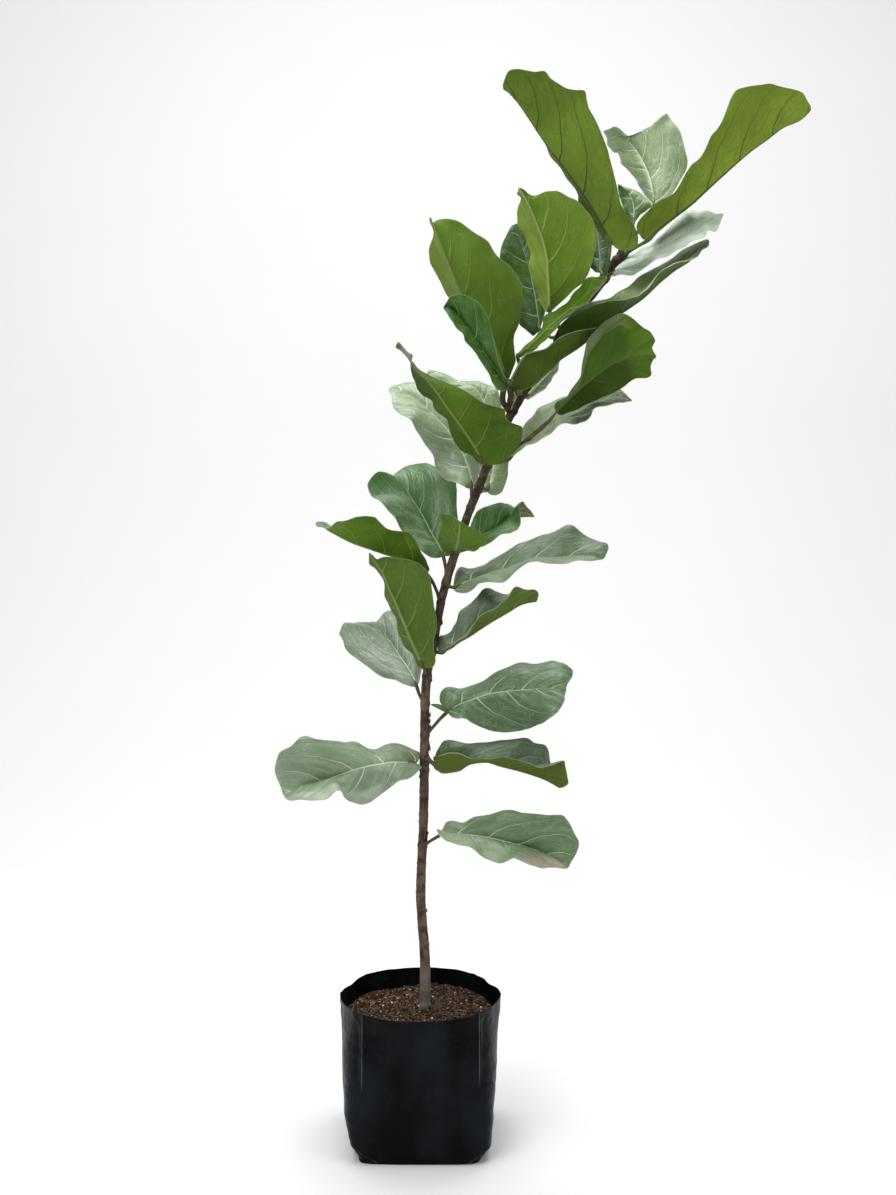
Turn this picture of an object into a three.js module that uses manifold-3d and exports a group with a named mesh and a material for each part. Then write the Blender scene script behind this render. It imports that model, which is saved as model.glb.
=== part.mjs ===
// Potted fiddle leaf fig: a leaning woody stem with root crown, its separate
// leaves with their petioles, a mound of potting mix and a gusseted grow bag.
// Millimetres, +Z up. Origin: centre of the bag's underside, on the surface it
// stands on. The front of the bag faces -Y and +X is to the right.
import * as THREE from 'three';
import { mergeVertices } from 'three/addons/utils/BufferGeometryUtils.js';
import Module from 'manifold-3d';

const wasm = await Module();
wasm.setup();

// ---- driving dimensions ----------------------------------------------------
const BAG_HEIGHT = 256.5;        // underside to the mean rim
const BAG_RIM_RADIUS = 139.5;    // outside, at the rim
const BAG_FOOT_HALF = 116;       // half width of the rounded square foot
const FOOT_TUCK = 11;            // how far the side gussets run in to the folded bottom
const CORNER_TUCK = 3;           // how far the bottom corners are folded in
const BAG_WALL = 1.8;            // film with its folded hem
const BAG_BASE = 2.0;            // folded bottom
const BAG_SIDES = 48;            // facets round the bag
const FOLD_ANGLE = 45.5;         // degrees, where the gusset folds stand
const RIM_CORNER = 2.5;          // how far the rim stands out at each fold
// how the mouth departs from a round one: angle in degrees, amount, spread in degrees
const MOUTH = [[45.5, -6, 11], [134.5, -6, 11], [225.5, -3, 12], [314.5, -3, 12],
  [156.5, -10, 12], [23.5, -10, 12], [203, -2.5, 14], [337, -2.5, 14]];
const SOIL_LEVEL = 222;          // mean top of the potting mix
const SOIL_MOUND = 5;            // rise of the mix at the middle
const FIT_GAP = 0.4;             // clearance between pieces that touch
const LEAF_THICKNESS = 1.5;      // blade with its veins
const PETIOLE_BASE_R = 2.9;      // petiole radius at the stem
const PETIOLE_TIP_R = 2.2;       // petiole radius at the blade
const BLADE_CAMBER = 0.07;       // crown of each blade half, part of its width
const STEM_SIDES = 9;
const ROOT_DEPTH = 95;           // root crown below the soil surface

// Stem centre line from the soil surface to the growing tip: x, y, z, radius.
const STEM = [
  [8.7, 0, 214.9, 9.6], [9.1, 0, 270.5, 9.4], [8.5, 0, 324.2, 8.9], [4.5, 1.7, 377.2, 8.5],
  [1.6, 2.6, 421.4, 8.2], [2.5, 3.4, 474.4, 8.2], [5.6, 2.6, 536.5, 7.9], [7.4, 0, 598.8, 7.9],
  [8.2, -1.7, 660.4, 8.2], [9, -3.4, 721.8, 7.8], [9.8, -3.4, 774, 7.8], [13.8, -5.1, 822.7, 8],
  [23.3, -6.8, 864.3, 7.3], [31, -8.5, 909.3, 6.8], [37.9, -10.2, 947.1, 7.3], [48.1, -12, 984.9, 7.3],
  [58.4, -13.7, 1019.1, 7.5], [70.2, -15.4, 1054.9, 7], [82, -17.1, 1090.5, 7], [93.8, -18.8, 1121, 7.3],
  [104.7, -20.5, 1148, 7.5], [117.3, -22.2, 1180, 7.3], [133.1, -25.6, 1216.8, 7.1],
  [151.4, -29, 1255.1, 7.3], [163.8, -30.7, 1278.4, 7.8], [177.8, -32.4, 1301.6, 7.3],
  [204.2, -35.9, 1341.1, 6.7], [233.6, -41, 1383.6, 6.6], [262.8, -46.1, 1425.8, 6.5],
  [288.6, -51.2, 1458, 6.7], [307.9, -54.6, 1483.6, 7.4], [319.1, -56.3, 1501.3, 8.4],
  [329.5, -58.1, 1512.4, 9.3], [338.3, -59.8, 1521.9, 4],
];

// Every leaf: the petiole's centre line, then stations along the midrib and along
// the left and right margins, seen from the upper face with the tip forward.
const LEAVES = {
  leaf_01: {
    color: 0x6f9078,
    petiole: [
      [4.6, 2.8, 517.1], [21.3, -8.5, 530.4], [35.2, -13.7, 543.9],
    ],
    mid: [
      [35.2, -13.7, 543.9], [58.3, -18.8, 544], [81.5, -23.4, 543.3], [104.5, -27.8, 541.8],
      [127.1, -32.5, 538.7], [149.5, -37.1, 534.4], [171.8, -41.4, 529.6], [193.9, -45.4, 523.7],
      [215.1, -49.2, 516.1], [235.2, -52.7, 505.5], [253.9, -56.3, 492.8],
    ],
    left: [
      [35.2, -13.7, 543.9], [56.5, 2.8, 562.1], [88.8, 0.9, 564.9], [120.9, -11.5, 575.8],
      [152.2, -26.3, 587.6], [184.3, -35.6, 584], [217, -38.6, 581.5], [248.7, -34.9, 576.9],
      [266.5, -27.8, 546.7], [270.7, -28.7, 515.7], [253.9, -56.3, 492.8],
    ],
    right: [
      [35.2, -13.7, 543.9], [35.3, -40.9, 546.5], [57.7, -53.7, 536.8], [82, -61.1, 530.4],
      [103.6, -69.1, 518.3], [126.9, -81.3, 511.6], [151.5, -95.4, 516.8], [175.3, -105.5, 514.7],
      [199.6, -106.3, 508.5], [225.6, -94.9, 504.9], [253.9, -56.3, 492.8],
    ],
  },
  leaf_02: {
    color: 0x6f9078,
    petiole: [
      [8.1, -1.5, 651.6], [-4.3, -13.7, 664.5],
    ],
    mid: [
      [-4.3, -13.7, 664.5], [-26.3, -22.8, 669.7], [-49.6, -29.4, 670.6], [-72.9, -34.7, 668.1],
      [-96, -39.5, 663.9], [-118.6, -43.4, 657.6], [-141.1, -46.5, 649.9], [-163.9, -48.7, 642.7],
      [-187, -51.2, 636.7], [-209.3, -53.8, 629.5], [-229.7, -56.3, 617],
    ],
    left: [
      [-4.3, -13.7, 664.5], [-8.2, -40, 650.8], [-33.7, -46.9, 640.5], [-57.1, -46, 623.7],
      [-79.8, -51.2, 607.4], [-105.8, -70.4, 607.3], [-126.2, -95, 627.9], [-146.5, -109.7, 631.5],
      [-171.1, -109.8, 619.3], [-200.2, -96.5, 618.2], [-229.7, -56.3, 617],
    ],
    right: [
      [-4.3, -13.7, 664.5], [-12.7, -1.3, 688.1], [-47.4, 0, 698.5], [-81.1, -6.2, 689.6],
      [-113.4, -19.7, 705.9], [-148.3, -34.1, 708.9], [-183.2, -42.7, 715.9], [-213.1, -42, 705.5],
      [-240.6, -34.6, 682.5], [-244.1, -32.1, 646.2], [-229.7, -56.3, 617],
    ],
  },
  leaf_03: {
    color: 0x5c7a5c,
    petiole: [
      [8.4, -2.1, 674.5], [24.9, -13.7, 668],
    ],
    mid: [
      [24.9, -13.7, 668], [37, -29.4, 652.8], [57.3, -41.9, 656.2], [78, -52.5, 667.5], [99.8, -61.3, 676.2],
      [123.1, -68.3, 676.1], [146.2, -74, 670.1], [169.6, -79.1, 665.1], [192.7, -82.9, 658.7],
      [215.5, -85.4, 649.9], [236.5, -85.4, 636.8],
    ],
    left: [
      [24.9, -13.7, 668], [35.7, -28.8, 700.8], [63.6, -38.6, 708.6], [94.8, -43.7, 705.7],
      [126.1, -46.4, 710.1], [157.4, -48.5, 714.7], [187.8, -46.6, 712], [215.3, -40.7, 698.9],
      [228, -39.5, 670.4], [249.1, -51, 650.1], [236.5, -85.4, 636.8],
    ],
    right: [
      [24.9, -13.7, 668], [43.2, -46.6, 688.8], [71.6, -68.5, 691.3], [99.3, -86.1, 689.4],
      [127.5, -100.5, 691.5], [155.3, -113.4, 690.6], [182.5, -123.7, 686.8], [209.9, -129.4, 683.8],
      [236.9, -127.9, 690.3], [245.4, -118.1, 664.3], [236.5, -85.4, 636.8],
    ],
  },
  leaf_04: {
    color: 0x6f9078,
    petiole: [
      [8.9, -3.2, 713.1], [23.2, -5.1, 727.3], [37, -12, 744.1], [47.3, -17.1, 757],
    ],
    mid: [
      [47.3, -17.1, 757], [65.7, -20.4, 767.7], [85.1, -23.4, 776], [104.9, -24.9, 783.8],
      [125.1, -26, 789.2], [146.1, -27.1, 792.4], [167, -28, 794.5], [188, -29, 796.1], [209, -30.1, 798.1],
      [229.6, -31.7, 797.5], [249.5, -34.1, 790.6],
    ],
    left: [
      [47.3, -17.1, 757], [34.5, -3.4, 782.9], [60.9, 3.9, 794.1], [92.1, 10.3, 799.5], [121.4, 13.9, 813.1],
      [150.9, 16.3, 826.8], [181.4, 18.2, 836.5], [214, 18.1, 837], [245.5, 13.2, 835.3],
      [263.7, 0.7, 815.1], [249.5, -34.1, 790.6],
    ],
    right: [
      [47.3, -17.1, 757], [65.8, -38.4, 747.4], [87.2, -39.2, 741.4], [109.8, -32, 729.7],
      [133.8, -28.1, 722.8], [158.3, -31.3, 723], [182, -42.9, 729.5], [204.1, -59.5, 740.9],
      [223.5, -69.6, 756.4], [240.6, -65.4, 773.4], [249.5, -34.1, 790.6],
    ],
  },
  leaf_05: {
    color: 0x8ea596,
    petiole: [
      [9.7, -3.4, 767], [-0.1, 3.4, 781.6], [-4.5, 5.1, 795.3],
    ],
    mid: [
      [-4.5, 5.1, 795.3], [-9.2, 17.8, 807], [-15.1, 31.2, 817.1], [-22.3, 45.3, 826.1],
      [-29.9, 59.5, 834.7], [-37.6, 73.4, 843.6], [-45.5, 87, 853.3], [-53.7, 100.3, 863.2],
      [-62.2, 113.4, 873.3], [-70, 125.9, 884.8], [-81, 136.6, 896],
    ],
    left: [
      [-4.5, 5.1, 795.3], [-28.6, 10.1, 799.8], [-51.9, 24.4, 807.5], [-76.4, 42.1, 812.9],
      [-97.2, 58.7, 826.2], [-117.8, 73.3, 840.2], [-134.8, 86.3, 857.7], [-144.4, 97.1, 879.6],
      [-130.5, 105.7, 896.3], [-105.7, 116.3, 897.6], [-81, 136.6, 896],
    ],
    right: [
      [-4.5, 5.1, 795.3], [1.1, 39.7, 808.7], [3, 59.4, 825.4], [1.6, 74.6, 843.1], [-4.7, 90.1, 859.9],
      [-13.3, 108.1, 875.8], [-23, 126.7, 891.5], [-34.4, 143.1, 906.6], [-50.9, 154.4, 916.2],
      [-68.5, 157.1, 908.9], [-81, 136.6, 896],
    ],
  },
  leaf_06: {
    color: 0x517a3a,
    petiole: [
      [13.2, -4.9, 815.9], [8, -18.8, 831.4],
    ],
    mid: [
      [8, -18.8, 831.4], [-0.6, -27.6, 851.4], [-9.1, -36.6, 871.3], [-17.3, -44.2, 891.5],
      [-25.3, -49.7, 912.2], [-33.4, -53.5, 933], [-42, -56.5, 953.6], [-50.9, -58.1, 973.9],
      [-59.5, -58.1, 994.4], [-71, -57.5, 1013.2], [-83.2, -54.6, 1031.4],
    ],
    left: [
      [8, -18.8, 831.4], [28.5, -29.4, 846.2], [24.7, -38.5, 876.6], [30, -45.2, 906.1], [26.6, -50, 935.6],
      [22.5, -53.9, 964.9], [17.7, -58, 993.8], [-2.6, -61.4, 1013.6], [-30.4, -62.6, 1021.1],
      [-59.2, -61.4, 1023.4], [-83.2, -54.6, 1031.4],
    ],
    right: [
      [8, -18.8, 831.4], [-6.6, -13, 842.1], [-19, -16.6, 861.9], [-30.8, -21.3, 882], [-38, -24, 904.1],
      [-45.2, -24.1, 925.9], [-53.8, -23.4, 947.2], [-58.2, -23.3, 969.6], [-67.2, -26.1, 990.8],
      [-82, -34.4, 1008], [-83.2, -54.6, 1031.4],
    ],
  },
  leaf_07: {
    color: 0x4f7a2e,
    petiole: [
      [37, -10, 942], [30.3, -15.4, 961.2], [22.7, -20.5, 978.7], [15.1, -22.2, 994.1],
    ],
    mid: [
      [15.1, -22.2, 994.1], [-1.2, -24.3, 1007.6], [-20.9, -26.9, 1015.5], [-40.9, -30.2, 1021.8],
      [-60.7, -34.2, 1028], [-80.1, -38.8, 1034.9], [-99.4, -43.2, 1041.8], [-118.2, -47.6, 1049.8],
      [-136.3, -51.4, 1059.5], [-154.2, -53.7, 1070.3], [-173.2, -54.6, 1078.2],
    ],
    left: [
      [15.1, -22.2, 994.1], [11.2, -41.2, 1018.5], [-0.9, -41.8, 1041.2], [-15, -39.4, 1062.2],
      [-39.3, -45.1, 1067], [-61.4, -59.1, 1077.8], [-81.5, -76, 1091.2], [-105.5, -91.9, 1090.5],
      [-129.3, -99.4, 1084.2], [-149.8, -91.4, 1070.1], [-173.2, -54.6, 1078.2],
    ],
    right: [
      [15.1, -22.2, 994.1], [6.4, -1.8, 1013.1], [-7.1, 0.7, 1032.5], [-24.5, -2.2, 1048.2],
      [-46.2, -3, 1056.6], [-68.6, 0.4, 1064.3], [-91, 5.1, 1072.1], [-114.6, 7, 1072.8],
      [-137.8, 1.4, 1071], [-158.4, -14.6, 1076.2], [-173.2, -54.6, 1078.2],
    ],
  },
  leaf_08: {
    color: 0x5c8460,
    petiole: [
      [47.3, -11.8, 981.8], [44.7, -6.8, 1003.3], [42.2, 0, 1021.8],
    ],
    mid: [
      [42.2, 0, 1021.8], [34.8, 11, 1036.2], [26.7, 22.5, 1050], [18.4, 34.3, 1063.7], [11.1, 46.2, 1077.9],
      [3, 57.9, 1091.9], [-5.7, 69.7, 1105.7], [-14.7, 82, 1119.1], [-24.3, 93, 1133.4],
      [-35.4, 104, 1146.8], [-50.4, 112.7, 1157.9],
    ],
    left: [
      [42.2, 0, 1021.8], [18.6, -7.4, 1020.4], [-1.8, -0.4, 1033.4], [-18.4, 11.4, 1051.4],
      [-33.7, 22.8, 1070.7], [-48.5, 31.7, 1090.5], [-64.6, 41.2, 1109.6], [-83.3, 53.3, 1125.5],
      [-89.9, 65.3, 1147.3], [-73.1, 81, 1164.4], [-50.4, 112.7, 1157.9],
    ],
    right: [
      [42.2, 0, 1021.8], [61.3, 25, 1035.2], [67, 35, 1060.9], [65.9, 40.3, 1087.7], [64.6, 48.1, 1114.4],
      [63.3, 60.9, 1141.2], [49.7, 80.8, 1162.9], [24.9, 106.5, 1174.5], [-2.1, 126.5, 1180.8],
      [-28.8, 133.5, 1174.4], [-50.4, 112.7, 1157.9],
    ],
  },
  leaf_09: {
    color: 0x4c6b26,
    petiole: [
      [61.2, -14.1, 1027.5], [57.5, -23.9, 1029.8],
    ],
    mid: [
      [57.5, -23.9, 1029.8], [60, -40.3, 1034.4], [62.1, -56.7, 1039.1], [63.5, -73.2, 1044.1],
      [64.6, -89.5, 1049.2], [65.6, -105.8, 1054.7], [66.5, -121.9, 1060.6], [67.3, -137.9, 1066.9],
      [67.8, -153.5, 1073.7], [68.1, -168.9, 1081.2], [66.4, -184.4, 1088],
    ],
    left: [
      [57.5, -23.9, 1029.8], [69.6, -29, 1028.1], [81.7, -43.3, 1032.8], [94.2, -61.7, 1035.3],
      [105, -79.9, 1041.6], [112.8, -94, 1051.8], [111, -104, 1060.9], [100, -114, 1067.7],
      [88.5, -128.6, 1073.9], [77.1, -149.9, 1080.2], [66.4, -184.4, 1088],
    ],
    right: [
      [57.5, -23.9, 1029.8], [47.8, -29.5, 1024.5], [39.1, -43.1, 1034], [33.4, -59.1, 1045.6],
      [32.4, -74.2, 1057.7], [35.9, -87.3, 1069.9], [37.1, -100.2, 1082.4], [38.6, -114.3, 1094.8],
      [45.9, -130.7, 1097.7], [56.6, -151.4, 1093.2], [66.4, -184.4, 1088],
    ],
  },
  leaf_10: {
    color: 0x3f6b46,
    petiole: [
      [74.2, -15.9, 1066.9], [86.5, -6.8, 1052.8],
    ],
    mid: [
      [86.5, -6.8, 1052.8], [97.8, 7.1, 1054.8], [108.8, 21, 1057.7], [119.5, 34.9, 1061.6],
      [129.8, 49, 1066.6], [139.6, 63.3, 1072], [149.1, 77, 1078.9], [158.4, 90, 1087.8],
      [170.2, 101.7, 1096], [186.9, 109.3, 1093.9], [203.6, 109.3, 1085.3],
    ],
    left: [
      [86.5, -6.8, 1052.8], [86.8, 16.5, 1068.5], [91.2, 30, 1084.1], [99.9, 41.9, 1097.9],
      [115.1, 58.9, 1105.2], [132.1, 81.3, 1109.1], [149.7, 103.7, 1109.2], [166.6, 121.6, 1103.5],
      [177.4, 132.3, 1090.5], [187.6, 131.6, 1083.5], [203.6, 109.3, 1085.3],
    ],
    right: [
      [86.5, -6.8, 1052.8], [94.8, -5.7, 1036.2], [112.5, 3.2, 1039.8], [128.7, 14.3, 1049],
      [145.2, 26.1, 1057.7], [163.2, 37.3, 1063], [175.1, 47.3, 1077], [174.8, 57.9, 1095.3],
      [178.5, 71.5, 1112], [191.3, 87.2, 1101.6], [203.6, 109.3, 1085.3],
    ],
  },
  leaf_11: {
    color: 0x7d9a84,
    petiole: [
      [87.4, -17.8, 1104.3], [88.8, -13.7, 1120.9], [90.6, -6.8, 1137.8],
    ],
    mid: [
      [90.6, -6.8, 1137.8], [86.6, -1.9, 1160.7], [80.1, 3.6, 1183.1], [70.5, 10.1, 1203.9],
      [58.2, 16.7, 1223.5], [44, 22.9, 1241.9], [28.2, 29.1, 1259.2], [11, 34.2, 1275.6],
      [-7.7, 38.7, 1290.2], [-28.5, 42.7, 1302.3], [-51, 46.1, 1311],
    ],
    left: [
      [90.6, -6.8, 1137.8], [68, -14.3, 1144.3], [45.2, -6.1, 1151.9], [29.1, 1.4, 1169.4],
      [23.3, -1.4, 1192.4], [11, -11.1, 1212.9], [-3.1, -19, 1232.1], [-16.5, -21.2, 1251.8],
      [-35.3, -14.3, 1267], [-45.7, 3.5, 1288], [-51, 46.1, 1311],
    ],
    right: [
      [90.6, -6.8, 1137.8], [101.6, 11, 1161.5], [100.8, 20.8, 1188.9], [93.8, 29.1, 1215.7],
      [81.6, 37.5, 1240.7], [68.1, 46.8, 1265.2], [50.5, 56.5, 1287.2], [29.2, 63.9, 1305.4],
      [3.1, 66.8, 1315.9], [-24.4, 63.5, 1318.1], [-51, 46.1, 1311],
    ],
  },
  leaf_12: {
    color: 0x4c6b26,
    petiole: [
      [115.5, -21.9, 1175.3], [109.4, -34.1, 1178.2],
    ],
    mid: [
      [109.4, -34.1, 1178.2], [98.3, -48.2, 1198.6], [85.6, -61.6, 1218.3], [72, -74.5, 1237.3],
      [58.1, -87, 1256.1], [44, -98, 1275.2], [29.4, -106.7, 1295], [13.6, -112.6, 1314.6],
      [-5.3, -116.1, 1331.8], [-19.6, -115.2, 1353.5], [-31.9, -109.3, 1376.1],
    ],
    left: [
      [109.4, -34.1, 1178.2], [144.5, -48, 1182], [168.6, -61.4, 1210.5], [166.7, -74.1, 1243.1],
      [142.9, -83.8, 1263.8], [110, -86.1, 1276.1], [77.8, -80.9, 1296], [43.6, -76.1, 1312.3],
      [10.5, -78.4, 1330], [-17.9, -86.8, 1352.6], [-31.9, -109.3, 1376.1],
    ],
    right: [
      [109.4, -34.1, 1178.2], [87.1, -25.2, 1191.3], [66.1, -30, 1208], [53.9, -38.1, 1231.8],
      [40.9, -45.6, 1254.1], [24.3, -50.3, 1274.2], [8.9, -52.9, 1293.9], [-7.7, -55.8, 1314.1],
      [-14.5, -63.3, 1339.1], [-14.9, -76.8, 1359.9], [-31.9, -109.3, 1376.1],
    ],
  },
  leaf_13: {
    color: 0x7f9c86,
    petiole: [
      [101.6, -20, 1140.2], [114.7, 3.4, 1130.9],
    ],
    mid: [
      [114.7, 3.4, 1130.9], [121.7, 26.1, 1149.8], [127.4, 44.8, 1173], [129, 61.3, 1199],
      [128.9, 73.3, 1226.9], [122.1, 78.9, 1256.8], [113.4, 91, 1284.3], [98.8, 101, 1310.7],
      [71.5, 106.9, 1321.9], [43.5, 109.1, 1336.2], [13.7, 109.3, 1344.3],
    ],
    left: [
      [114.7, 3.4, 1130.9], [103.9, 19.6, 1144.7], [101.1, 36.8, 1168.9], [94.2, 54.1, 1192.3],
      [85.5, 66.8, 1215.4], [74.8, 71.6, 1237.7], [62.5, 81.6, 1259.3], [49.3, 89.4, 1280.6],
      [34.4, 94.3, 1300.6], [20.9, 98.9, 1321.7], [13.7, 109.3, 1344.3],
    ],
    right: [
      [114.7, 3.4, 1130.9], [143.3, 32.1, 1133], [153.2, 53.5, 1165.2], [157.2, 71.7, 1199.3],
      [154, 85.4, 1233.6], [147, 93.3, 1267.5], [138, 107.7, 1301.4], [113, 119.2, 1321.7],
      [79.3, 124.1, 1325.2], [47, 121.7, 1335.5], [13.7, 109.3, 1344.3],
    ],
  },
  leaf_14: {
    color: 0x3d5f22,
    petiole: [
      [134.7, -25.9, 1220.2], [160.9, -44.4, 1204.8], [192.5, -75.1, 1228.9], [213.9, -99, 1247.7],
      [224.7, -105.9, 1262],
    ],
    mid: [
      [224.7, -105.9, 1262], [237.7, -110.6, 1275.7], [251.1, -115, 1288.9], [265, -119.1, 1301.6],
      [279.4, -123, 1313.8], [294.2, -126.8, 1325.4], [309.7, -130.4, 1336.2], [326.9, -133, 1343.5],
      [345.6, -134.9, 1348.5], [364.7, -136.6, 1351.5], [383.9, -136.6, 1348.4],
    ],
    left: [
      [224.7, -105.9, 1262], [242.3, -100.5, 1260], [261.2, -101.6, 1268], [279.8, -104.6, 1275.9],
      [298.2, -107.2, 1284.3], [316.3, -108.6, 1293.5], [334.4, -109.4, 1302.6], [351.7, -110.3, 1313.1],
      [371, -113.5, 1317.8], [376, -120.7, 1333.3], [383.9, -136.6, 1348.4],
    ],
    right: [
      [224.7, -105.9, 1262], [236.6, -103.1, 1283.8], [255.2, -106, 1307.5], [265.7, -112.1, 1335.8],
      [271.2, -119.6, 1365.7], [285.8, -125.4, 1391.4], [308.9, -128, 1410.8], [336.5, -126.5, 1415.9],
      [361.3, -124.7, 1396.9], [383.3, -127.1, 1376.3], [383.9, -136.6, 1348.4],
    ],
  },
  leaf_15: {
    color: 0x8aa08a,
    petiole: [
      [121.6, -23.1, 1190], [133.2, -25.6, 1179.9], [144.9, -27.3, 1183.3],
    ],
    mid: [
      [144.9, -27.3, 1183.3], [163.7, -31.6, 1199.2], [182.7, -37.3, 1213.9], [202, -44.2, 1227.6],
      [221.6, -50.4, 1241], [241.8, -56.8, 1252.9], [262.7, -63.5, 1263.2], [283.8, -69.6, 1273.4],
      [305.7, -74.8, 1281.7], [329, -78.9, 1286], [352.8, -82, 1280.9],
    ],
    left: [
      [144.9, -27.3, 1183.3], [157.4, -7.4, 1208.6], [173.2, -7.1, 1231.7], [186.6, -13.7, 1255.6],
      [205.4, -17, 1275], [231.9, -14.3, 1284.4], [258.6, -10.6, 1293.7], [285.8, -10.5, 1298.7],
      [312.9, -18.6, 1296.4], [337.1, -37.8, 1301.3], [352.8, -82, 1280.9],
    ],
    right: [
      [144.9, -27.3, 1183.3], [163.3, -59, 1196.9], [182.5, -74.9, 1209.9], [203.2, -86.9, 1220.3],
      [223.1, -97.7, 1231.8], [242.4, -110.1, 1243.2], [264.3, -122.9, 1245.4], [281, -131.9, 1259.6],
      [301.3, -132.3, 1268.9], [324.8, -120.6, 1276.7], [352.8, -82, 1280.9],
    ],
  },
  leaf_16: {
    color: 0x4c6b26,
    petiole: [
      [174.7, -32.1, 1296.5], [164.6, -47.8, 1294.1], [158.3, -58.1, 1298.5],
    ],
    mid: [
      [158.3, -58.1, 1298.5], [176, -67.3, 1301.6], [191.4, -76, 1308.4], [205, -84, 1320.5],
      [218.2, -89.6, 1333.5], [231.7, -93.9, 1346.8], [247.5, -97.8, 1357.3], [263.6, -99.9, 1368.1],
      [279.3, -100.7, 1379.7], [294, -100.7, 1392.7], [307, -100.7, 1407.4],
    ],
    left: [
      [158.3, -58.1, 1298.5], [173.4, -64.8, 1306.3], [184.7, -72.7, 1321.7], [195.7, -80.4, 1337.3],
      [207.5, -85.6, 1352.4], [220.6, -89.3, 1366.5], [235.8, -92.5, 1378.3], [252.6, -94.2, 1387.9],
      [270.6, -95.5, 1394.9], [289.2, -96.9, 1400.5], [307, -100.7, 1407.4],
    ],
    right: [
      [158.3, -58.1, 1298.5], [149.5, -74.6, 1312.6], [159.1, -81.9, 1331.9], [169.5, -91.6, 1350.4],
      [186.8, -108.2, 1359.1], [206.6, -128.7, 1363], [222.5, -145.2, 1374.9], [241.2, -142.4, 1386],
      [264.2, -120.4, 1393.1], [287.1, -107.1, 1397.5], [307, -100.7, 1407.4],
    ],
  },
  leaf_17: {
    color: 0x7f9985,
    petiole: [
      [181.1, -32.9, 1306.5], [179.8, -27.3, 1295.2], [176.8, -20.5, 1288.9],
    ],
    mid: [
      [176.8, -20.5, 1288.9], [186.1, -7.9, 1296], [195.1, 4.5, 1303.8], [203.8, 16.8, 1312.3],
      [212.1, 29, 1321.5], [219.6, 41, 1331.5], [226.4, 52.9, 1342.6], [231.9, 64.6, 1354.3],
      [236.4, 76.1, 1366.8], [239.5, 86.4, 1380.6], [241.7, 95.6, 1395.5],
    ],
    left: [
      [176.8, -20.5, 1288.9], [163.8, -5.5, 1280], [151.8, 6.2, 1287.6], [159.8, 19.3, 1302.4],
      [174.6, 36.1, 1312.9], [187.2, 55.2, 1326.5], [196.8, 73.2, 1342.4], [206, 88.1, 1358.5],
      [215.4, 98.7, 1374.3], [227.1, 103.1, 1387.8], [241.7, 95.6, 1395.5],
    ],
    right: [
      [176.8, -20.5, 1288.9], [189.8, 3.3, 1289.9], [202, 20, 1298.2], [214.1, 34.4, 1306.8],
      [224.5, 48.7, 1317.3], [232.8, 63.5, 1329.8], [239.7, 78.2, 1343.2], [244, 91.2, 1357.5],
      [247.7, 100.5, 1371.7], [249.4, 104, 1385.8], [241.7, 95.6, 1395.5],
    ],
  },
  leaf_18: {
    color: 0x5d8a2f,
    petiole: [
      [195.6, -34.7, 1328.2], [172.4, -37.6, 1336], [163.4, -51.2, 1354.8],
    ],
    mid: [
      [163.4, -51.2, 1354.8], [173.1, -70, 1361.7], [185.2, -82.5, 1371.6], [199.6, -90.8, 1384.7],
      [213.3, -98.5, 1398.3], [228, -105, 1411.3], [243.4, -110.5, 1423.9], [258.7, -115.3, 1436.8],
      [274.2, -119.4, 1449.8], [289.7, -122.2, 1463.2], [305.7, -122.9, 1476.6],
    ],
    left: [
      [163.4, -51.2, 1354.8], [178.9, -92.2, 1358.6], [195.6, -113.1, 1365.7], [208.5, -126, 1379],
      [219.2, -138.3, 1393.9], [231.4, -150.7, 1407.3], [246.6, -161.8, 1417.3], [261.3, -169, 1428.6],
      [275.6, -168.7, 1441.7], [290.4, -157.9, 1456.7], [305.7, -122.9, 1476.6],
    ],
    right: [
      [163.4, -51.2, 1354.8], [175.4, -52.3, 1370.8], [190.6, -58.7, 1385], [202.4, -64.3, 1401.8],
      [210.4, -69.1, 1420.2], [228.5, -70.8, 1430.1], [243.6, -71.8, 1444.6], [258, -74.8, 1459.3],
      [271.4, -82.3, 1473.8], [287.6, -95.5, 1481.3], [305.7, -122.9, 1476.6],
    ],
  },
  leaf_19: {
    color: 0x5d8a2f,
    petiole: [
      [240.3, -42.1, 1393.3], [227.6, -52.9, 1412.1], [215.3, -63.2, 1425.7],
    ],
    mid: [
      [215.3, -63.2, 1425.7], [214.7, -70.1, 1446], [213.4, -76.8, 1466.2], [211.5, -83.2, 1486.3],
      [209.7, -89.2, 1506.5], [205.7, -94.4, 1526.6], [199.1, -99.6, 1545.9], [191.1, -104.1, 1565],
      [182.9, -107.5, 1584.2], [173.2, -110.5, 1602.8], [161.3, -112.7, 1620.3],
    ],
    left: [
      [215.3, -63.2, 1425.7], [240.3, -61.7, 1447.6], [264.1, -70.9, 1468.5], [280, -81.2, 1494.6],
      [288, -88.9, 1524.8], [288.4, -93.5, 1556.1], [274.2, -94.3, 1584.6], [250.2, -89, 1606.2],
      [221.6, -83.3, 1620.4], [190.3, -87.5, 1610.7], [161.3, -112.7, 1620.3],
    ],
    right: [
      [215.3, -63.2, 1425.7], [202.7, -41.6, 1444.3], [194.5, -38.4, 1465.3], [189.3, -40.2, 1486.7],
      [186, -41.1, 1508.6], [182.4, -38.4, 1530.7], [175.1, -35.5, 1552.1], [167.1, -35.8, 1572.8],
      [162.4, -43.7, 1592.9], [166.4, -63.7, 1610.6], [161.3, -112.7, 1620.3],
    ],
  },
  leaf_20: {
    color: 0x3f6b50,
    petiole: [
      [237, -41.6, 1388.5], [219.1, -34.1, 1389.2], [202.8, -27.3, 1399.7],
    ],
    mid: [
      [202.8, -27.3, 1399.7], [200.5, -19, 1417.7], [198.5, -11.7, 1436.1], [196.4, -5.1, 1454.8],
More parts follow.
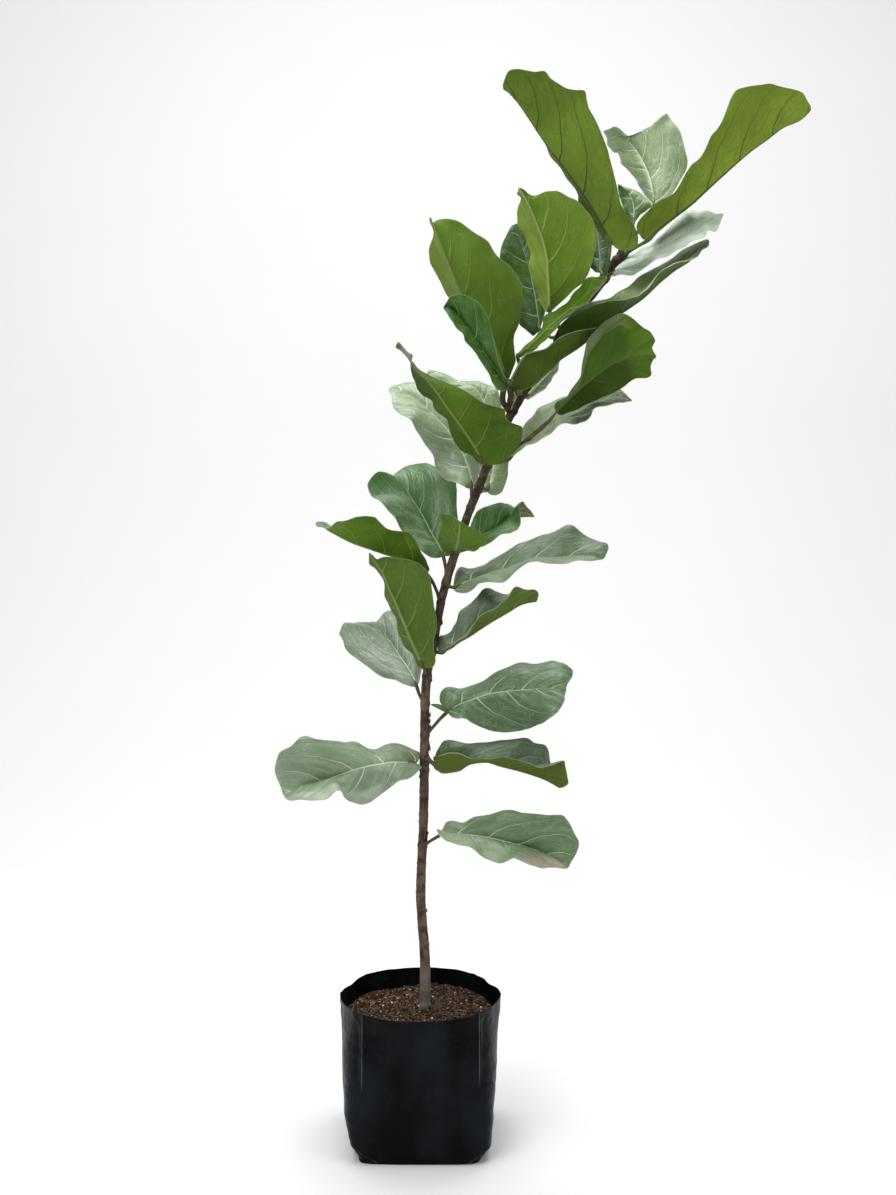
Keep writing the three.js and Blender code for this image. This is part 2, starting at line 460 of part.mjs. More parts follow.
      [193.4, 1.4, 1473.5], [189.9, 8, 1492.1], [185.6, 14.2, 1510.7], [180.2, 18.8, 1529.3],
      [174.3, 22.9, 1547.9], [168.1, 26.3, 1566.4], [161.1, 29, 1584.7],
    ],
    left: [
      [202.8, -27.3, 1399.7], [185.1, -23.3, 1396.9], [169, -16, 1412.5], [159.9, -8.5, 1433.5],
      [152.5, -3.3, 1455], [146.4, -0.3, 1476.8], [141, 2.1, 1498.8], [136.1, 4.4, 1520.8],
      [139, 8.4, 1543.1], [148.1, 15.2, 1564.6], [161.1, 29, 1584.7],
    ],
    right: [
      [202.8, -27.3, 1399.7], [209.1, -11.3, 1421.6], [215.4, -1.7, 1443], [220, 5.7, 1464.6],
      [221, 12.9, 1486.6], [220, 21.2, 1508.9], [216.1, 29.3, 1530.9], [209.6, 35.1, 1551.9],
      [199.1, 38.2, 1570.7], [182.3, 37.6, 1584], [161.1, 29, 1584.7],
    ],
  },
  leaf_21: {
    color: 0x5d8a2f,
    petiole: [
      [156.6, -29.7, 1265], [141.6, -41, 1279.6], [140.4, -49.5, 1295.7], [148.4, -56.3, 1315.1],
    ],
    mid: [
      [148.4, -56.3, 1315.1], [137.3, -64.6, 1342.3], [127, -72.8, 1369.7], [114.5, -80.1, 1395.9],
      [97.6, -86.8, 1419.9], [78.7, -94.5, 1441.8], [63.7, -102.4, 1466.1], [52.6, -108.4, 1492.6],
      [41.5, -113, 1519.3], [30.4, -117.2, 1546], [20.2, -119.5, 1573.4],
    ],
    left: [
      [148.4, -56.3, 1315.1], [160.3, -50, 1350.1], [158.5, -58.4, 1386], [169.1, -72.3, 1419.5],
      [169.9, -84.5, 1454.5], [158.6, -92.4, 1487], [132, -94.5, 1511.2], [110.6, -89.7, 1540.4],
      [79.8, -86, 1560.3], [47.1, -92.8, 1573.9], [20.2, -119.5, 1573.4],
    ],
    right: [
      [148.4, -56.3, 1315.1], [124.9, -37.1, 1333.9], [106.3, -35.9, 1360.1], [88.4, -38.5, 1386.5],
      [71.5, -39.4, 1413.5], [55.8, -38.3, 1441.3], [39.4, -37.9, 1468.6], [29.4, -40, 1498.1],
      [18.2, -49.5, 1525.4], [23.7, -70.8, 1552.4], [20.2, -119.5, 1573.4],
    ],
  },
  leaf_22: {
    color: 0x3f6b46,
    petiole: [
      [159.4, -30.1, 1270.2], [152.3, -44.4, 1281.1], [153.2, -61.5, 1293.4], [149.2, -78.5, 1303.9],
    ],
    mid: [
      [149.2, -78.5, 1303.9], [138.8, -88.3, 1316], [128.6, -96.8, 1328.9], [118.6, -104.2, 1342.4],
      [108.6, -111.2, 1356.1], [98.6, -117.7, 1369.7], [88.6, -123.7, 1383.5], [78.5, -129.4, 1397.3],
      [68.2, -135.2, 1410.9], [56.1, -140.6, 1423.6], [41, -145.1, 1425],
    ],
    left: [
      [149.2, -78.5, 1303.9], [133.3, -97.8, 1297], [121.7, -111.1, 1309.8], [112.2, -122.2, 1324.9],
      [102.2, -133.1, 1339.5], [95, -144, 1354.9], [81.1, -153.7, 1365.7], [72, -161.1, 1379.8],
      [62.5, -164.4, 1394.5], [51.4, -161.6, 1408.7], [41, -145.1, 1425],
    ],
    right: [
      [149.2, -78.5, 1303.9], [147.4, -100.5, 1316.3], [134.3, -112.9, 1333.5], [126.9, -119, 1354.8],
      [122.6, -120.9, 1377.1], [117, -122.3, 1399.2], [109.2, -126.5, 1420.2], [95.3, -135.3, 1436.7],
      [75.1, -146.2, 1446.3], [53.9, -152.6, 1442.5], [41, -145.1, 1425],
    ],
  },
  leaf_23: {
    color: 0x5d8a2f,
    petiole: [
      [305.8, -54.3, 1480.8], [307.2, -76.8, 1490.5], [310.8, -80.3, 1509.3], [316.5, -78.5, 1532.1],
    ],
    mid: [
      [316.5, -78.5, 1532.1], [301.8, -87.1, 1558.3], [285.7, -95.5, 1583.4], [268.1, -103.8, 1607.5],
      [249.4, -111.7, 1630.7], [230.3, -118.7, 1653.7], [211.1, -124.4, 1676.7], [193.1, -128.7, 1700.9],
      [175.8, -132, 1725.7], [157.7, -134.7, 1750], [134.3, -136.6, 1769.4],
    ],
    left: [
      [316.5, -78.5, 1532.1], [357.5, -87.9, 1533], [341.7, -97.4, 1574.9], [322.5, -105.7, 1616.5],
      [309.8, -112.5, 1660.9], [292.8, -119.4, 1703.4], [271.4, -128, 1743.4], [244.5, -140.5, 1766.6],
      [204.3, -153, 1786.8], [160.4, -155.9, 1794.5], [134.3, -136.6, 1769.4],
    ],
    right: [
      [316.5, -78.5, 1532.1], [298.9, -54.4, 1555.5], [283.5, -50.2, 1584.3], [266, -51.8, 1611.1],
      [247.8, -53.6, 1637.4], [231.4, -52.5, 1665], [214, -50.4, 1692.2], [198.2, -51.3, 1719.8],
      [182.2, -61, 1745.4], [161.8, -83.5, 1765], [134.3, -136.6, 1769.4],
    ],
  },
  leaf_24: {
    color: 0x5d8a2f,
    petiole: [
      [333, -58.7, 1516.2], [351.6, -71.7, 1528.3], [369.3, -85.4, 1537.5],
    ],
    mid: [
      [369.3, -85.4, 1537.5], [393.4, -94.5, 1558.7], [418.2, -105.1, 1577.7], [443.3, -114.5, 1596.7],
      [467.4, -121.1, 1618.4], [491.3, -128.1, 1639.6], [515.7, -134, 1660.6], [541.5, -139.3, 1680.1],
      [567.8, -143.7, 1699.5], [597.3, -146.4, 1714.4], [622, -148.6, 1735.7],
    ],
    left: [
      [369.3, -85.4, 1537.5], [396.8, -61.3, 1567], [422.6, -59.5, 1592.3], [448.7, -62.7, 1615.4],
      [473.7, -63.8, 1640.3], [498.1, -63.3, 1666.2], [522.6, -62.1, 1692.2], [546.5, -64.6, 1717.1],
      [572.4, -75.6, 1735.9], [599.8, -97.5, 1745.4], [622, -148.6, 1735.7],
    ],
    right: [
      [369.3, -85.4, 1537.5], [357.7, -112.4, 1572], [390, -130.3, 1595.9], [419, -141.1, 1622.6],
      [442.7, -145, 1657.1], [464.7, -146.9, 1693.1], [487, -146.2, 1729.7], [507, -149.4, 1765],
      [547.9, -159, 1771.1], [589.3, -164.1, 1759.9], [622, -148.6, 1735.7],
    ],
  },
  leaf_25: {
    color: 0x8aa68c,
    petiole: [
      [328.4, -57.9, 1511.2], [352.6, -34.1, 1546.8], [377, -22.2, 1579.7], [392.9, -13.7, 1609],
    ],
    mid: [
      [392.9, -13.7, 1609], [392.1, -2.5, 1627.6], [390.8, 9.5, 1645.7], [388.6, 22.3, 1663.5],
      [384.2, 35, 1680.6], [378.5, 47.8, 1697.4], [371.5, 60.6, 1713.6], [362.1, 73.4, 1728.3],
      [350.2, 85.9, 1740.7], [335.8, 97.5, 1750.2], [318.8, 107.6, 1756.6],
    ],
    left: [
      [392.9, -13.7, 1609], [386.1, 17.4, 1625.6], [379.7, 36.2, 1641.9], [372.9, 51.7, 1657.8],
      [365.1, 67.2, 1673.3], [356.9, 84.6, 1688.9], [349.5, 102.5, 1705.3], [342.9, 118.1, 1721.2],
      [333.2, 127.7, 1731.6], [328.5, 128.3, 1747], [318.8, 107.6, 1756.6],
    ],
    right: [
      [392.9, -13.7, 1609], [421.5, -5.7, 1625], [439.6, 7.4, 1654.2], [454, 21.6, 1685.8],
      [448.5, 34.7, 1719.2], [438.2, 46.1, 1750.8], [419.1, 54.2, 1775.6], [397.8, 60.5, 1754.3],
      [370.4, 69.8, 1741.7], [344.9, 84.5, 1755], [318.8, 107.6, 1756.6],
    ],
  },
  leaf_26: {
    color: 0x6f8f7f,
    petiole: [
      [319.1, -56.3, 1501.3], [335.6, -52.9, 1535.8], [356.1, -44.4, 1572.9],
    ],
    mid: [
      [356.1, -44.4, 1572.9], [356.5, -40.1, 1580.4], [356.9, -36.2, 1588.1], [357.2, -32.7, 1595.9],
      [356.8, -29.6, 1603.9], [355.9, -26.6, 1611.7], [353.6, -23.7, 1619.5], [350, -21.3, 1626.3],
      [344.3, -19.4, 1632.1], [338.3, -18, 1637.6], [332.1, -17.1, 1642.8],
    ],
    left: [
      [356.1, -44.4, 1572.9], [351.8, -36.4, 1579.3], [347.3, -31.5, 1585.3], [344.4, -27.8, 1592.4],
      [341.4, -24.4, 1599.4], [339.1, -20.5, 1606.9], [337.4, -16.4, 1614.5], [335.7, -13.1, 1622.1],
      [334, -11.4, 1629.4], [332.7, -12.1, 1636.5], [332.1, -17.1, 1642.8],
    ],
    right: [
      [356.1, -44.4, 1572.9], [363.1, -37, 1583.2], [370.9, -33.2, 1591.9], [380.4, -30.9, 1598.6],
      [387.2, -28.1, 1607.2], [381.4, -23.3, 1617.2], [373.5, -17.6, 1625.4], [364.3, -13.2, 1631.7],
      [354, -11.2, 1636.3], [343.1, -11.9, 1639.4], [332.1, -17.1, 1642.8],
    ],
  },
  leaf_27: {
    color: 0x8ea596,
    petiole: [
      [309.1, -54.8, 1485.5], [320.1, -78.5, 1490.3],
    ],
    mid: [
      [320.1, -78.5, 1490.3], [337.3, -81.4, 1500], [355.4, -82.8, 1508.8], [373.7, -84, 1517.3],
      [391.3, -86.3, 1526.4], [408.9, -89, 1535.1], [426.4, -92.5, 1543.5], [443.3, -96.9, 1552],
      [460.2, -101.2, 1560.5], [477, -104.5, 1569.5], [493.5, -105.9, 1580.4],
    ],
    left: [
      [320.1, -78.5, 1490.3], [336.6, -53.4, 1510.4], [356.3, -44.3, 1524], [377.5, -40.5, 1533.7],
      [394.4, -39, 1548.4], [409.8, -36.8, 1565.4], [427.5, -35.3, 1579.8], [443.8, -37.3, 1594.6],
      [462.5, -45.5, 1595.4], [481.2, -63, 1589], [493.5, -105.9, 1580.4],
    ],
    right: [
      [320.1, -78.5, 1490.3], [328, -106.3, 1482], [349.4, -117.8, 1483.5], [368.5, -125, 1493],
      [387, -133.3, 1503.3], [405.3, -143.8, 1512.9], [424.1, -154.3, 1520.9], [443.8, -161.8, 1528.2],
      [458.4, -160.9, 1543.8], [476.9, -147.6, 1553.4], [493.5, -105.9, 1580.4],
    ],
  },
  leaf_28: {
    color: 0x6f8c50,
    petiole: [
      [223.2, -39.2, 1368.6], [220.5, -63.2, 1376.8],
    ],
    mid: [
      [220.5, -63.2, 1376.8], [249.1, -70, 1386.1], [277.6, -74.8, 1396.6], [305, -81.1, 1408.1],
      [331.6, -84.6, 1422.7], [356.5, -88.6, 1439.4], [379.1, -92.9, 1458.7], [400.9, -97.3, 1478.7],
      [424.8, -102.3, 1495.6], [448.4, -105.2, 1513.4], [471.3, -107.6, 1532.6],
    ],
    left: [
      [220.5, -63.2, 1376.8], [233.2, -71.6, 1405.6], [256.6, -76.4, 1427.2], [284.2, -82.8, 1442],
      [315.2, -86.5, 1448.5], [342.8, -82.4, 1465.8], [370, -64.6, 1488.3], [399, -58.8, 1505.1],
      [426.2, -59.1, 1522.7], [453.6, -68.7, 1536.1], [471.3, -107.6, 1532.6],
    ],
    right: [
      [220.5, -63.2, 1376.8], [233.8, -84, 1403.1], [257.2, -93.4, 1421.9], [284.8, -103.9, 1434.8],
      [315, -114.2, 1438.6], [344.6, -126.3, 1443.3], [367.8, -136.8, 1460.1], [388, -143.7, 1481.9],
      [415.7, -145.1, 1494.9], [445, -136.2, 1508.9], [471.3, -107.6, 1532.6],
    ],
  },
  leaf_29: {
    color: 0x6f8f7f,
    petiole: [
      [307.1, -54.5, 1482.6], [301.3, -37.6, 1495.6],
    ],
    mid: [
      [301.3, -37.6, 1495.6], [302.2, -27, 1509.2], [302.6, -18.2, 1523.6], [302, -10.3, 1538.7],
      [301, -2.9, 1553.9], [299.5, 4.3, 1569.1], [297.2, 11.6, 1584.3], [294.2, 18.5, 1599.6],
      [290.1, 25.1, 1614.7], [282, 31.4, 1627.9], [270.8, 35.9, 1639.3],
    ],
    left: [
      [301.3, -37.6, 1495.6], [290.1, -25.8, 1501.1], [283.1, -17.2, 1514.4], [278.4, -9.6, 1529.2],
      [277, -1.6, 1544.9], [275.7, 7.1, 1560.9], [274.3, 16, 1576.9], [273.5, 23.9, 1593],
      [272.5, 30.4, 1608.8], [270.3, 35.4, 1624.4], [270.8, 35.9, 1639.3],
    ],
    right: [
      [301.3, -37.6, 1495.6], [313.8, -25.2, 1501.4], [319.7, -15.7, 1517.7], [322, -7.4, 1534.9],
      [320, 0.8, 1552.2], [315.7, 9.3, 1569], [309.9, 17.7, 1585.3], [303, 25.3, 1601.1],
      [294.6, 31.4, 1616], [283.9, 36, 1629.1], [270.8, 35.9, 1639.3],
    ],
  },
  leaf_30: {
    color: 0x7c967f,
    petiole: [
      [45.4, -11.5, 974.9], [57.5, -20.5, 965],
    ],
    mid: [
      [57.5, -20.5, 965], [78.6, -30.1, 979.6], [103.2, -37.6, 989.3], [127.3, -45.9, 998.8],
      [152.1, -53.7, 1005.4], [176.6, -59.7, 1014.6], [202.7, -63.8, 1018], [228.9, -67.6, 1020.6],
      [255.4, -69.7, 1022.8], [281.9, -71.7, 1023.9], [308.3, -71.7, 1019.8],
    ],
    left: [
      [57.5, -20.5, 965], [64.3, -5.7, 998.1], [95.6, -3.6, 1005], [128.3, -8.3, 1016.7],
      [158.2, -15.3, 1034.8], [187.9, -19.9, 1052.5], [221.3, -22, 1061], [253, -24.1, 1074.9],
      [282.6, -27.5, 1058.5], [314, -39.4, 1047.2], [308.3, -71.7, 1019.8],
    ],
    right: [
      [57.5, -20.5, 965], [82.9, -56.2, 962.9], [103.7, -74.2, 979], [129.9, -88.3, 983.2],
      [153.1, -102.1, 994.9], [173.5, -116, 1011.3], [198.1, -127.5, 1019.3], [223.7, -134.1, 1017.6],
      [250.1, -130.7, 1018.2], [277.7, -115.7, 1018.9], [308.3, -71.7, 1019.8],
    ],
  },
  leaf_31: {
    color: 0x6f8a5c,
    petiole: [
      [22.1, -6.6, 859.2], [32, -20.5, 857.3],
    ],
    mid: [
      [32, -20.5, 857.3], [49.3, -26.3, 865], [64.9, -31.1, 876.1], [81.4, -36.2, 885.6],
      [97.6, -39.9, 895.9], [113.4, -43.1, 906.8], [129.5, -46.5, 917.2], [145.8, -48.8, 927.3],
      [162.1, -50.7, 937.7], [179.5, -51.2, 945.5], [198.6, -49.5, 947.9],
    ],
    left: [
      [32, -20.5, 857.3], [32, -9, 880.3], [52.4, -10.8, 891.2], [63.3, -21.7, 913.6], [74.3, -32, 934.8],
      [93.4, -33.8, 949.6], [109, -26.4, 967.5], [131.6, -13.5, 962.7], [155.2, -7.9, 955.5],
      [178.9, -16.6, 955], [198.6, -49.5, 947.9],
    ],
    right: [
      [32, -20.5, 857.3], [52, -50.4, 871.7], [70.5, -63.4, 886.4], [86.3, -71.5, 903.7],
      [100.5, -77.3, 922.1], [119.1, -84.5, 935.4], [136.6, -92, 950.2], [152.7, -95.6, 965.8],
      [171.4, -93.4, 972.6], [194, -82.3, 971.4], [198.6, -49.5, 947.9],
    ],
  },
};

// ---- helpers ---------------------------------------------------------------
const V = (a) => new THREE.Vector3(a[0], a[1], a[2]);

function toGeometry(points, tris) {
  const g = new THREE.BufferGeometry();
  const pos = new Float32Array(points.length * 3);
  points.forEach((p, i) => { pos[3 * i] = p.x; pos[3 * i + 1] = p.y; pos[3 * i + 2] = p.z; });
  g.setAttribute('position', new THREE.BufferAttribute(pos, 3));
  g.setIndex(tris.flat());
  return g;
}

function toManifold(geometry) {
  let g = geometry.clone();
  g.deleteAttribute('normal');
  g.deleteAttribute('uv');
  g = mergeVertices(g, 1e-4);
  const mesh = new wasm.Mesh({
    numProp: 3,
    vertProperties: new Float32Array(g.attributes.position.array),
    triVerts: new Uint32Array(g.index.array),
  });
  return new wasm.Manifold(mesh);
}

function fromManifold(m) {
  const mesh = m.getMesh();
  const n = mesh.numProp;
  const count = mesh.vertProperties.length / n;
  const pos = new Float32Array(count * 3);
  for (let i = 0; i < count; i++) for (let k = 0; k < 3; k++) pos[3 * i + k] = mesh.vertProperties[n * i + k];
  const g = new THREE.BufferGeometry();
  g.setAttribute('position', new THREE.BufferAttribute(pos, 3));
  g.setIndex(Array.from(mesh.triVerts));
  g.computeVertexNormals();
  return g;
}

function largestPiece(m) {
  let best = null;
  for (const p of m.decompose()) if (!best || p.volume() > best.volume()) best = p;
  return best;
}

// Round rod of changing radius along a list of [x, y, z, r] stations, closed
// with flat caps.
function rod(stations, sides, extra = 0) {
  const c = stations.map(V);
  const pts = [];
  const tris = [];
  let ref = new THREE.Vector3(1, 0, 0);
  for (let i = 0; i < c.length; i++) {
    const t = new THREE.Vector3().subVectors(c[Math.min(i + 1, c.length - 1)], c[Math.max(i - 1, 0)]).normalize();
    const a = ref.clone().addScaledVector(t, -ref.dot(t)).normalize();
    const b = new THREE.Vector3().crossVectors(t, a);
    ref = a;
    const r = stations[i][3] + extra;
    for (let k = 0; k < sides; k++) {
      const w = (2 * Math.PI * k) / sides;
      pts.push(c[i].clone().addScaledVector(a, r * Math.cos(w)).addScaledVector(b, r * Math.sin(w)));
    }
  }
  const id = (i, k) => i * sides + (k % sides);
  for (let i = 0; i + 1 < c.length; i++) for (let k = 0; k < sides; k++) {
    tris.push([id(i, k), id(i, k + 1), id(i + 1, k + 1)], [id(i, k), id(i + 1, k + 1), id(i + 1, k)]);
  }
  const last = c.length - 1;
  for (let k = 1; k + 1 < sides; k++) {
    tris.push([id(0, 0), id(0, k + 1), id(0, k)], [id(last, 0), id(last, k), id(last, k + 1)]);
  }
  return toManifold(toGeometry(pts, tris));
}

// ---- stem and root crown -----------------------------------------------------
function stemStations() {
  const s = STEM.map((p) => p.slice());
  const b = s[0];
  // the buried root crown flares a little, then tapers
  const below = [
    [b[0] - 1, b[1] + 1, b[2] - ROOT_DEPTH, 3.5],
    [b[0] - 1, b[1] + 1, b[2] - ROOT_DEPTH * 0.7, 7],
    [b[0], b[1], b[2] - ROOT_DEPTH * 0.35, 11],
    [b[0], b[1], b[2] - 12, 11.2],
  ];
  return [...below, ...s];
}

function rootStations() {
  const b = STEM[0];
  const out = [];
  for (let i = 0; i < 5; i++) {
    const w = (2 * Math.PI * (i + 0.3)) / 5;
    const c = Math.cos(w), s = Math.sin(w);
    out.push([
      [b[0] + 2 * c, b[1] + 2 * s, b[2] - 34 - 4 * i, 4.6],
      [b[0] + 24 * c, b[1] + 24 * s, b[2] - 46 - 4 * i, 3.6],
      [b[0] + 48 * c - 6 * s, b[1] + 48 * s + 6 * c, b[2] - 66 - 5 * i, 2.8],
      [b[0] + 68 * c - 14 * s, b[1] + 68 * s + 14 * c, b[2] - 92 - 5 * i, 2.0],
    ]);
  }
  return out;
}

function stemSolid(extra) {
  let m = rod(stemStations(), STEM_SIDES, extra);
  for (const r of rootStations()) m = m.add(rod(r, 7, extra));
  return m;
}

// ---- bag ----------------------------------------------------------------------
const smooth = (t) => { const x = Math.min(1, Math.max(0, t)); return x * x * (3 - 2 * x); };

// Outer radius of the bag at an angle and a height.
function bagRadius(w, z) {
  const t = z / BAG_HEIGHT;
  const half = BAG_FOOT_HALF + 2 + (BAG_RIM_RADIUS - BAG_FOOT_HALF - 2) * Math.pow(t, 0.62);
  const side = half - FOOT_TUCK * Math.max(0, 1 - t / 0.1);
  const n = 12 - 9.8 * smooth(Math.pow(t, 0.7) / 0.95);
  const c = Math.abs(Math.cos(w)), s = Math.abs(Math.sin(w));
  let r = 1 / Math.pow(Math.pow(c / side, n) + Math.pow(s / half, n), 1 / n);
  const near = [FOLD_ANGLE, 180 - FOLD_ANGLE, 180 + FOLD_ANGLE, 360 - FOLD_ANGLE]
    .map((a) => { let d = Math.abs(w * 180 / Math.PI - a); d = Math.min(d, 360 - d); return Math.exp(-(d * d) / 60); })
    .reduce((x, y) => x + y, 0);
  r += RIM_CORNER * near * smooth((t - 0.3) / 0.7);
  for (const [angle, amount, spread] of MOUTH) {
    const d = (((w * 180 / Math.PI - angle + 540) % 360) + 360) % 360 - 180;
    r += amount * Math.exp(-((d / spread) ** 2)) * smooth((t - 0.45) / 0.5);
  }
  // the bottom corners of the foot are folded in
  const diag = Math.pow(Math.abs(Math.sin(2 * w)), 6);
  r -= CORNER_TUCK * diag * (1 - smooth(t / 0.12));
  return r;
}

const BAG_LEVELS = [0, 0.05, 0.12, 0.3, 0.5, 0.7, 0.86, 1];

function bagRing(z, inset) {
  const ring = [];
  for (let k = 0; k < BAG_SIDES; k++) {
    const w = (2 * Math.PI * k) / BAG_SIDES;
    const r = bagRadius(w, z) - inset;
    ring.push(new THREE.Vector3(r * Math.cos(w), r * Math.sin(w), z));
  }
  return ring;
}

function ringStack(rings, capBottom, capTop, flip = false) {
  const n = BAG_SIDES;
  const pts = rings.flat().map((p) => p.clone());
  const tris = [];
  const id = (i, k) => i * n + ((k + n) % n);
  for (let i = 0; i + 1 < rings.length; i++) for (let k = 0; k < n; k++) {
    if (flip) tris.push([id(i, k), id(i, k + 1), id(i + 1, k)], [id(i, k + 1), id(i + 1, k + 1), id(i + 1, k)]);
    else tris.push([id(i, k), id(i, k + 1), id(i + 1, k + 1)], [id(i, k), id(i + 1, k + 1), id(i + 1, k)]);
  }
  const fan = (i, z, up) => {
    const c = pts.length;
    pts.push(new THREE.Vector3(0, 0, z));
    for (let k = 0; k < n; k++) tris.push(up ? [c, id(i, k), id(i, k + 1)] : [c, id(i, k + 1), id(i, k)]);
  };
  if (capBottom !== null) fan(0, capBottom, false);
  if (capTop !== null) fan(rings.length - 1, capTop, true);
  return toGeometry(pts, tris);
}

function bagGeometry() {
  const outer = BAG_LEVELS.map((t) => bagRing(t * BAG_HEIGHT, 0));
  const inner = BAG_LEVELS.map((t, i) => {
    const ring = bagRing(Math.max(t * BAG_HEIGHT, 0), BAG_WALL);
    if (i === 0) ring.forEach((p) => { p.z = BAG_BASE; });
    return ring;
  }).reverse();
  return ringStack([...outer, ...inner], 0, BAG_BASE);
}

// ---- potting mix ----------------------------------------------------------------
function soilHeight(x, y) {
  const r = Math.hypot(x, y) / 130;
  return SOIL_LEVEL + SOIL_MOUND * (1 - r * r) + 1.6 * Math.sin(x / 21 + 0.6) * Math.cos(y / 17) + 1.1 * Math.sin(x / 9 - y / 13);
}

function soilGeometry() {
  const n = BAG_SIDES;
  const inset = BAG_WALL + FIT_GAP;
  const levels = BAG_LEVELS.filter((t) => t * BAG_HEIGHT < SOIL_LEVEL - 12).map((t) => t * BAG_HEIGHT);
  const rings = levels.map((z, i) => {
    const ring = bagRing(z, inset);
    if (i === 0) ring.forEach((p) => { p.z = BAG_BASE + FIT_GAP; });
    return ring;
  });
  const top = bagRing(SOIL_LEVEL - 3, inset + 0.5);
  top.forEach((p) => { p.z = soilHeight(p.x, p.y) - 1; });
  rings.push(top);
  for (const f of [0.78, 0.52, 0.26]) {
    rings.push(top.map((p) => new THREE.Vector3(p.x * f, p.y * f, soilHeight(p.x * f, p.y * f))));
  }
  return ringStack(rings, BAG_BASE + FIT_GAP, soilHeight(0, 0), true);
}

// ---- leaves -----------------------------------------------------------------------
// Each leaf is one solid: a crowned, folded blade between its midrib and its two
// margins, joined to its petiole.
function bladeManifold(leaf) {
  const n = leaf.mid.length;
  const mid = leaf.mid.map(V), left = leaf.left.map(V), right = leaf.right.map(V);
  const cols = 5;
  const grid = [];
  for (let i = 1; i < n; i++) {
    let m = mid[i], a = left[i], b = right[i];
    if (i === n - 1) { // stop short of the tip so that the end keeps a width
      m = mid[n - 2].clone().lerp(mid[n - 1], 0.8);
      a = left[n - 2].clone().lerp(left[n - 1], 0.72);
      b = right[n - 2].clone().lerp(right[n - 1], 0.72);
    }
    const f = new THREE.Vector3().subVectors(mid[Math.min(i + 1, n - 1)], mid[i - 1]).normalize();
    const side = (e, s) => {
      const d = new THREE.Vector3().subVectors(e, m);
      const up = s > 0 ? new THREE.Vector3().crossVectors(f, d) : new THREE.Vector3().crossVectors(d, f);
      const w = d.length();
      if (up.length() > 1e-6) up.normalize();
      return m.clone().lerp(e, 0.5).addScaledVector(up, BLADE_CAMBER * w);
    };
    grid.push([b, side(b, -1), m, side(a, 1), a]);
  }
  // the first row narrows to the petiole
  const p0 = mid[0];
  const first = grid[0];
  grid.unshift(first.map((p) => p0.clone().lerp(p, 0.3)));
  const rows = grid.length;
  const nrm = grid.map((row) => row.map(() => new THREE.Vector3()));
  for (let i = 0; i + 1 < rows; i++) for (let j = 0; j + 1 < cols; j++) {
    const q = [grid[i][j], grid[i][j + 1], grid[i + 1][j + 1], grid[i + 1][j]];
    const c = new THREE.Vector3().crossVectors(
      new THREE.Vector3().subVectors(q[2], q[0]), new THREE.Vector3().subVectors(q[3], q[1]));
    for (const [ii, jj] of [[i, j], [i, j + 1], [i + 1, j + 1], [i + 1, j]]) nrm[ii][jj].add(c);
  }
  const pts = [];
  const h = LEAF_THICKNESS / 2;
  for (const s of [1, -1]) for (let i = 0; i < rows; i++) for (let j = 0; j < cols; j++) {
    pts.push(grid[i][j].clone().addScaledVector(nrm[i][j].clone().normalize(), s * h));
  }
  const id = (s, i, j) => s * rows * cols + i * cols + j;
  const tris = [];
  for (let i = 0; i + 1 < rows; i++) for (let j = 0; j + 1 < cols; j++) {
    tris.push([id(0, i, j), id(0, i, j + 1), id(0, i + 1, j + 1)], [id(0, i, j), id(0, i + 1, j + 1), id(0, i + 1, j)]);
    tris.push([id(1, i, j), id(1, i + 1, j + 1), id(1, i, j + 1)], [id(1, i, j), id(1, i + 1, j), id(1, i + 1, j + 1)]);
  }
  const loop = [];
  for (let j = 0; j < cols; j++) loop.push([0, j]);
  for (let i = 1; i < rows; i++) loop.push([i, cols - 1]);
  for (let j = cols - 2; j >= 0; j--) loop.push([rows - 1, j]);
  for (let i = rows - 2; i >= 1; i--) loop.push([i, 0]);
  for (let k = 0; k < loop.length; k++) {
    const [i, j] = loop[k], [p, q] = loop[(k + 1) % loop.length];
    tris.push([id(0, i, j), id(1, i, j), id(1, p, q)], [id(0, i, j), id(1, p, q), id(0, p, q)]);
  }
  return toManifold(toGeometry(pts, tris));
}

function leafGeometry(leaf, stemKeepout) {
  const blade = bladeManifold(leaf);
  const p = leaf.petiole;
  const m = V(leaf.mid[1]);
  const stations = p.map((q, i) => [...q, PETIOLE_BASE_R + (PETIOLE_TIP_R - PETIOLE_BASE_R) * (i / p.length)]);
  const end = V(p[p.length - 1]).lerp(m, 0.4);
  stations.push([end.x, end.y, end.z, PETIOLE_TIP_R * 0.7]);
  const petiole = rod(stations, 6);
  return largestPiece(blade.add(petiole).subtract(stemKeepout));
}

// ---- assembly ------------------------------------------------------------------------
const plant = new THREE.Group();

function add(name, geometry, color, roughness) {
  geometry.computeVertexNormals();
  const mesh = new THREE.Mesh(geometry, new THREE.MeshStandardMaterial({ color, roughness, metalness: 0 }));
  mesh.name = name;
  plant.add(mesh);
}

const stem = stemSolid(0);
const stemKeepout = stemSolid(FIT_GAP);

add('grow_bag', bagGeometry(), 0x15171a, 0.45);
add('potting_mix', fromManifold(largestPiece(toManifold(soilGeometry()).subtract(stemKeepout))), 0x4a342a, 0.95);
add('stem_and_roots', fromManifold(stem), 0x55423a, 0.85);
for (const [name, leaf] of Object.entries(LEAVES)) {
  add(name, fromManifold(leafGeometry(leaf, stemKeepout)), leaf.color, 0.55);
}

export default plant;
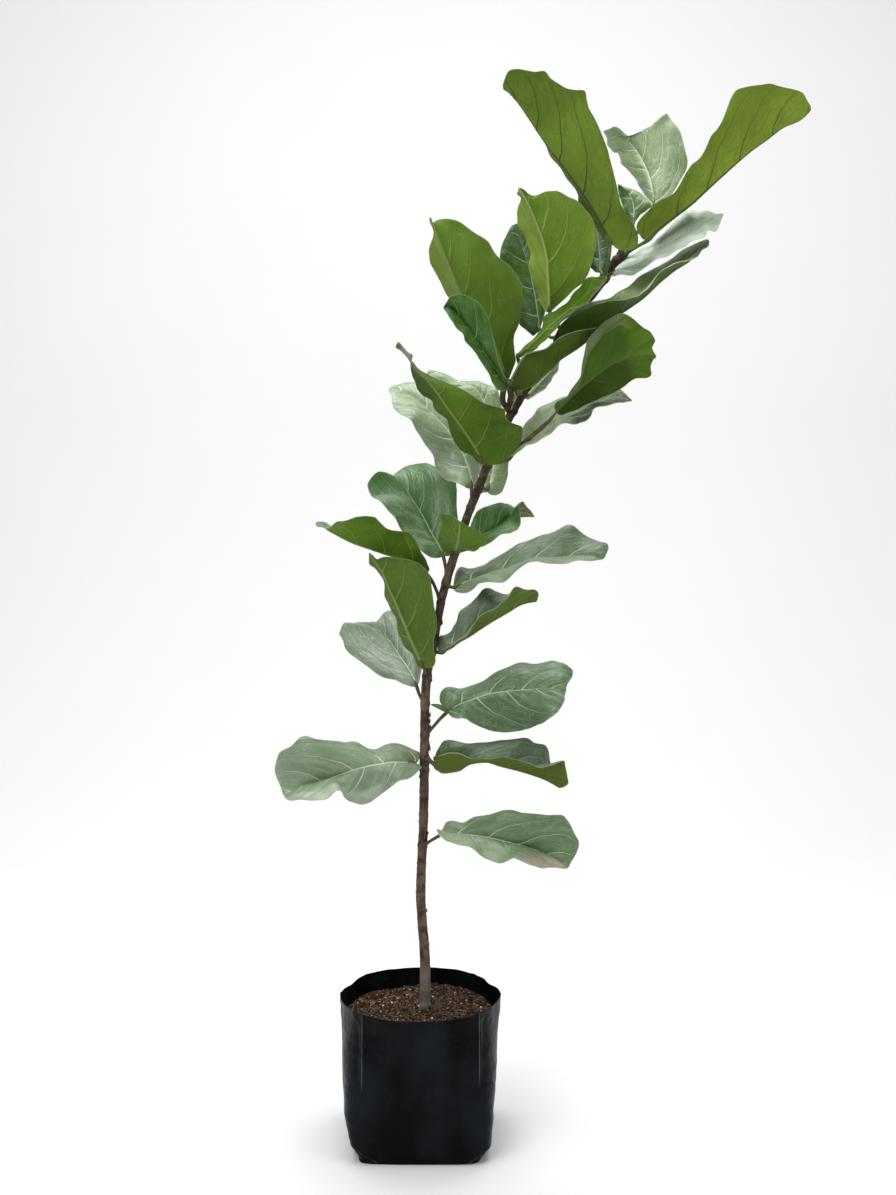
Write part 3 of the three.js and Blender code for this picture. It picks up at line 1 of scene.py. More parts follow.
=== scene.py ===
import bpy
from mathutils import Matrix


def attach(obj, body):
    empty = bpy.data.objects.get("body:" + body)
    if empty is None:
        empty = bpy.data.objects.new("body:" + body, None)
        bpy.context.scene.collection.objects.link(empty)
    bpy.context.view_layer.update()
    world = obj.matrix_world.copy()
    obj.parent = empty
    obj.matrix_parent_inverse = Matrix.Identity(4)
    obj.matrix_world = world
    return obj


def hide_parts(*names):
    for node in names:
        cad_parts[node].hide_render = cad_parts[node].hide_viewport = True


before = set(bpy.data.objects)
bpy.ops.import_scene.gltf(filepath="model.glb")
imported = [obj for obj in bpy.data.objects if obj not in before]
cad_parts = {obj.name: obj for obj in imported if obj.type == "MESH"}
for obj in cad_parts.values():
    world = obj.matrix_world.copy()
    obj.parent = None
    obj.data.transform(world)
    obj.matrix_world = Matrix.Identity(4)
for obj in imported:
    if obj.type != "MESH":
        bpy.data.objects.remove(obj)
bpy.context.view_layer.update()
import math
import bmesh
import bpy
import numpy as np
from mathutils import Vector

# A young tree with large fiddle-shaped leaves on one bare stem, growing in a black film bag of potting mix.
# World frame: metres, origin at the centre of the bag's underside on the floor, +Z up, the bag's front faces -Y.
# Tables below are in millimetres.

# Stem centre line from the soil surface to the growing tip: x, y, z, radius, in millimetres.
STEM = [
    (8.7, 0, 214.9, 9.6), (9.1, 0, 270.5, 9.4), (8.5, 0, 324.2, 8.9), (4.5, 1.7, 377.2, 8.5), (1.6, 2.6, 421.4, 8.2), (2.5, 3.4, 474.4, 8.2),
    (5.6, 2.6, 536.5, 7.9), (7.4, 0, 598.8, 7.9), (8.2, -1.7, 660.4, 8.2), (9, -3.4, 721.8, 7.8), (9.8, -3.4, 774, 7.8), (13.8, -5.1, 822.7, 8),
    (23.3, -6.8, 864.3, 7.3), (31, -8.5, 909.3, 6.8), (37.9, -10.2, 947.1, 7.3), (48.1, -12, 984.9, 7.3), (58.4, -13.7, 1019.1, 7.5),
    (70.2, -15.4, 1054.9, 7), (82, -17.1, 1090.5, 7), (93.8, -18.8, 1121, 7.3), (104.7, -20.5, 1148, 7.5), (117.3, -22.2, 1180, 7.3),
    (133.1, -25.6, 1216.8, 7.1), (151.4, -29, 1255.1, 7.3), (163.8, -30.7, 1278.4, 7.8), (177.8, -32.4, 1301.6, 7.3), (204.2, -35.9, 1341.1, 6.7),
    (233.6, -41, 1383.6, 6.6), (262.8, -46.1, 1425.8, 6.5), (288.6, -51.2, 1458, 6.7), (307.9, -54.6, 1483.6, 7.4), (319.1, -56.3, 1501.3, 8.4),
    (329.5, -58.1, 1512.4, 9.3), (338.3, -59.8, 1521.9, 4),
]

# Every leaf: the petiole's centre line, then stations along the midrib and along the left and right margins,
# seen from the upper face with the tip forward. Millimetres.
LEAVES = {
    'leaf_01': {
        'petiole': [
            (4.6, 2.8, 517.1), (21.3, -8.5, 530.4), (35.2, -13.7, 543.9),
        ],
        'mid': [
            (35.2, -13.7, 543.9), (42.4, -15.3, 544), (49.7, -17, 544), (56.9, -18.5, 544), (64.1, -20.1, 543.9), (71.3, -21.5, 543.7),
            (78.6, -22.9, 543.4), (85.8, -24.2, 543.1), (93, -25.6, 542.7), (100.2, -26.9, 542.1), (107.3, -28.3, 541.5), (114.4, -29.8, 540.6),
            (121.5, -31.3, 539.6), (128.5, -32.8, 538.5), (135.6, -34.3, 537.2), (142.5, -35.7, 535.8), (149.5, -37.1, 534.4), (156.5, -38.5, 533),
            (163.5, -39.8, 531.5), (170.4, -41.1, 529.9), (177.4, -42.4, 528.3), (184.3, -43.6, 526.5), (191.2, -44.9, 524.5), (198, -46.1, 522.5),
            (204.6, -47.3, 520.2), (211.2, -48.5, 517.8), (217.7, -49.6, 514.9), (224.1, -50.7, 511.7), (230.3, -51.9, 508.3), (236.4, -53, 504.8),
            (242.4, -54.1, 501), (248.2, -55.2, 497), (253.9, -56.3, 492.8),
        ],
        'left': [
            (35.2, -13.7, 543.9), (40.7, -7.8, 551.4), (45, 3.1, 557.6), (54.4, 6.6, 561.2), (64.9, 8.7, 560.6), (75.2, 9.1, 558.3),
            (85, 7.6, 561.7), (94.6, 4.1, 566.5), (104.8, -1, 570), (114.9, -7.4, 573.6), (124.8, -14.3, 577.7), (134.4, -20.9, 582.5),
            (144.1, -26.3, 587), (154.1, -30.4, 588.4), (164.2, -33.3, 587.4), (174, -35.4, 584.7), (184.2, -37.1, 584.4), (194.4, -38.5, 583.9),
            (204.6, -39.8, 583.2), (214.8, -40.8, 582.2), (225, -41.4, 582), (235.4, -41.1, 582.3), (245.3, -39.4, 580.7), (252.7, -36, 572.5),
            (259.2, -31.3, 562.8), (264.1, -26.1, 552.1), (269, -21.7, 541.5), (274.4, -19.1, 531.7), (274.1, -19.1, 521.2), (270.4, -22.2, 512.1),
            (265.3, -27.9, 504.2), (258.5, -44.9, 499.6), (253.9, -56.3, 492.8),
        ],
        'right': [
            (35.2, -13.7, 543.9), (30.1, -22.2, 552.5), (29.5, -35.6, 552.5), (34, -42.3, 547.8), (40.4, -48, 544.1), (47.1, -52.4, 540.5),
            (54.6, -55.5, 538.4), (62.3, -57.7, 536.4), (70.1, -59.3, 534.8), (77.8, -60.4, 532.6), (84.8, -61.4, 528.9), (91.7, -62.7, 525),
            (98.4, -64.6, 520.8), (105, -67.2, 516.9), (112, -70.7, 514), (119.4, -75, 512.1), (127, -80, 511.2), (134.7, -85.3, 511.3),
            (142.4, -90.9, 513.6), (150, -96.2, 516.6), (157.5, -100.9, 519.8), (164.9, -104.8, 518.4), (172.3, -107.8, 516.6), (179.4, -110, 513.9),
            (186.7, -111.4, 511.3), (194.5, -111.8, 510.5), (202.5, -111, 509.9), (210.6, -108.7, 509.6), (218.8, -104.2, 508.8),
            (227, -97.7, 505.2), (235.3, -89.4, 501), (244.9, -68.3, 495.5), (253.9, -56.3, 492.8),
        ],
    },
    'leaf_02': {
        'petiole': [
            (8.1, -1.5, 651.6), (-4.3, -13.7, 664.5),
        ],
        'mid': [
            (-4.3, -13.7, 664.5), (-11, -16.9, 667.2), (-17.8, -19.8, 669.1), (-24.9, -22.3, 669.6), (-32.1, -24.6, 670.1), (-39.4, -26.7, 670.5),
            (-46.7, -28.6, 670.7), (-54, -30.4, 670.3), (-61.3, -32.1, 669.5), (-68.6, -33.7, 668.6), (-75.8, -35.3, 667.7), (-83, -36.9, 666.6),
            (-90.3, -38.4, 665.2), (-97.4, -39.8, 663.6), (-104.6, -41.1, 661.9), (-111.6, -42.3, 659.9), (-118.6, -43.4, 657.6),
            (-125.6, -44.5, 655.2), (-132.6, -45.4, 652.7), (-139.7, -46.3, 650.4), (-146.8, -47.1, 648.1), (-153.9, -47.8, 645.8),
            (-161, -48.5, 643.6), (-168.2, -49.2, 641.5), (-175.3, -49.9, 639.5), (-182.6, -50.7, 637.7), (-189.9, -51.5, 636.1),
            (-197, -52.4, 634.2), (-203.9, -53.2, 631.8), (-210.6, -54, 628.8), (-217.1, -54.8, 625.3), (-223.5, -55.6, 621.3), (-229.7, -56.3, 617),
        ],
        'left': [
            (-4.3, -13.7, 664.5), (3.6, -23.1, 661.6), (-0.5, -36.5, 657.5), (-6.7, -43.1, 652.5), (-13.8, -48, 648.2), (-21.5, -50.7, 644.3),
            (-30.1, -51.4, 642.3), (-38.3, -50.2, 638.7), (-45.6, -47.6, 632.8), (-52.9, -44.5, 626.7), (-60.1, -41.9, 620.7), (-67.4, -40.7, 615),
            (-74.6, -41.3, 609.6), (-81.6, -43.9, 604.7), (-89.6, -48.9, 602.8), (-98, -56.5, 602.5), (-106, -66.4, 606.4), (-113.8, -77.6, 611.3),
            (-120.7, -88.7, 618.1), (-125.2, -98.4, 627), (-128.5, -106, 636.6), (-136.3, -111.3, 638.8), (-143.5, -114.5, 634.9),
            (-150, -116.1, 629.5), (-157.2, -116.6, 624.9), (-165.6, -116, 622.2), (-174.2, -114.3, 620.5), (-183.1, -111.2, 620.9),
            (-192.3, -106.1, 620.9), (-201.7, -99, 618.6), (-211.4, -90.2, 616), (-221.7, -68.7, 613.8), (-229.7, -56.3, 617),
        ],
        'right': [
            (-4.3, -13.7, 664.5), (-0.4, -10.1, 674.7), (-0.1, -1.5, 682.5), (-10.6, 0.9, 686.8), (-21.1, 2.8, 691.2), (-31.7, 3.8, 695.4),
            (-43.1, 4, 697.1), (-53.9, 3.5, 695.2), (-64.4, 2.3, 690.7), (-74.7, -0.1, 687), (-85.7, -3.8, 690.2), (-95.5, -8.5, 696.3),
            (-105.3, -13.8, 702.6), (-115.6, -19.4, 705.5), (-126.5, -25, 704.9), (-137.3, -30.5, 707.3), (-148.2, -35.7, 709.1),
            (-159.1, -40, 710.8), (-170, -43.3, 713), (-180.8, -45.4, 715.7), (-191.4, -46.7, 719.3), (-201, -47.3, 717.3), (-209.4, -47, 709.6),
            (-217.6, -45.6, 701.3), (-228, -42.5, 695.8), (-237.8, -37.7, 689.4), (-242.6, -31.9, 677.7), (-245.6, -26.6, 665.5),
            (-247.2, -23.6, 653.5), (-244.5, -24.2, 642.4), (-239.4, -28.5, 632.8), (-233.7, -45, 625.6), (-229.7, -56.3, 617),
        ],
    },
    'leaf_03': {
        'petiole': [
            (8.4, -2.1, 674.5), (24.9, -13.7, 668),
        ],
        'mid': [
            (24.9, -13.7, 668), (27.9, -18.9, 661.5), (31.7, -23.9, 656.3), (36.1, -28.5, 653.1), (41, -32.8, 652.6), (47.1, -36.8, 653.8),
            (54.3, -40.5, 655.4), (61.7, -44, 657.4), (68.4, -47.4, 659.8), (74.5, -50.6, 664.3), (80.5, -53.7, 669.5), (86.8, -56.6, 672.9),
            (93.9, -59.3, 674.9), (101.3, -61.8, 676.5), (108.7, -64.1, 677.5), (115.9, -66.2, 677.6), (123.1, -68.3, 676.1), (130.3, -70.2, 673.9),
            (137.5, -72, 672), (144.8, -73.7, 670.4), (152.1, -75.4, 668.9), (159.4, -77, 667.3), (166.7, -78.5, 665.7), (174, -79.9, 664),
            (181.2, -81.2, 662.1), (188.4, -82.3, 660), (195.6, -83.4, 657.8), (202.8, -84.4, 655.2), (209.9, -85.1, 652.4), (216.8, -85.4, 649.2),
            (223.5, -85.4, 645.5), (230.1, -85.4, 641.3), (236.5, -85.4, 636.8),
        ],
        'left': [
            (24.9, -13.7, 668), (26.9, -18.9, 678.9), (29.7, -23.9, 689.4), (34.7, -28.5, 699), (40.5, -32.7, 707.4), (50.1, -36.5, 710.5),
            (59.8, -39.6, 709.8), (69.4, -41.9, 707.7), (79.1, -43.4, 706.2), (88.9, -44, 705.3), (98.7, -44.1, 706.1), (108.6, -44, 707),
            (118.4, -44.1, 708.4), (128.1, -44.8, 710.2), (137.8, -46.2, 712), (147.6, -48.1, 713.5), (157.3, -50.2, 715), (167.1, -51.7, 716),
            (176.9, -51.9, 716.5), (186, -50.4, 713.9), (194, -47.8, 707.3), (203.4, -44.3, 704.4), (213, -40.6, 702.1), (219.1, -37, 693.3),
            (221.9, -34, 683.1), (224.4, -32.3, 673), (231.8, -32.8, 666.9), (239.9, -35.8, 661.9), (245.3, -41, 654.6), (250.5, -47.9, 647.8),
            (252.9, -56.1, 640), (246.4, -74.6, 638.1), (236.5, -85.4, 636.8),
        ],
        'right': [
            (24.9, -13.7, 668), (23.8, -23.3, 678.6), (32.6, -36.2, 683.7), (41.4, -44.7, 687.9), (50.2, -52.7, 691.5), (59.2, -60.1, 691.8),
            (68.1, -66.9, 691.9), (76.7, -73.2, 690.5), (85.2, -78.9, 688.8), (94, -84, 689), (102.9, -88.5, 689.9), (111.7, -92.7, 690.6),
            (120.5, -96.8, 691.1), (129.3, -100.9, 691.6), (138, -105.2, 691.7), (146.7, -109.4, 691.2), (155.3, -113.6, 690.6),
            (163.9, -117.6, 690.1), (172.4, -121.3, 689), (180.8, -124.7, 687.5), (189.2, -127.7, 685.9), (197.6, -129.9, 684.1),
            (206.3, -131.3, 684), (215, -131.8, 684.5), (223.6, -131.6, 685.6), (231.8, -130.8, 688.9), (239.6, -129.7, 691.2), (241.3, -128, 682),
            (243.2, -125, 672.7), (245.6, -120, 662.9), (248.2, -113.1, 652.8), (243.2, -95.8, 643.9), (236.5, -85.4, 636.8),
        ],
    },
    'leaf_04': {
        'petiole': [
            (8.9, -3.2, 713.1), (23.2, -5.1, 727.3), (37, -12, 744.1), (47.3, -17.1, 757),
        ],
        'mid': [
            (47.3, -17.1, 757), (52.9, -18.2, 760.6), (58.6, -19.2, 764), (64.5, -20.2, 767.1), (70.4, -21.2, 769.9), (76.5, -22.2, 772.6),
            (82.6, -23.1, 775), (88.8, -23.8, 777.4), (95, -24.3, 779.9), (101.1, -24.7, 782.3), (107.4, -25.1, 784.7), (113.6, -25.4, 786.7),
            (120, -25.8, 788.2), (126.4, -26.1, 789.5), (132.9, -26.4, 790.6), (139.5, -26.8, 791.6), (146.1, -27.1, 792.4), (152.6, -27.4, 793.2),
            (159.1, -27.7, 793.8), (165.7, -28, 794.4), (172.3, -28.3, 794.9), (178.8, -28.6, 795.4), (185.4, -28.9, 795.9), (192, -29.2, 796.5),
            (198.5, -29.5, 797.1), (205.1, -29.9, 797.8), (211.7, -30.2, 798.3), (218.1, -30.7, 798.6), (224.5, -31.2, 798.4), (230.9, -31.8, 797.3),
            (237.1, -32.5, 795.5), (243.4, -33.3, 793.2), (249.5, -34.1, 790.6),
        ],
        'left': [
            (47.3, -17.1, 757), (40.7, -13.2, 764), (35.1, -6.2, 771.1), (34.5, -3.9, 780.9), (38.9, -1.5, 789.5), (47.1, 1, 794.4),
            (56.9, 3.9, 794.6), (66.9, 6.8, 792.8), (76.7, 9.4, 794.2), (86.5, 11.3, 796.9), (95.8, 12.5, 800.9), (105.1, 13.3, 805),
            (114.1, 13.9, 809.5), (123.2, 14.4, 814), (132.5, 14.9, 818.2), (141.7, 15.5, 822.4), (150.9, 16, 826.8), (160, 16.7, 831.3),
            (169.5, 17.6, 834.7), (179.4, 18.6, 836.5), (189.7, 19.5, 836.2), (199.9, 20.1, 836.2), (210, 20.1, 836.6), (220.1, 19.6, 837.3),
            (230.2, 18.5, 838.7), (239.9, 17, 836.5), (249.6, 15.1, 834), (257.5, 12.4, 828.2), (263.8, 8.6, 821.5), (262.7, 3.1, 813.1),
            (256.4, -4.1, 805.8), (251.2, -22.4, 798.9), (249.5, -34.1, 790.6),
        ],
        'right': [
            (47.3, -17.1, 757), (51.4, -25.8, 751.7), (57, -39, 749), (64.3, -44.1, 748), (71.7, -47, 750.3), (78.6, -47.1, 749.5),
            (84.7, -44.6, 744.2), (91.2, -40.3, 739.3), (98.2, -35.3, 735), (105.4, -31.1, 731.1), (112.8, -28.2, 728.1), (120.2, -26.7, 725.4),
            (127.7, -26.2, 723.4), (135.4, -26.2, 722.2), (143.1, -26.5, 721.1), (150.8, -27.1, 721.3), (158.4, -28.2, 722.5), (166, -30.2, 723.9),
            (173.5, -33.7, 725.7), (180.8, -38.9, 728.5), (187.9, -45.6, 731.5), (194.7, -53, 735.3), (201.2, -60.2, 739.8), (207.8, -66.6, 744),
            (213.7, -71.7, 749.3), (219.5, -75.2, 754.5), (225.5, -77, 759.4), (230.9, -76.9, 764.7), (236, -74.5, 770.1), (240.9, -69.9, 775.5),
            (244.7, -63.3, 781.4), (246.2, -45, 785.9), (249.5, -34.1, 790.6),
        ],
    },
    'leaf_05': {
        'petiole': [
            (9.7, -3.4, 767), (-0.1, 3.4, 781.6), (-4.5, 5.1, 795.3),
        ],
        'mid': [
            (-4.5, 5.1, 795.3), (-5.8, 9, 799.1), (-7.3, 12.9, 802.8), (-8.9, 17, 806.3), (-10.5, 21.1, 809.7), (-12.3, 25.2, 812.9),
            (-14.3, 29.5, 815.9), (-16.4, 33.8, 818.8), (-18.7, 38.2, 821.6), (-21, 42.7, 824.4), (-23.2, 47.1, 827.2), (-25.6, 51.5, 829.9),
            (-27.9, 55.9, 832.6), (-30.3, 60.3, 835.3), (-32.8, 64.8, 838), (-35.2, 69.1, 840.8), (-37.6, 73.4, 843.6), (-40.1, 77.7, 846.6),
            (-42.5, 81.9, 849.6), (-45, 86.1, 852.7), (-47.5, 90.3, 855.8), (-50, 94.5, 858.9), (-52.6, 98.6, 862), (-55.3, 102.8, 865.1),
            (-58, 106.9, 868.1), (-60.6, 111, 871.3), (-63.3, 115, 874.6), (-65.7, 119, 878.1), (-68, 122.9, 881.8), (-70.5, 126.7, 885.5),
            (-73.5, 130.2, 889.1), (-77.1, 133.5, 892.6), (-81, 136.6, 896),
        ],
        'left': [
            (-4.5, 5.1, 795.3), (-12.2, 5.7, 795.2), (-19.6, 4.5, 797.6), (-27, 6.9, 799.7), (-34.1, 10.3, 802.5), (-41.2, 14.8, 805.4),
            (-48.7, 20.4, 807.2), (-56.4, 26.8, 808.6), (-64.2, 33.3, 810), (-71.9, 39.7, 811.7), (-79.1, 45.5, 814.3), (-85.5, 50.8, 818.6),
            (-91.8, 55.7, 822.9), (-98.6, 60.3, 826.9), (-105.3, 64.8, 830.8), (-111.6, 69.1, 835.4), (-117.8, 73.4, 840.2), (-123.8, 77.7, 845.1),
            (-129.7, 81.9, 850.3), (-134.4, 86.1, 856.1), (-136.6, 90.3, 863.4), (-139.9, 94.2, 870.3), (-144.6, 97.9, 876.6), (-143.1, 101, 883.7),
            (-140, 103.3, 890.8), (-135.3, 104.8, 896.4), (-127.3, 105.9, 896.3), (-119.5, 107.3, 897.4), (-111.8, 109.9, 898.6),
            (-104, 113.8, 897.7), (-96.2, 119, 896.9), (-88.7, 129.1, 896.4), (-81, 136.6, 896),
        ],
        'right': [
            (-4.5, 5.1, 795.3), (-2.3, 16.4, 799.3), (-0.3, 32.6, 802.6), (0.8, 41.3, 807.3), (1.7, 48.9, 812.3), (2.6, 55.2, 817.5),
            (3.2, 60.3, 822.9), (2.7, 64.5, 828.5), (2.3, 68.3, 834.1), (1.8, 71.8, 839.8), (1.4, 75.4, 845.5), (-0.3, 79.6, 850.8),
            (-2.7, 84.3, 856), (-5.1, 89.6, 861.1), (-7.6, 95.5, 866.1), (-10.4, 101.6, 871), (-13.3, 107.8, 875.9), (-16.2, 114.1, 880.8),
            (-19.1, 120.3, 885.7), (-22.3, 126.3, 890.6), (-25.8, 132.1, 895.2), (-29.4, 137.5, 899.9), (-33, 142.6, 904.6), (-36.8, 147.3, 909.2),
            (-41.8, 151.7, 912.7), (-47.2, 155.7, 915.5), (-53.5, 158.9, 916.2), (-59.4, 161.1, 914.9), (-64.9, 161.8, 911.6), (-69.5, 160.5, 907.6),
            (-73.2, 157.4, 902.9), (-76.5, 143.8, 899.4), (-81, 136.6, 896),
        ],
    },
    'leaf_06': {
        'petiole': [
            (13.2, -4.9, 815.9), (8, -18.8, 831.4),
        ],
        'mid': [
            (8, -18.8, 831.4), (5.3, -21.5, 837.6), (2.6, -24.3, 843.9), (-0.1, -27, 850.2), (-2.7, -29.8, 856.4), (-5.4, -32.6, 862.6),
            (-8, -35.5, 868.8), (-10.7, -38.3, 875), (-13.3, -40.8, 881.3), (-15.8, -42.9, 887.6), (-18.3, -45, 894.1), (-20.8, -46.8, 900.6),
            (-23.3, -48.5, 907.1), (-25.8, -49.9, 913.5), (-28.3, -51.2, 920), (-30.9, -52.4, 926.5), (-33.4, -53.5, 933), (-36, -54.5, 939.4),
            (-38.7, -55.4, 945.9), (-41.5, -56.3, 952.3), (-44.2, -57.2, 958.7), (-47, -57.8, 965), (-49.8, -58.1, 971.4), (-52.5, -58.1, 977.8),
            (-55.2, -58.1, 984.2), (-57.8, -58.1, 990.6), (-60.7, -58.1, 996.9), (-63.9, -58, 1003), (-67.7, -57.8, 1008.7), (-71.8, -57.4, 1014.3),
            (-75.9, -56.7, 1019.9), (-79.7, -56, 1025.6), (-83.2, -54.6, 1031.4),
        ],
        'left': [
            (8, -18.8, 831.4), (17.4, -22.2, 831.8), (24.6, -26.1, 835.3), (27.9, -29.2, 844.4), (27.2, -32.3, 853.8), (25.5, -35.2, 863.3),
            (24.9, -37.9, 872.8), (24.7, -40.4, 882.3), (27.3, -42.4, 891.4), (29.7, -44, 900.5), (30.1, -45.6, 909.8), (29.9, -47.1, 919.1),
            (28.1, -48.6, 928.3), (26.2, -50, 937.4), (25, -51.3, 946.6), (23.8, -52.4, 955.8), (22.5, -53.6, 964.9), (21.2, -54.6, 974.1),
            (20.3, -55.7, 983.2), (18.5, -57.1, 992.1), (14.4, -58.6, 1000.4), (7.9, -60, 1006.7), (0.8, -61.2, 1012.3), (-7.6, -62, 1015.7),
            (-16.1, -62.8, 1018.7), (-25, -63.3, 1020.3), (-34, -63.6, 1021.8), (-42.9, -63.6, 1023.1), (-51.9, -63, 1024.2), (-60.9, -61.9, 1022.9),
            (-69.5, -60.4, 1019.5), (-76.2, -57.3, 1025.6), (-83.2, -54.6, 1031.4),
        ],
        'right': [
            (8, -18.8, 831.4), (0.9, -16.9, 829.7), (-3, -11.9, 834), (-6.1, -11.4, 840.6), (-9.1, -11.6, 847.2), (-12.7, -12.6, 853.5),
            (-17.2, -14.3, 859.4), (-21.7, -16.5, 865.2), (-26.1, -18.7, 871.1), (-29.1, -20.6, 877.9), (-32, -22.2, 884.7), (-34.7, -23.5, 891.5),
            (-36.5, -24.3, 898.5), (-38.3, -24.6, 905.5), (-40.1, -24.6, 912.5), (-42.4, -24.4, 919.3), (-45.2, -24.1, 925.9), (-47.9, -23.6, 932.5),
            (-50.7, -23.1, 939.2), (-53.3, -22.8, 945.8), (-56, -22.5, 952.5), (-57, -22.3, 959.5), (-57.8, -21.9, 966.7), (-59.8, -21.7, 973.5),
            (-62.3, -21.8, 980.2), (-65.4, -22.6, 986.7), (-68.7, -24, 993.2), (-72.9, -26.2, 999), (-77.7, -29.3, 1004.2), (-82.8, -33.2, 1009),
            (-83.5, -37.8, 1016.3), (-83.5, -48.9, 1024), (-83.2, -54.6, 1031.4),
        ],
    },
    'leaf_07': {
        'petiole': [
            (37, -10, 942), (30.3, -15.4, 961.2), (22.7, -20.5, 978.7), (15.1, -22.2, 994.1),
        ],
        'mid': [
            (15.1, -22.2, 994.1), (10.4, -22.8, 999.1), (5.4, -23.4, 1003.5), (0, -24.1, 1007), (-5.9, -24.9, 1009.9), (-12.1, -25.7, 1012.3),
            (-18.4, -26.5, 1014.6), (-24.6, -27.5, 1016.8), (-30.9, -28.5, 1018.8), (-37.1, -29.6, 1020.7), (-43.4, -30.7, 1022.5),
            (-49.6, -31.9, 1024.4), (-55.8, -33.2, 1026.4), (-61.9, -34.5, 1028.4), (-68, -35.9, 1030.6), (-74.1, -37.4, 1032.7),
            (-80.1, -38.8, 1034.9), (-86.1, -40.2, 1037.1), (-92.2, -41.6, 1039.2), (-98.2, -42.9, 1041.4), (-104.2, -44.3, 1043.7),
            (-110.1, -45.7, 1046.1), (-115.9, -47, 1048.7), (-121.6, -48.4, 1051.6), (-127.3, -49.7, 1054.6), (-132.9, -50.9, 1057.7),
            (-138.6, -51.7, 1060.8), (-144.3, -52.3, 1063.9), (-149.9, -52.9, 1067.2), (-155.2, -53.9, 1071), (-160.7, -54.6, 1074.5),
            (-166.7, -54.6, 1076.7), (-173.2, -54.6, 1078.2),
        ],
        'left': [
            (15.1, -22.2, 994.1), (17.8, -30, 1001.5), (15, -42.3, 1009.8), (12.1, -46.6, 1017.5), (7.9, -48.9, 1024.4), (3.7, -48.7, 1031.2),
            (0.5, -46.2, 1038.5), (-3, -42.5, 1045.5), (-7, -38.6, 1052.4), (-11.5, -35.9, 1058.8), (-17.5, -35.1, 1064.2), (-25.2, -36.5, 1065.6),
            (-33.1, -39.8, 1066.4), (-40.9, -44.6, 1067.1), (-48.4, -49.9, 1069.2), (-55.4, -55.1, 1072.8), (-61.4, -59.7, 1077.9),
            (-67.2, -64, 1083.2), (-72.7, -68.6, 1088.7), (-80.1, -73.9, 1090.8), (-87.5, -79.9, 1092.5), (-95, -86.2, 1091.9),
            (-102.5, -92.3, 1091.3), (-109.8, -97.8, 1089.6), (-117.1, -102.2, 1087.8), (-124.4, -105.1, 1085.7), (-131.8, -105.9, 1083.4),
            (-138.1, -104.5, 1078.7), (-144.4, -100.8, 1073.4), (-151, -95, 1070.8), (-158.9, -87.2, 1073.5), (-168.4, -66.8, 1073.9),
            (-173.2, -54.6, 1078.2),
        ],
        'right': [
            (15.1, -22.2, 994.1), (14.3, -14.9, 999.7), (10.6, -2.6, 1005.4), (7, 1.6, 1011.6), (2.9, 4.1, 1017.7), (-1.3, 4.8, 1023.7),
            (-5.5, 4, 1029.9), (-9.8, 2, 1035.9), (-15.4, -0.5, 1040.7), (-21.1, -3, 1045.5), (-26.7, -5, 1050.2), (-33.4, -6.1, 1052.9),
            (-40.5, -6, 1055), (-47.5, -5, 1057.2), (-54.6, -3.5, 1059.5), (-61.6, -1.7, 1061.9), (-68.6, 0.2, 1064.3), (-75.6, 2, 1066.7),
            (-82.6, 3.9, 1069.2), (-89.6, 5.6, 1071.6), (-96.9, 7.2, 1072.8), (-104.4, 8.6, 1072.7), (-111.8, 9.6, 1072.7), (-119.2, 9.8, 1072.4),
            (-126.6, 9.4, 1071.8), (-133.9, 8.1, 1071.2), (-141.1, 5.7, 1070.5), (-148.1, 1.8, 1069.7), (-154.1, -4.2, 1073),
            (-159.8, -12.5, 1076.8), (-165.7, -22.1, 1079.9), (-171.2, -42.6, 1081.6), (-173.2, -54.6, 1078.2),
        ],
    },
    'leaf_08': {
        'petiole': [
            (47.3, -11.8, 981.8), (44.7, -6.8, 1003.3), (42.2, 0, 1021.8),
        ],
        'mid': [
            (42.2, 0, 1021.8), (39.9, 3.4, 1026.3), (37.6, 6.9, 1030.8), (35.3, 10.3, 1035.3), (32.9, 13.9, 1039.7), (30.4, 17.4, 1044.1),
            (27.7, 21, 1048.4), (25.1, 24.7, 1052.6), (22.4, 28.4, 1056.8), (19.9, 32.1, 1061.1), (17.5, 35.8, 1065.5), (15.2, 39.5, 1069.9),
            (13, 43.2, 1074.3), (10.7, 47, 1078.7), (8.2, 50.7, 1083.1), (5.7, 54.3, 1087.5), (3, 57.9, 1091.9), (0.3, 61.6, 1096.3),
            (-2.4, 65.2, 1100.6), (-5.2, 69, 1104.9), (-7.9, 72.8, 1109.1), (-10.7, 76.7, 1113.2), (-13.6, 80.5, 1117.4), (-16.5, 84.1, 1121.7),
            (-19.4, 87.6, 1126.2), (-22.5, 91, 1130.7), (-25.6, 94.3, 1135.1), (-29, 97.7, 1139.4), (-32.4, 101.3, 1143.6), (-36.2, 104.6, 1147.6),
            (-40.4, 107.6, 1151.3), (-45.2, 110.3, 1154.7), (-50.4, 112.7, 1157.9),
        ],
        'left': [
            (42.2, 0, 1021.8), (35.1, -3.1, 1019), (27.7, -10.3, 1018.9), (20.2, -10.6, 1020.3), (13.1, -9.7, 1023.2), (6.2, -7.5, 1026.5),
            (0.4, -4.1, 1031.4), (-5.1, 0, 1036.6), (-10.5, 4.6, 1042), (-15.4, 9.3, 1047.8), (-20.4, 13.9, 1053.7), (-25.2, 18.1, 1059.7),
            (-30, 21.7, 1065.7), (-34.6, 24.6, 1071.9), (-38.8, 27.1, 1078.4), (-43.1, 29.2, 1084.9), (-48.5, 31.3, 1090.5), (-53.8, 33.6, 1096.2),
            (-58.7, 36.1, 1102.3), (-63.7, 39.2, 1108.3), (-68.2, 43, 1114.7), (-73.9, 47.4, 1119.8), (-81.1, 52.1, 1123.2), (-86.6, 56.5, 1128.9),
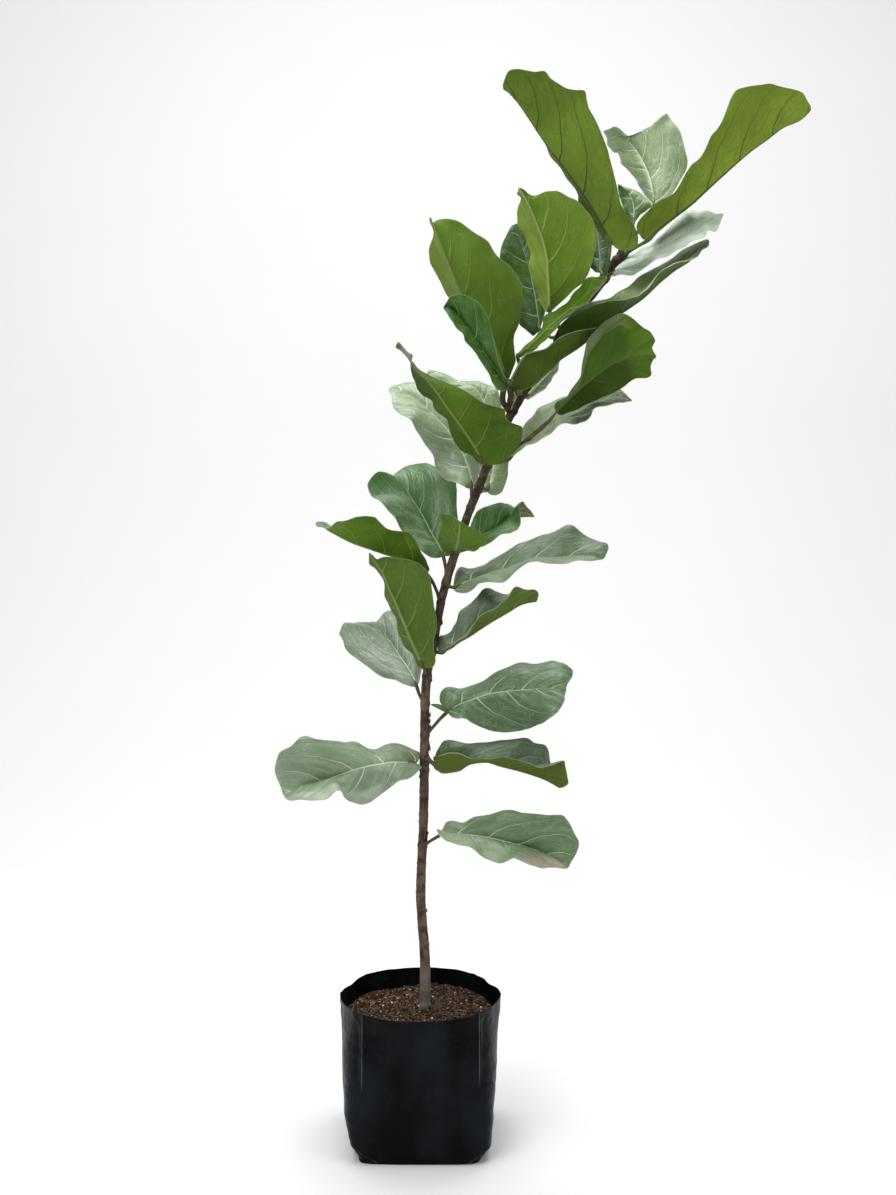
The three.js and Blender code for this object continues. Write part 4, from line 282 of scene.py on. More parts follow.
            (-90.5, 60.2, 1135.6), (-91.9, 63, 1143.1), (-88.5, 65.4, 1150.1), (-84, 68.2, 1156.4), (-78.4, 72.4, 1161.6), (-71.6, 78.1, 1164.8),
            (-64.8, 85.4, 1161.3), (-57.9, 101.6, 1159.1), (-50.4, 112.7, 1157.9),
        ],
        'right': [
            (42.2, 0, 1021.8), (50.5, 9.4, 1021.3), (55.6, 22.3, 1027.1), (60.7, 28.6, 1033.5), (63.1, 33.2, 1041.3), (65.3, 36, 1049.3),
            (67.1, 37.2, 1057.5), (66.9, 37.3, 1065.9), (66.6, 37.2, 1074.3), (66.3, 37.5, 1082.7), (65.7, 38.7, 1091.1), (65.2, 40.8, 1099.4),
            (64.6, 43.8, 1107.8), (64.6, 47.1, 1116.1), (64.6, 50.7, 1124.5), (64.7, 54.4, 1132.9), (63.3, 58.3, 1141.2), (61.8, 62.7, 1149.5),
            (57.3, 68, 1156.2), (50.9, 74.8, 1161.7), (44, 83.3, 1166.6), (36.3, 93.2, 1170.4), (28.2, 103.6, 1173.4), (20, 113.6, 1176.5),
            (11.8, 122.3, 1179.4), (3.1, 129.4, 1180.3), (-5.7, 134.8, 1180.9), (-14.4, 138.2, 1179.9), (-22.7, 139.5, 1177.5),
            (-30.5, 138.4, 1173.6), (-37.5, 134.9, 1168.6), (-44, 120.6, 1163.3), (-50.4, 112.7, 1157.9),
        ],
    },
    'leaf_09': {
        'petiole': [
            (61.2, -14.1, 1027.5), (57.5, -23.9, 1029.8),
        ],
        'mid': [
            (57.5, -23.9, 1029.8), (58.3, -29, 1031.2), (59.1, -34.2, 1032.6), (59.9, -39.3, 1034.1), (60.6, -44.4, 1035.5), (61.2, -49.6, 1037),
            (61.8, -54.7, 1038.5), (62.4, -59.8, 1040), (62.8, -64.9, 1041.6), (63.3, -70.1, 1043.1), (63.7, -75.2, 1044.7), (64, -80.3, 1046.3),
            (64.4, -85.5, 1047.9), (64.7, -90.6, 1049.6), (65, -95.7, 1051.2), (65.3, -100.7, 1053), (65.6, -105.8, 1054.7), (65.9, -110.8, 1056.5),
            (66.2, -115.9, 1058.4), (66.5, -120.9, 1060.2), (66.7, -125.9, 1062.1), (67, -130.9, 1064.1), (67.2, -135.9, 1066.1),
            (67.4, -140.9, 1068.1), (67.6, -145.8, 1070.2), (67.7, -150.6, 1072.4), (67.9, -155.5, 1074.7), (68, -160.3, 1077),
            (68.1, -165.1, 1079.4), (68.1, -169.9, 1081.6), (67.9, -174.7, 1083.8), (67.3, -179.6, 1085.9), (66.4, -184.4, 1088),
        ],
        'left': [
            (57.5, -23.9, 1029.8), (61.2, -25.1, 1028.4), (65, -23.7, 1026.8), (68.8, -26.4, 1027.7), (72.6, -29.8, 1029.3), (76.4, -34, 1030.9),
            (80.2, -39, 1032.4), (84.1, -44.7, 1033.2), (88, -51, 1034), (91.9, -57.6, 1034.8), (95.8, -64.4, 1035.7), (99.5, -71, 1036.9),
            (102.6, -77.2, 1039.6), (105.6, -82.9, 1042.2), (108.6, -87.9, 1044.9), (110.7, -92.2, 1048.4), (112.8, -95.9, 1051.9),
            (114.9, -98.9, 1055.3), (115.1, -101.3, 1058.3), (111.7, -103.4, 1060.5), (108.3, -105.5, 1062.6), (104.9, -107.8, 1064.7),
            (101.4, -110.6, 1066.9), (97.9, -114, 1068.8), (94.3, -118, 1070.7), (90.7, -122.5, 1072.6), (87.1, -127.8, 1074.6),
            (83.5, -134, 1076.5), (79.9, -141.2, 1078.5), (76.4, -149.4, 1080.5), (73, -158.6, 1083), (69.7, -173.5, 1085.6), (66.4, -184.4, 1088),
        ],
        'right': [
            (57.5, -23.9, 1029.8), (54.4, -25.3, 1027.5), (51.4, -24.3, 1025), (48.4, -27, 1023.8), (45.6, -30.5, 1026.8), (42.9, -34.8, 1029.8),
            (40.2, -39.6, 1032.8), (37.4, -45, 1035.8), (35.8, -50.7, 1039.5), (34.3, -56.4, 1043.3), (32.8, -62, 1047.1), (31.2, -67.1, 1050.8),
            (31.5, -71.8, 1054.7), (32.6, -75.9, 1058.5), (33.7, -79.8, 1062.3), (34.8, -83.4, 1066.1), (35.9, -87.1, 1069.9), (36.3, -90.9, 1073.8),
            (36.7, -94.8, 1077.7), (37, -98.8, 1081.6), (37.4, -103.1, 1085.5), (37.9, -107.4, 1089.4), (38.4, -111.9, 1093.3),
            (38.9, -116.5, 1097.1), (40.2, -121, 1099.5), (43.7, -125.7, 1098.3), (47.3, -130.7, 1097.2), (50.7, -136.4, 1096), (54, -143.1, 1094.5),
            (57.2, -150.8, 1092.8), (60.3, -159.5, 1091.1), (63.4, -173.8, 1089.6), (66.4, -184.4, 1088),
        ],
    },
    'leaf_10': {
        'petiole': [
            (74.2, -15.9, 1066.9), (86.5, -6.8, 1052.8),
        ],
        'mid': [
            (86.5, -6.8, 1052.8), (90, -2.5, 1053.3), (93.6, 1.8, 1054), (97.1, 6.2, 1054.7), (100.6, 10.5, 1055.5), (104, 14.9, 1056.4),
            (107.4, 19.2, 1057.3), (110.8, 23.6, 1058.4), (114.2, 28, 1059.5), (117.5, 32.3, 1060.8), (120.8, 36.7, 1062.2), (124, 41.1, 1063.7),
            (127.3, 45.4, 1065.3), (130.4, 49.8, 1066.9), (133.5, 54.3, 1068.5), (136.6, 58.8, 1070.2), (139.6, 63.3, 1072), (142.6, 67.7, 1073.9),
            (145.6, 72, 1076), (148.5, 76.2, 1078.4), (151.3, 80.4, 1081.1), (154.2, 84.5, 1083.9), (157.1, 88.4, 1086.7), (160.3, 92.3, 1089.4),
            (163.9, 96.1, 1092.4), (167.7, 99.8, 1095.2), (172, 102.9, 1096.1), (177.1, 106.2, 1095.6), (182.7, 108.8, 1094.7), (188, 109.3, 1093.6),
            (193.2, 109.3, 1091.6), (198.4, 109.3, 1088.8), (203.6, 109.3, 1085.3),
        ],
        'left': [
            (86.5, -6.8, 1052.8), (86.6, 1.5, 1057.6), (86.7, 12.1, 1062.4), (86.8, 18.3, 1067.4), (87.8, 23.5, 1072.3), (89.3, 27.4, 1077.1),
            (90.7, 30.2, 1082.1), (92.1, 32.3, 1087.1), (94.9, 34.3, 1091.4), (97.8, 36.6, 1095.7), (101.6, 40, 1099), (106.3, 44.6, 1101.5),
            (111, 50.6, 1104), (116.1, 57.7, 1105.5), (121.3, 65.5, 1106.9), (126.6, 73.6, 1108.3), (132.1, 81.6, 1109.1), (137.6, 89.3, 1109.9),
            (143.1, 96.7, 1110.1), (148.6, 103.7, 1109.3), (154.2, 110.2, 1108.5), (159.5, 116.3, 1106.6), (164.7, 121.8, 1104.4),
            (169.8, 126.6, 1102.1), (173.6, 130.7, 1098), (177.1, 134, 1093.7), (177.8, 136, 1088.3), (178.3, 137.1, 1082.9), (183.5, 136.5, 1083),
            (188.8, 132.8, 1083.5), (193.9, 127.7, 1084), (198.7, 116.1, 1084.7), (203.6, 109.3, 1085.3),
        ],
        'right': [
            (86.5, -6.8, 1052.8), (89.1, -6.6, 1047.6), (91.6, -9, 1042.6), (94.2, -7.4, 1037.3), (99, -5.2, 1036.6), (104.7, -2.5, 1037.7),
            (110.5, 0.7, 1038.8), (115.6, 4.2, 1041.5), (120.7, 8, 1044.2), (125.8, 11.9, 1047.2), (130.7, 15.9, 1050.2), (135.8, 19.7, 1053.1),
            (140.9, 23.5, 1055.9), (146.4, 27.2, 1057.9), (152.3, 30.9, 1058.8), (158.2, 34.4, 1059.9), (163.2, 37.8, 1063), (168.2, 40.9, 1066.2),
            (171.4, 43.8, 1071), (174.5, 46.5, 1076), (175.7, 49.2, 1081.5), (175.4, 52, 1087.3), (175.1, 55, 1093.1), (174.1, 58.3, 1098.8),
            (173.2, 62, 1104.5), (176, 66.2, 1109.3), (179.9, 70.5, 1113.9), (184, 75.8, 1110.2), (188.1, 81.4, 1105.5), (192, 86, 1100.6),
            (195.7, 90.9, 1095.6), (199.8, 102.4, 1090.4), (203.6, 109.3, 1085.3),
        ],
    },
    'leaf_11': {
        'petiole': [
            (87.4, -17.8, 1104.3), (88.8, -13.7, 1120.9), (90.6, -6.8, 1137.8),
        ],
        'mid': [
            (90.6, -6.8, 1137.8), (89.6, -5.3, 1145), (88.4, -3.8, 1152.2), (86.9, -2.2, 1159.3), (85.2, -0.6, 1166.3), (83.3, 1.1, 1173.4),
            (81, 2.9, 1180.3), (78.6, 4.7, 1187.1), (75.8, 6.7, 1193.7), (72.6, 8.8, 1200.1), (69.1, 11, 1206.4), (65.4, 13.1, 1212.6),
            (61.5, 15.1, 1218.7), (57.4, 17.1, 1224.7), (53.1, 19, 1230.5), (48.6, 20.9, 1236.3), (44, 22.9, 1241.9), (39.2, 24.8, 1247.5),
            (34.3, 26.8, 1252.9), (29.2, 28.7, 1258.2), (24, 30.5, 1263.4), (18.7, 32.1, 1268.5), (13.3, 33.7, 1273.6), (7.7, 35.1, 1278.5),
            (1.9, 36.5, 1283.2), (-4.1, 37.9, 1287.7), (-10.2, 39.2, 1291.9), (-16.6, 40.5, 1295.9), (-23.2, 41.7, 1299.6), (-29.9, 42.9, 1302.9),
            (-36.7, 44, 1305.9), (-43.8, 45.1, 1308.6), (-51, 46.1, 1311),
        ],
        'left': [
            (90.6, -6.8, 1137.8), (83, -12, 1137), (76.1, -20.1, 1140.4), (69.4, -20.1, 1143.7), (62.5, -17.5, 1146.7), (55.6, -12.7, 1149.7),
            (48.2, -6.8, 1151.3), (41.5, -1.2, 1154.3), (35.9, 3.4, 1159.4), (31.4, 6.5, 1165.5), (27.6, 7.9, 1172.1), (26.2, 7.4, 1179.4),
            (25.3, 5, 1186.9), (22.6, 1.1, 1193.8), (19.2, -3.6, 1200.5), (15.6, -8.3, 1207), (11, -12.4, 1212.8), (6.4, -15.8, 1218.7),
            (2.1, -18.6, 1224.7), (-2.2, -21, 1230.8), (-6.5, -22.8, 1236.9), (-10.6, -24, 1243), (-14.7, -24.6, 1249.2), (-19.7, -24.3, 1254.8),
            (-25.2, -23.1, 1259.9), (-31.2, -21, 1264.5), (-37.8, -17.7, 1268.4), (-42.4, -13.1, 1274.2), (-45, -6.8, 1281.5), (-45.7, 1.4, 1289.3),
            (-48.9, 11.1, 1296.3), (-53.4, 32.8, 1303.2), (-51, 46.1, 1311),
        ],
        'right': [
            (90.6, -6.8, 1137.8), (97.1, -1.1, 1143.4), (99.7, 7.4, 1151.3), (101.3, 11.8, 1159.8), (102.9, 15.6, 1168.3), (102.1, 18.7, 1176.9),
            (101.2, 21.2, 1185.5), (100, 23.3, 1194), (97.6, 25.4, 1202.3), (95.2, 27.5, 1210.7), (92.4, 29.7, 1218.8), (88.5, 32.1, 1226.6),
            (84.7, 34.7, 1234.4), (80.8, 37.4, 1242.3), (76.9, 40.4, 1250.1), (73, 43.4, 1257.9), (68.1, 46.6, 1265.2), (63.1, 49.8, 1272.4),
            (57.5, 53.1, 1279.2), (51.7, 56.3, 1285.9), (45.8, 59.3, 1292.5), (39, 61.9, 1298), (32, 64.3, 1303.5), (24.4, 66.3, 1307.7),
            (16.3, 67.9, 1311.4), (8.2, 69, 1314.7), (-0.3, 69.5, 1317), (-8.8, 69.1, 1319.2), (-17.5, 67.6, 1318.7), (-26.2, 65, 1318.1),
            (-34.8, 61.5, 1316.8), (-43, 51.6, 1314.2), (-51, 46.1, 1311),
        ],
    },
    'leaf_12': {
        'petiole': [
            (115.5, -21.9, 1175.3), (109.4, -34.1, 1178.2),
        ],
        'mid': [
            (109.4, -34.1, 1178.2), (106.1, -38.6, 1184.7), (102.6, -43, 1191), (99, -47.4, 1197.4), (95.3, -51.6, 1203.6), (91.4, -55.8, 1209.8),
            (87.3, -59.9, 1215.9), (83.1, -64, 1222), (78.9, -68, 1227.9), (74.6, -72.1, 1233.8), (70.3, -76.1, 1239.6), (65.9, -80.1, 1245.5),
            (61.5, -83.9, 1251.3), (57.2, -87.7, 1257.2), (52.8, -91.4, 1263.2), (48.4, -94.9, 1269.1), (44, -98, 1275.2), (39.5, -101, 1281.4),
            (35, -103.8, 1287.5), (30.4, -106.2, 1293.7), (25.7, -108.4, 1300), (20.8, -110.3, 1306.2), (15.8, -112, 1312.3), (10.2, -113.5, 1317.9),
            (3.9, -115, 1323), (-2.1, -116, 1328.3), (-7.1, -116.1, 1334.4), (-11.4, -116.1, 1341.4), (-15.7, -116.1, 1348.4),
            (-20.7, -114.8, 1354.7), (-25.4, -112.7, 1361.3), (-29, -111, 1368.5), (-31.9, -109.3, 1376.1),
        ],
        'left': [
            (109.4, -34.1, 1178.2), (121.3, -38.3, 1176.7), (133.2, -42.5, 1176.5), (143.2, -47, 1180), (150.5, -51.4, 1189.2),
            (159.3, -55.7, 1197.1), (166.2, -59.9, 1206.5), (171.1, -64, 1216.9), (172.4, -68, 1228.6), (171.6, -72.1, 1240.1),
            (161.9, -76.1, 1243.3), (150.7, -80, 1246.5), (143.8, -83.7, 1254.5), (142.6, -86.9, 1266), (132.4, -89.2, 1269.4),
            (120.9, -90.1, 1272.1), (109.9, -89.3, 1275.9), (99.9, -87, 1282.3), (89.9, -83.6, 1288.6), (79.8, -79.8, 1294.8), (69.7, -76.5, 1301),
            (58.9, -74.1, 1305.9), (47.9, -72.6, 1310.6), (37.1, -72, 1315.4), (26.7, -72.5, 1321), (16.8, -73.4, 1327.3), (6, -74.5, 1331.9),
            (-3.7, -76.8, 1337.9), (-11.7, -80.6, 1346.2), (-19.5, -84.6, 1354.5), (-27.7, -89, 1362.4), (-35.8, -102.2, 1366.3),
            (-31.9, -109.3, 1376.1),
        ],
        'right': [
            (109.4, -34.1, 1178.2), (101.4, -31.1, 1179.4), (95.1, -23.1, 1185.1), (88.6, -22.5, 1190.5), (81.1, -23, 1194.6), (73.8, -24.6, 1199),
            (68.3, -27.1, 1205.5), (63.3, -30.2, 1212.3), (58.8, -33.4, 1219.4), (55.5, -36.6, 1227.1), (52.8, -39.7, 1235), (49.9, -42.4, 1242.8),
            (46.4, -44.7, 1250.2), (39.5, -46.7, 1255.1), (33.4, -48.3, 1260.6), (28, -49.5, 1267), (24.3, -50.3, 1274.2), (22.7, -51, 1282.4),
            (16.9, -51.5, 1287.9), (10.1, -51.9, 1292.8), (3.8, -52.2, 1298.3), (-2.5, -52.7, 1303.8), (-6.2, -53.3, 1311.3), (-10, -54.1, 1318.7),
            (-12, -55.5, 1326.6), (-13.7, -57.3, 1334.6), (-14, -59.5, 1342.6), (-12.1, -63, 1350.5), (-9.3, -68.4, 1357.2), (-16.4, -74.3, 1360.9),
            (-22.2, -80.9, 1366), (-27, -99.2, 1370.7), (-31.9, -109.3, 1376.1),
        ],
    },
    'leaf_13': {
        'petiole': [
            (101.6, -20, 1140.2), (114.7, 3.4, 1130.9),
        ],
        'mid': [
            (114.7, 3.4, 1130.9), (117.1, 10.9, 1136.3), (119.3, 18.1, 1142.2), (121.4, 24.8, 1148.5), (123.2, 31.2, 1155.1), (125, 37.1, 1162.2),
            (126.8, 42.7, 1169.8), (128.2, 48, 1177.8), (128.8, 53, 1185.8), (129, 58.2, 1194), (129.1, 63.3, 1202.4), (129.2, 67.9, 1210.9),
            (129.3, 71.4, 1219.7), (128.7, 73.6, 1228.8), (126.9, 75.2, 1238.2), (124.5, 76.8, 1247.7), (122.1, 78.9, 1256.8), (119.8, 82.1, 1265.5),
            (117.1, 86.1, 1274.2), (114.1, 90.2, 1282.6), (110.6, 93.8, 1290.8), (106.3, 97, 1299.4), (101.1, 100, 1307.8), (95, 102.4, 1314),
            (87, 104.4, 1317.6), (77.4, 106.1, 1320.3), (67.6, 107.3, 1323.1), (58.8, 108.1, 1327), (50.3, 108.7, 1332.2), (41.8, 109.2, 1337.1),
            (32.9, 109.3, 1340.5), (23.5, 109.3, 1342.8), (13.7, 109.3, 1344.3),
        ],
        'left': [
            (114.7, 3.4, 1130.9), (109.8, 8.7, 1129.3), (107, 12.1, 1136.3), (104.3, 17.4, 1143.3), (103.2, 22.7, 1150.7), (102.3, 28.1, 1158.3),
            (101.5, 33.5, 1165.8), (100.3, 39.1, 1173.3), (98, 44.7, 1180.6), (95.6, 50.6, 1187.9), (93.3, 56.4, 1195.2), (90.9, 61.7, 1202.6),
            (87.9, 65.6, 1209.7), (84.9, 67.9, 1216.8), (81.8, 69.3, 1223.9), (78.7, 70.5, 1231), (74.9, 72, 1237.7), (71, 74.6, 1244.4),
            (67.2, 77.8, 1251.2), (63.3, 81.2, 1258), (59.2, 84, 1264.7), (55.2, 86.4, 1271.3), (51.1, 88.4, 1278), (46.5, 90, 1284.3),
            (41.8, 91, 1290.5), (37.2, 92.1, 1296.7), (32.7, 93, 1303.1), (28.6, 94.1, 1309.7), (24.4, 95.7, 1316.3), (20.1, 97.9, 1322.9),
            (15.7, 100.3, 1329.5), (12.2, 105.9, 1336.5), (13.7, 109.3, 1344.3),
        ],
        'right': [
            (114.7, 3.4, 1130.9), (123.9, 12.7, 1125.2), (134.2, 22.9, 1125.7), (142.4, 31, 1131.1), (147.4, 38.5, 1140.5), (150.7, 45.4, 1150.6),
            (153.1, 51.7, 1160.9), (153.3, 57.4, 1171.6), (154.5, 62.8, 1182.3), (156.2, 68.3, 1192.9), (157.1, 73.7, 1203.6), (156.5, 78.7, 1214.4),
            (155.7, 82.7, 1225.2), (153.6, 85.6, 1235.7), (151.4, 88, 1246.3), (149.1, 90.4, 1256.9), (147, 93.3, 1267.5), (144.5, 97.3, 1278.1),
            (141.7, 102, 1288.7), (138.8, 106.9, 1299.3), (135.1, 111.4, 1309.6), (127.1, 115.3, 1315.8), (117, 118.8, 1319.9),
            (107.1, 121.6, 1324.5), (96.7, 123.7, 1326.3), (85.8, 125.2, 1325.3), (74.9, 125.8, 1325.4), (64.1, 125.4, 1326.2),
            (54.6, 124.3, 1331.5), (45, 122.4, 1336.3), (34.7, 119.7, 1339.9), (24.4, 113.1, 1342.6), (13.7, 109.3, 1344.3),
        ],
    },
    'leaf_14': {
        'petiole': [
            (134.7, -25.9, 1220.2), (160.9, -44.4, 1204.8), (192.5, -75.1, 1228.9), (213.9, -99, 1247.7), (224.7, -105.9, 1262),
        ],
        'mid': [
            (224.7, -105.9, 1262), (228.7, -107.4, 1266.4), (232.8, -108.9, 1270.7), (236.9, -110.3, 1274.9), (241, -111.7, 1279.1),
            (245.2, -113.1, 1283.2), (249.4, -114.5, 1287.3), (253.7, -115.8, 1291.3), (258, -117.1, 1295.3), (262.3, -118.4, 1299.2),
            (266.7, -119.6, 1303.2), (271.2, -120.8, 1307), (275.7, -122, 1310.8), (280.3, -123.2, 1314.5), (284.9, -124.4, 1318.1),
            (289.5, -125.6, 1321.7), (294.2, -126.8, 1325.4), (298.9, -128, 1329), (303.8, -129.1, 1332.5), (308.7, -130.2, 1335.6),
            (313.8, -131.2, 1338.4), (319.1, -132, 1340.6), (324.7, -132.7, 1342.7), (330.4, -133.4, 1344.6), (336.2, -134, 1346.3),
            (342.1, -134.6, 1347.7), (348, -135.1, 1349), (353.9, -135.8, 1350.2), (359.9, -136.3, 1351.1), (365.9, -136.6, 1351.5),
            (371.9, -136.6, 1351.2), (377.9, -136.6, 1350.1), (383.9, -136.6, 1348.4),
        ],
        'left': [
            (224.7, -105.9, 1262), (229.5, -104, 1257.6), (235.1, -100, 1257.2), (241.2, -99.2, 1259.6), (247.2, -98.9, 1262),
            (253.1, -99.2, 1264.5), (258.9, -100, 1267), (264.8, -101.2, 1269.5), (270.5, -102.5, 1272), (276.3, -104, 1274.4),
            (282.1, -105.3, 1276.9), (287.9, -106.5, 1279.3), (293.7, -107.4, 1281.8), (299.3, -108, 1284.9), (304.9, -108.3, 1287.9),
            (310.5, -108.6, 1290.9), (316.3, -108.8, 1293.5), (322.2, -109, 1295.8), (328.2, -109.1, 1298.2), (333.4, -109.1, 1301.8),
            (338.6, -109, 1305.5), (343.9, -109, 1309.2), (349.5, -109.1, 1312.1), (355.2, -109.4, 1314.9), (361.3, -110.1, 1316.5),
            (367.5, -111, 1317.4), (373.5, -112.3, 1318.5), (378.1, -114.2, 1322.6), (377.2, -116.7, 1328.6), (376, -119.7, 1334.7),
            (377.6, -123.1, 1340.3), (379.6, -131.5, 1345), (383.9, -136.6, 1348.4),
        ],
        'right': [
            (224.7, -105.9, 1262), (221.8, -104.9, 1270.9), (226.1, -102.1, 1278.7), (234.9, -101.9, 1283.1), (243.5, -102, 1287.6),
            (248.4, -102.6, 1296), (253.4, -103.8, 1304.3), (258.3, -105.3, 1312.6), (263.2, -107.3, 1320.8), (264.9, -109.6, 1330.2),
            (266.4, -112.3, 1339.6), (268, -115.1, 1349), (269.7, -118, 1358.3), (271.5, -120.7, 1367.5), (274, -123, 1376.5),
            (279.8, -124.9, 1383.9), (285.7, -126.5, 1391.3), (292.1, -127.8, 1398.3), (298.6, -128.9, 1405.1), (307.1, -129.6, 1409.7),
            (315.6, -129.7, 1414.2), (324.3, -129.1, 1418.6), (333, -127.8, 1417.7), (341.6, -126.1, 1412.9), (349.5, -124.3, 1407.2),
            (357, -122.9, 1400.8), (365.1, -122.3, 1395.4), (373.8, -122.7, 1391), (379.3, -123.8, 1383), (382.5, -125.5, 1374.8),
            (376.9, -127.6, 1366.6), (379.4, -133.2, 1356.9), (383.9, -136.6, 1348.4),
        ],
    },
    'leaf_15': {
        'petiole': [
            (121.6, -23.1, 1190), (133.2, -25.6, 1179.9), (144.9, -27.3, 1183.3),
        ],
        'mid': [
            (144.9, -27.3, 1183.3), (150.8, -28.5, 1188.4), (156.6, -29.8, 1193.3), (162.5, -31.3, 1198.2), (168.5, -32.9, 1203),
            (174.4, -34.5, 1207.6), (180.4, -36.4, 1212.1), (186.3, -38.5, 1216.5), (192.3, -40.8, 1220.8), (198.3, -42.9, 1225.1),
            (204.4, -45, 1229.3), (210.5, -47, 1233.5), (216.7, -48.9, 1237.7), (222.8, -50.8, 1241.8), (229.1, -52.8, 1245.7),
            (235.4, -54.7, 1249.4), (241.8, -56.8, 1252.9), (248.3, -58.9, 1256.2), (254.8, -61, 1259.4), (261.4, -63.1, 1262.5),
            (268, -65.1, 1265.6), (274.5, -67, 1268.9), (281.1, -68.8, 1272.1), (287.8, -70.6, 1275.3), (294.5, -72.3, 1278.1),
            (301.5, -73.9, 1280.3), (308.6, -75.3, 1282.6), (315.9, -76.7, 1284.6), (323.2, -78, 1285.9), (330.5, -79.1, 1285.9),
            (337.9, -80.2, 1285.1), (345.3, -81.1, 1283.4), (352.8, -82, 1280.9),
        ],
        'left': [
            (144.9, -27.3, 1183.3), (147.9, -20.2, 1191.6), (151.5, -7.9, 1199.9), (156.5, -4, 1207.2), (161.5, -1.8, 1214.6), (166.4, -1.3, 1221.8),
            (171.4, -2.8, 1229), (176.2, -5.6, 1236.1), (179.6, -9.4, 1244), (183.2, -13.5, 1251.6), (188.7, -17.1, 1258.1), (194.1, -19.6, 1264.7),
            (199.3, -20.7, 1271.5), (206.9, -20.3, 1275.5), (215.1, -18.8, 1278.7), (223.5, -16.7, 1281.6), (231.9, -14.5, 1284.4),
            (240.3, -12.5, 1287.5), (248.6, -10.7, 1290.5), (257, -9.3, 1293.3), (265.6, -8.2, 1295.6), (274.1, -7.5, 1297.9), (282.7, -7.3, 1299.3),
            (291.3, -7.7, 1298.1), (299.9, -8.9, 1296.9), (308.4, -11.1, 1296.3), (316.7, -14.6, 1296.9), (324.8, -19.8, 1297.9),
            (332.1, -26.8, 1300.6), (338.6, -35.8, 1300.2), (343.9, -46.1, 1293.9), (347.8, -68.5, 1287.1), (352.8, -82, 1280.9),
        ],
        'right': [
            (144.9, -27.3, 1183.3), (150, -37.3, 1188.5), (155.8, -53.3, 1192.2), (161.9, -60.8, 1196.1), (167.9, -67.1, 1200.1),
            (173.9, -72.1, 1204.3), (179.9, -76.1, 1208.4), (186.3, -79.4, 1211.8), (192.8, -82.3, 1215.1), (199.4, -84.9, 1218.4),
            (205.9, -87.6, 1221.7), (212.3, -90.5, 1224.9), (218.5, -93.8, 1228.5), (224.3, -97.5, 1232.7), (230.1, -101.5, 1236.8),
            (236.1, -105.8, 1240.5), (242.4, -110.1, 1243.2), (249.4, -114.4, 1242.7), (256.3, -118.7, 1242.7), (262.9, -122.9, 1244.9),
            (269.4, -126.8, 1247.4), (274.7, -130.4, 1252), (279.3, -133.5, 1257.1), (283.1, -135.9, 1263.1), (289.5, -137.4, 1265.6),
            (296.5, -137.8, 1267.5), (303.6, -136.9, 1269.6), (310.8, -134.2, 1272), (318.2, -129.6, 1274.5), (325.9, -122.9, 1277.1),
            (334.1, -114.6, 1278.3), (343.9, -93.9, 1279.8), (352.8, -82, 1280.9),
        ],
    },
    'leaf_16': {
        'petiole': [
            (174.7, -32.1, 1296.5), (164.6, -47.8, 1294.1), (158.3, -58.1, 1298.5),
        ],
        'mid': [
            (158.3, -58.1, 1298.5), (164.1, -61, 1299), (169.6, -63.9, 1299.9), (175, -66.8, 1301.3), (180.1, -69.5, 1302.9), (185, -72.2, 1304.7),
            (189.6, -74.9, 1307.2), (194, -77.6, 1310.4), (198.3, -80.3, 1314.1), (202.5, -82.7, 1318.1), (206.7, -84.8, 1322),
            (210.9, -86.7, 1325.9), (215, -88.4, 1330.1), (219, -89.9, 1334.4), (223, -91.3, 1338.7), (227.2, -92.7, 1342.9), (231.7, -93.9, 1346.8),
            (236.4, -95.2, 1350.3), (241.4, -96.4, 1353.5), (246.5, -97.6, 1356.7), (251.6, -98.5, 1359.9), (256.6, -99.1, 1363.2),
            (261.6, -99.7, 1366.7), (266.6, -100.1, 1370.2), (271.5, -100.5, 1373.8), (276.4, -100.7, 1377.5), (281.2, -100.7, 1381.3),
            (285.9, -100.7, 1385.3), (290.5, -100.7, 1389.4), (294.9, -100.7, 1393.6), (299.1, -100.7, 1398), (303.2, -100.7, 1402.6),
            (307, -100.7, 1407.4),
        ],
        'left': [
            (158.3, -58.1, 1298.5), (164.3, -60.2, 1296.9), (168.6, -61.7, 1300.9), (172.6, -64, 1305.4), (176.6, -66.4, 1309.9),
            (180.1, -68.8, 1314.8), (183.4, -71.4, 1319.8), (186.7, -74.1, 1324.7), (190, -76.7, 1329.7), (193.5, -79.1, 1334.5),
            (197.1, -81.3, 1339.2), (200.7, -83.1, 1344), (204.3, -84.6, 1348.8), (208.3, -86, 1353.2), (212.4, -87.2, 1357.7),
            (216.5, -88.3, 1362.1), (220.6, -89.3, 1366.5), (225.1, -90.3, 1370.4), (230, -91.3, 1374), (234.8, -92.2, 1377.6), (239.7, -93, 1381.2),
            (244.9, -93.4, 1384.1), (250.4, -93.8, 1386.8), (255.9, -94.2, 1389.5), (261.3, -94.6, 1392.2), (267.1, -94.8, 1394),
            (273.1, -95.1, 1395.5), (279, -95.4, 1397.1), (284.8, -95.9, 1398.8), (290.4, -96.6, 1401), (296, -97.5, 1403.2), (301.5, -99.5, 1405.2),
            (307, -100.7, 1407.4),
        ],
        'right': [
            (158.3, -58.1, 1298.5), (151.1, -65, 1299.5), (148.5, -73.7, 1304.8), (148.8, -77.3, 1311.2), (151.8, -79.3, 1317.3),
            (154.8, -80, 1323.4), (157.9, -80.2, 1329.6), (161, -80.8, 1335.7), (164, -82.1, 1341.8), (167.1, -84.4, 1347.8), (171.4, -87.8, 1352.7),
            (175.7, -92.7, 1357.6), (181.9, -99.3, 1358.8), (188.2, -107.2, 1359.4), (194.5, -115.8, 1360.2), (200.6, -124.1, 1361),
            (206.4, -131.4, 1362.8), (211.5, -137.5, 1366.3), (216.6, -142.5, 1369.9), (221.4, -146.7, 1373.9), (226.3, -150.1, 1378),
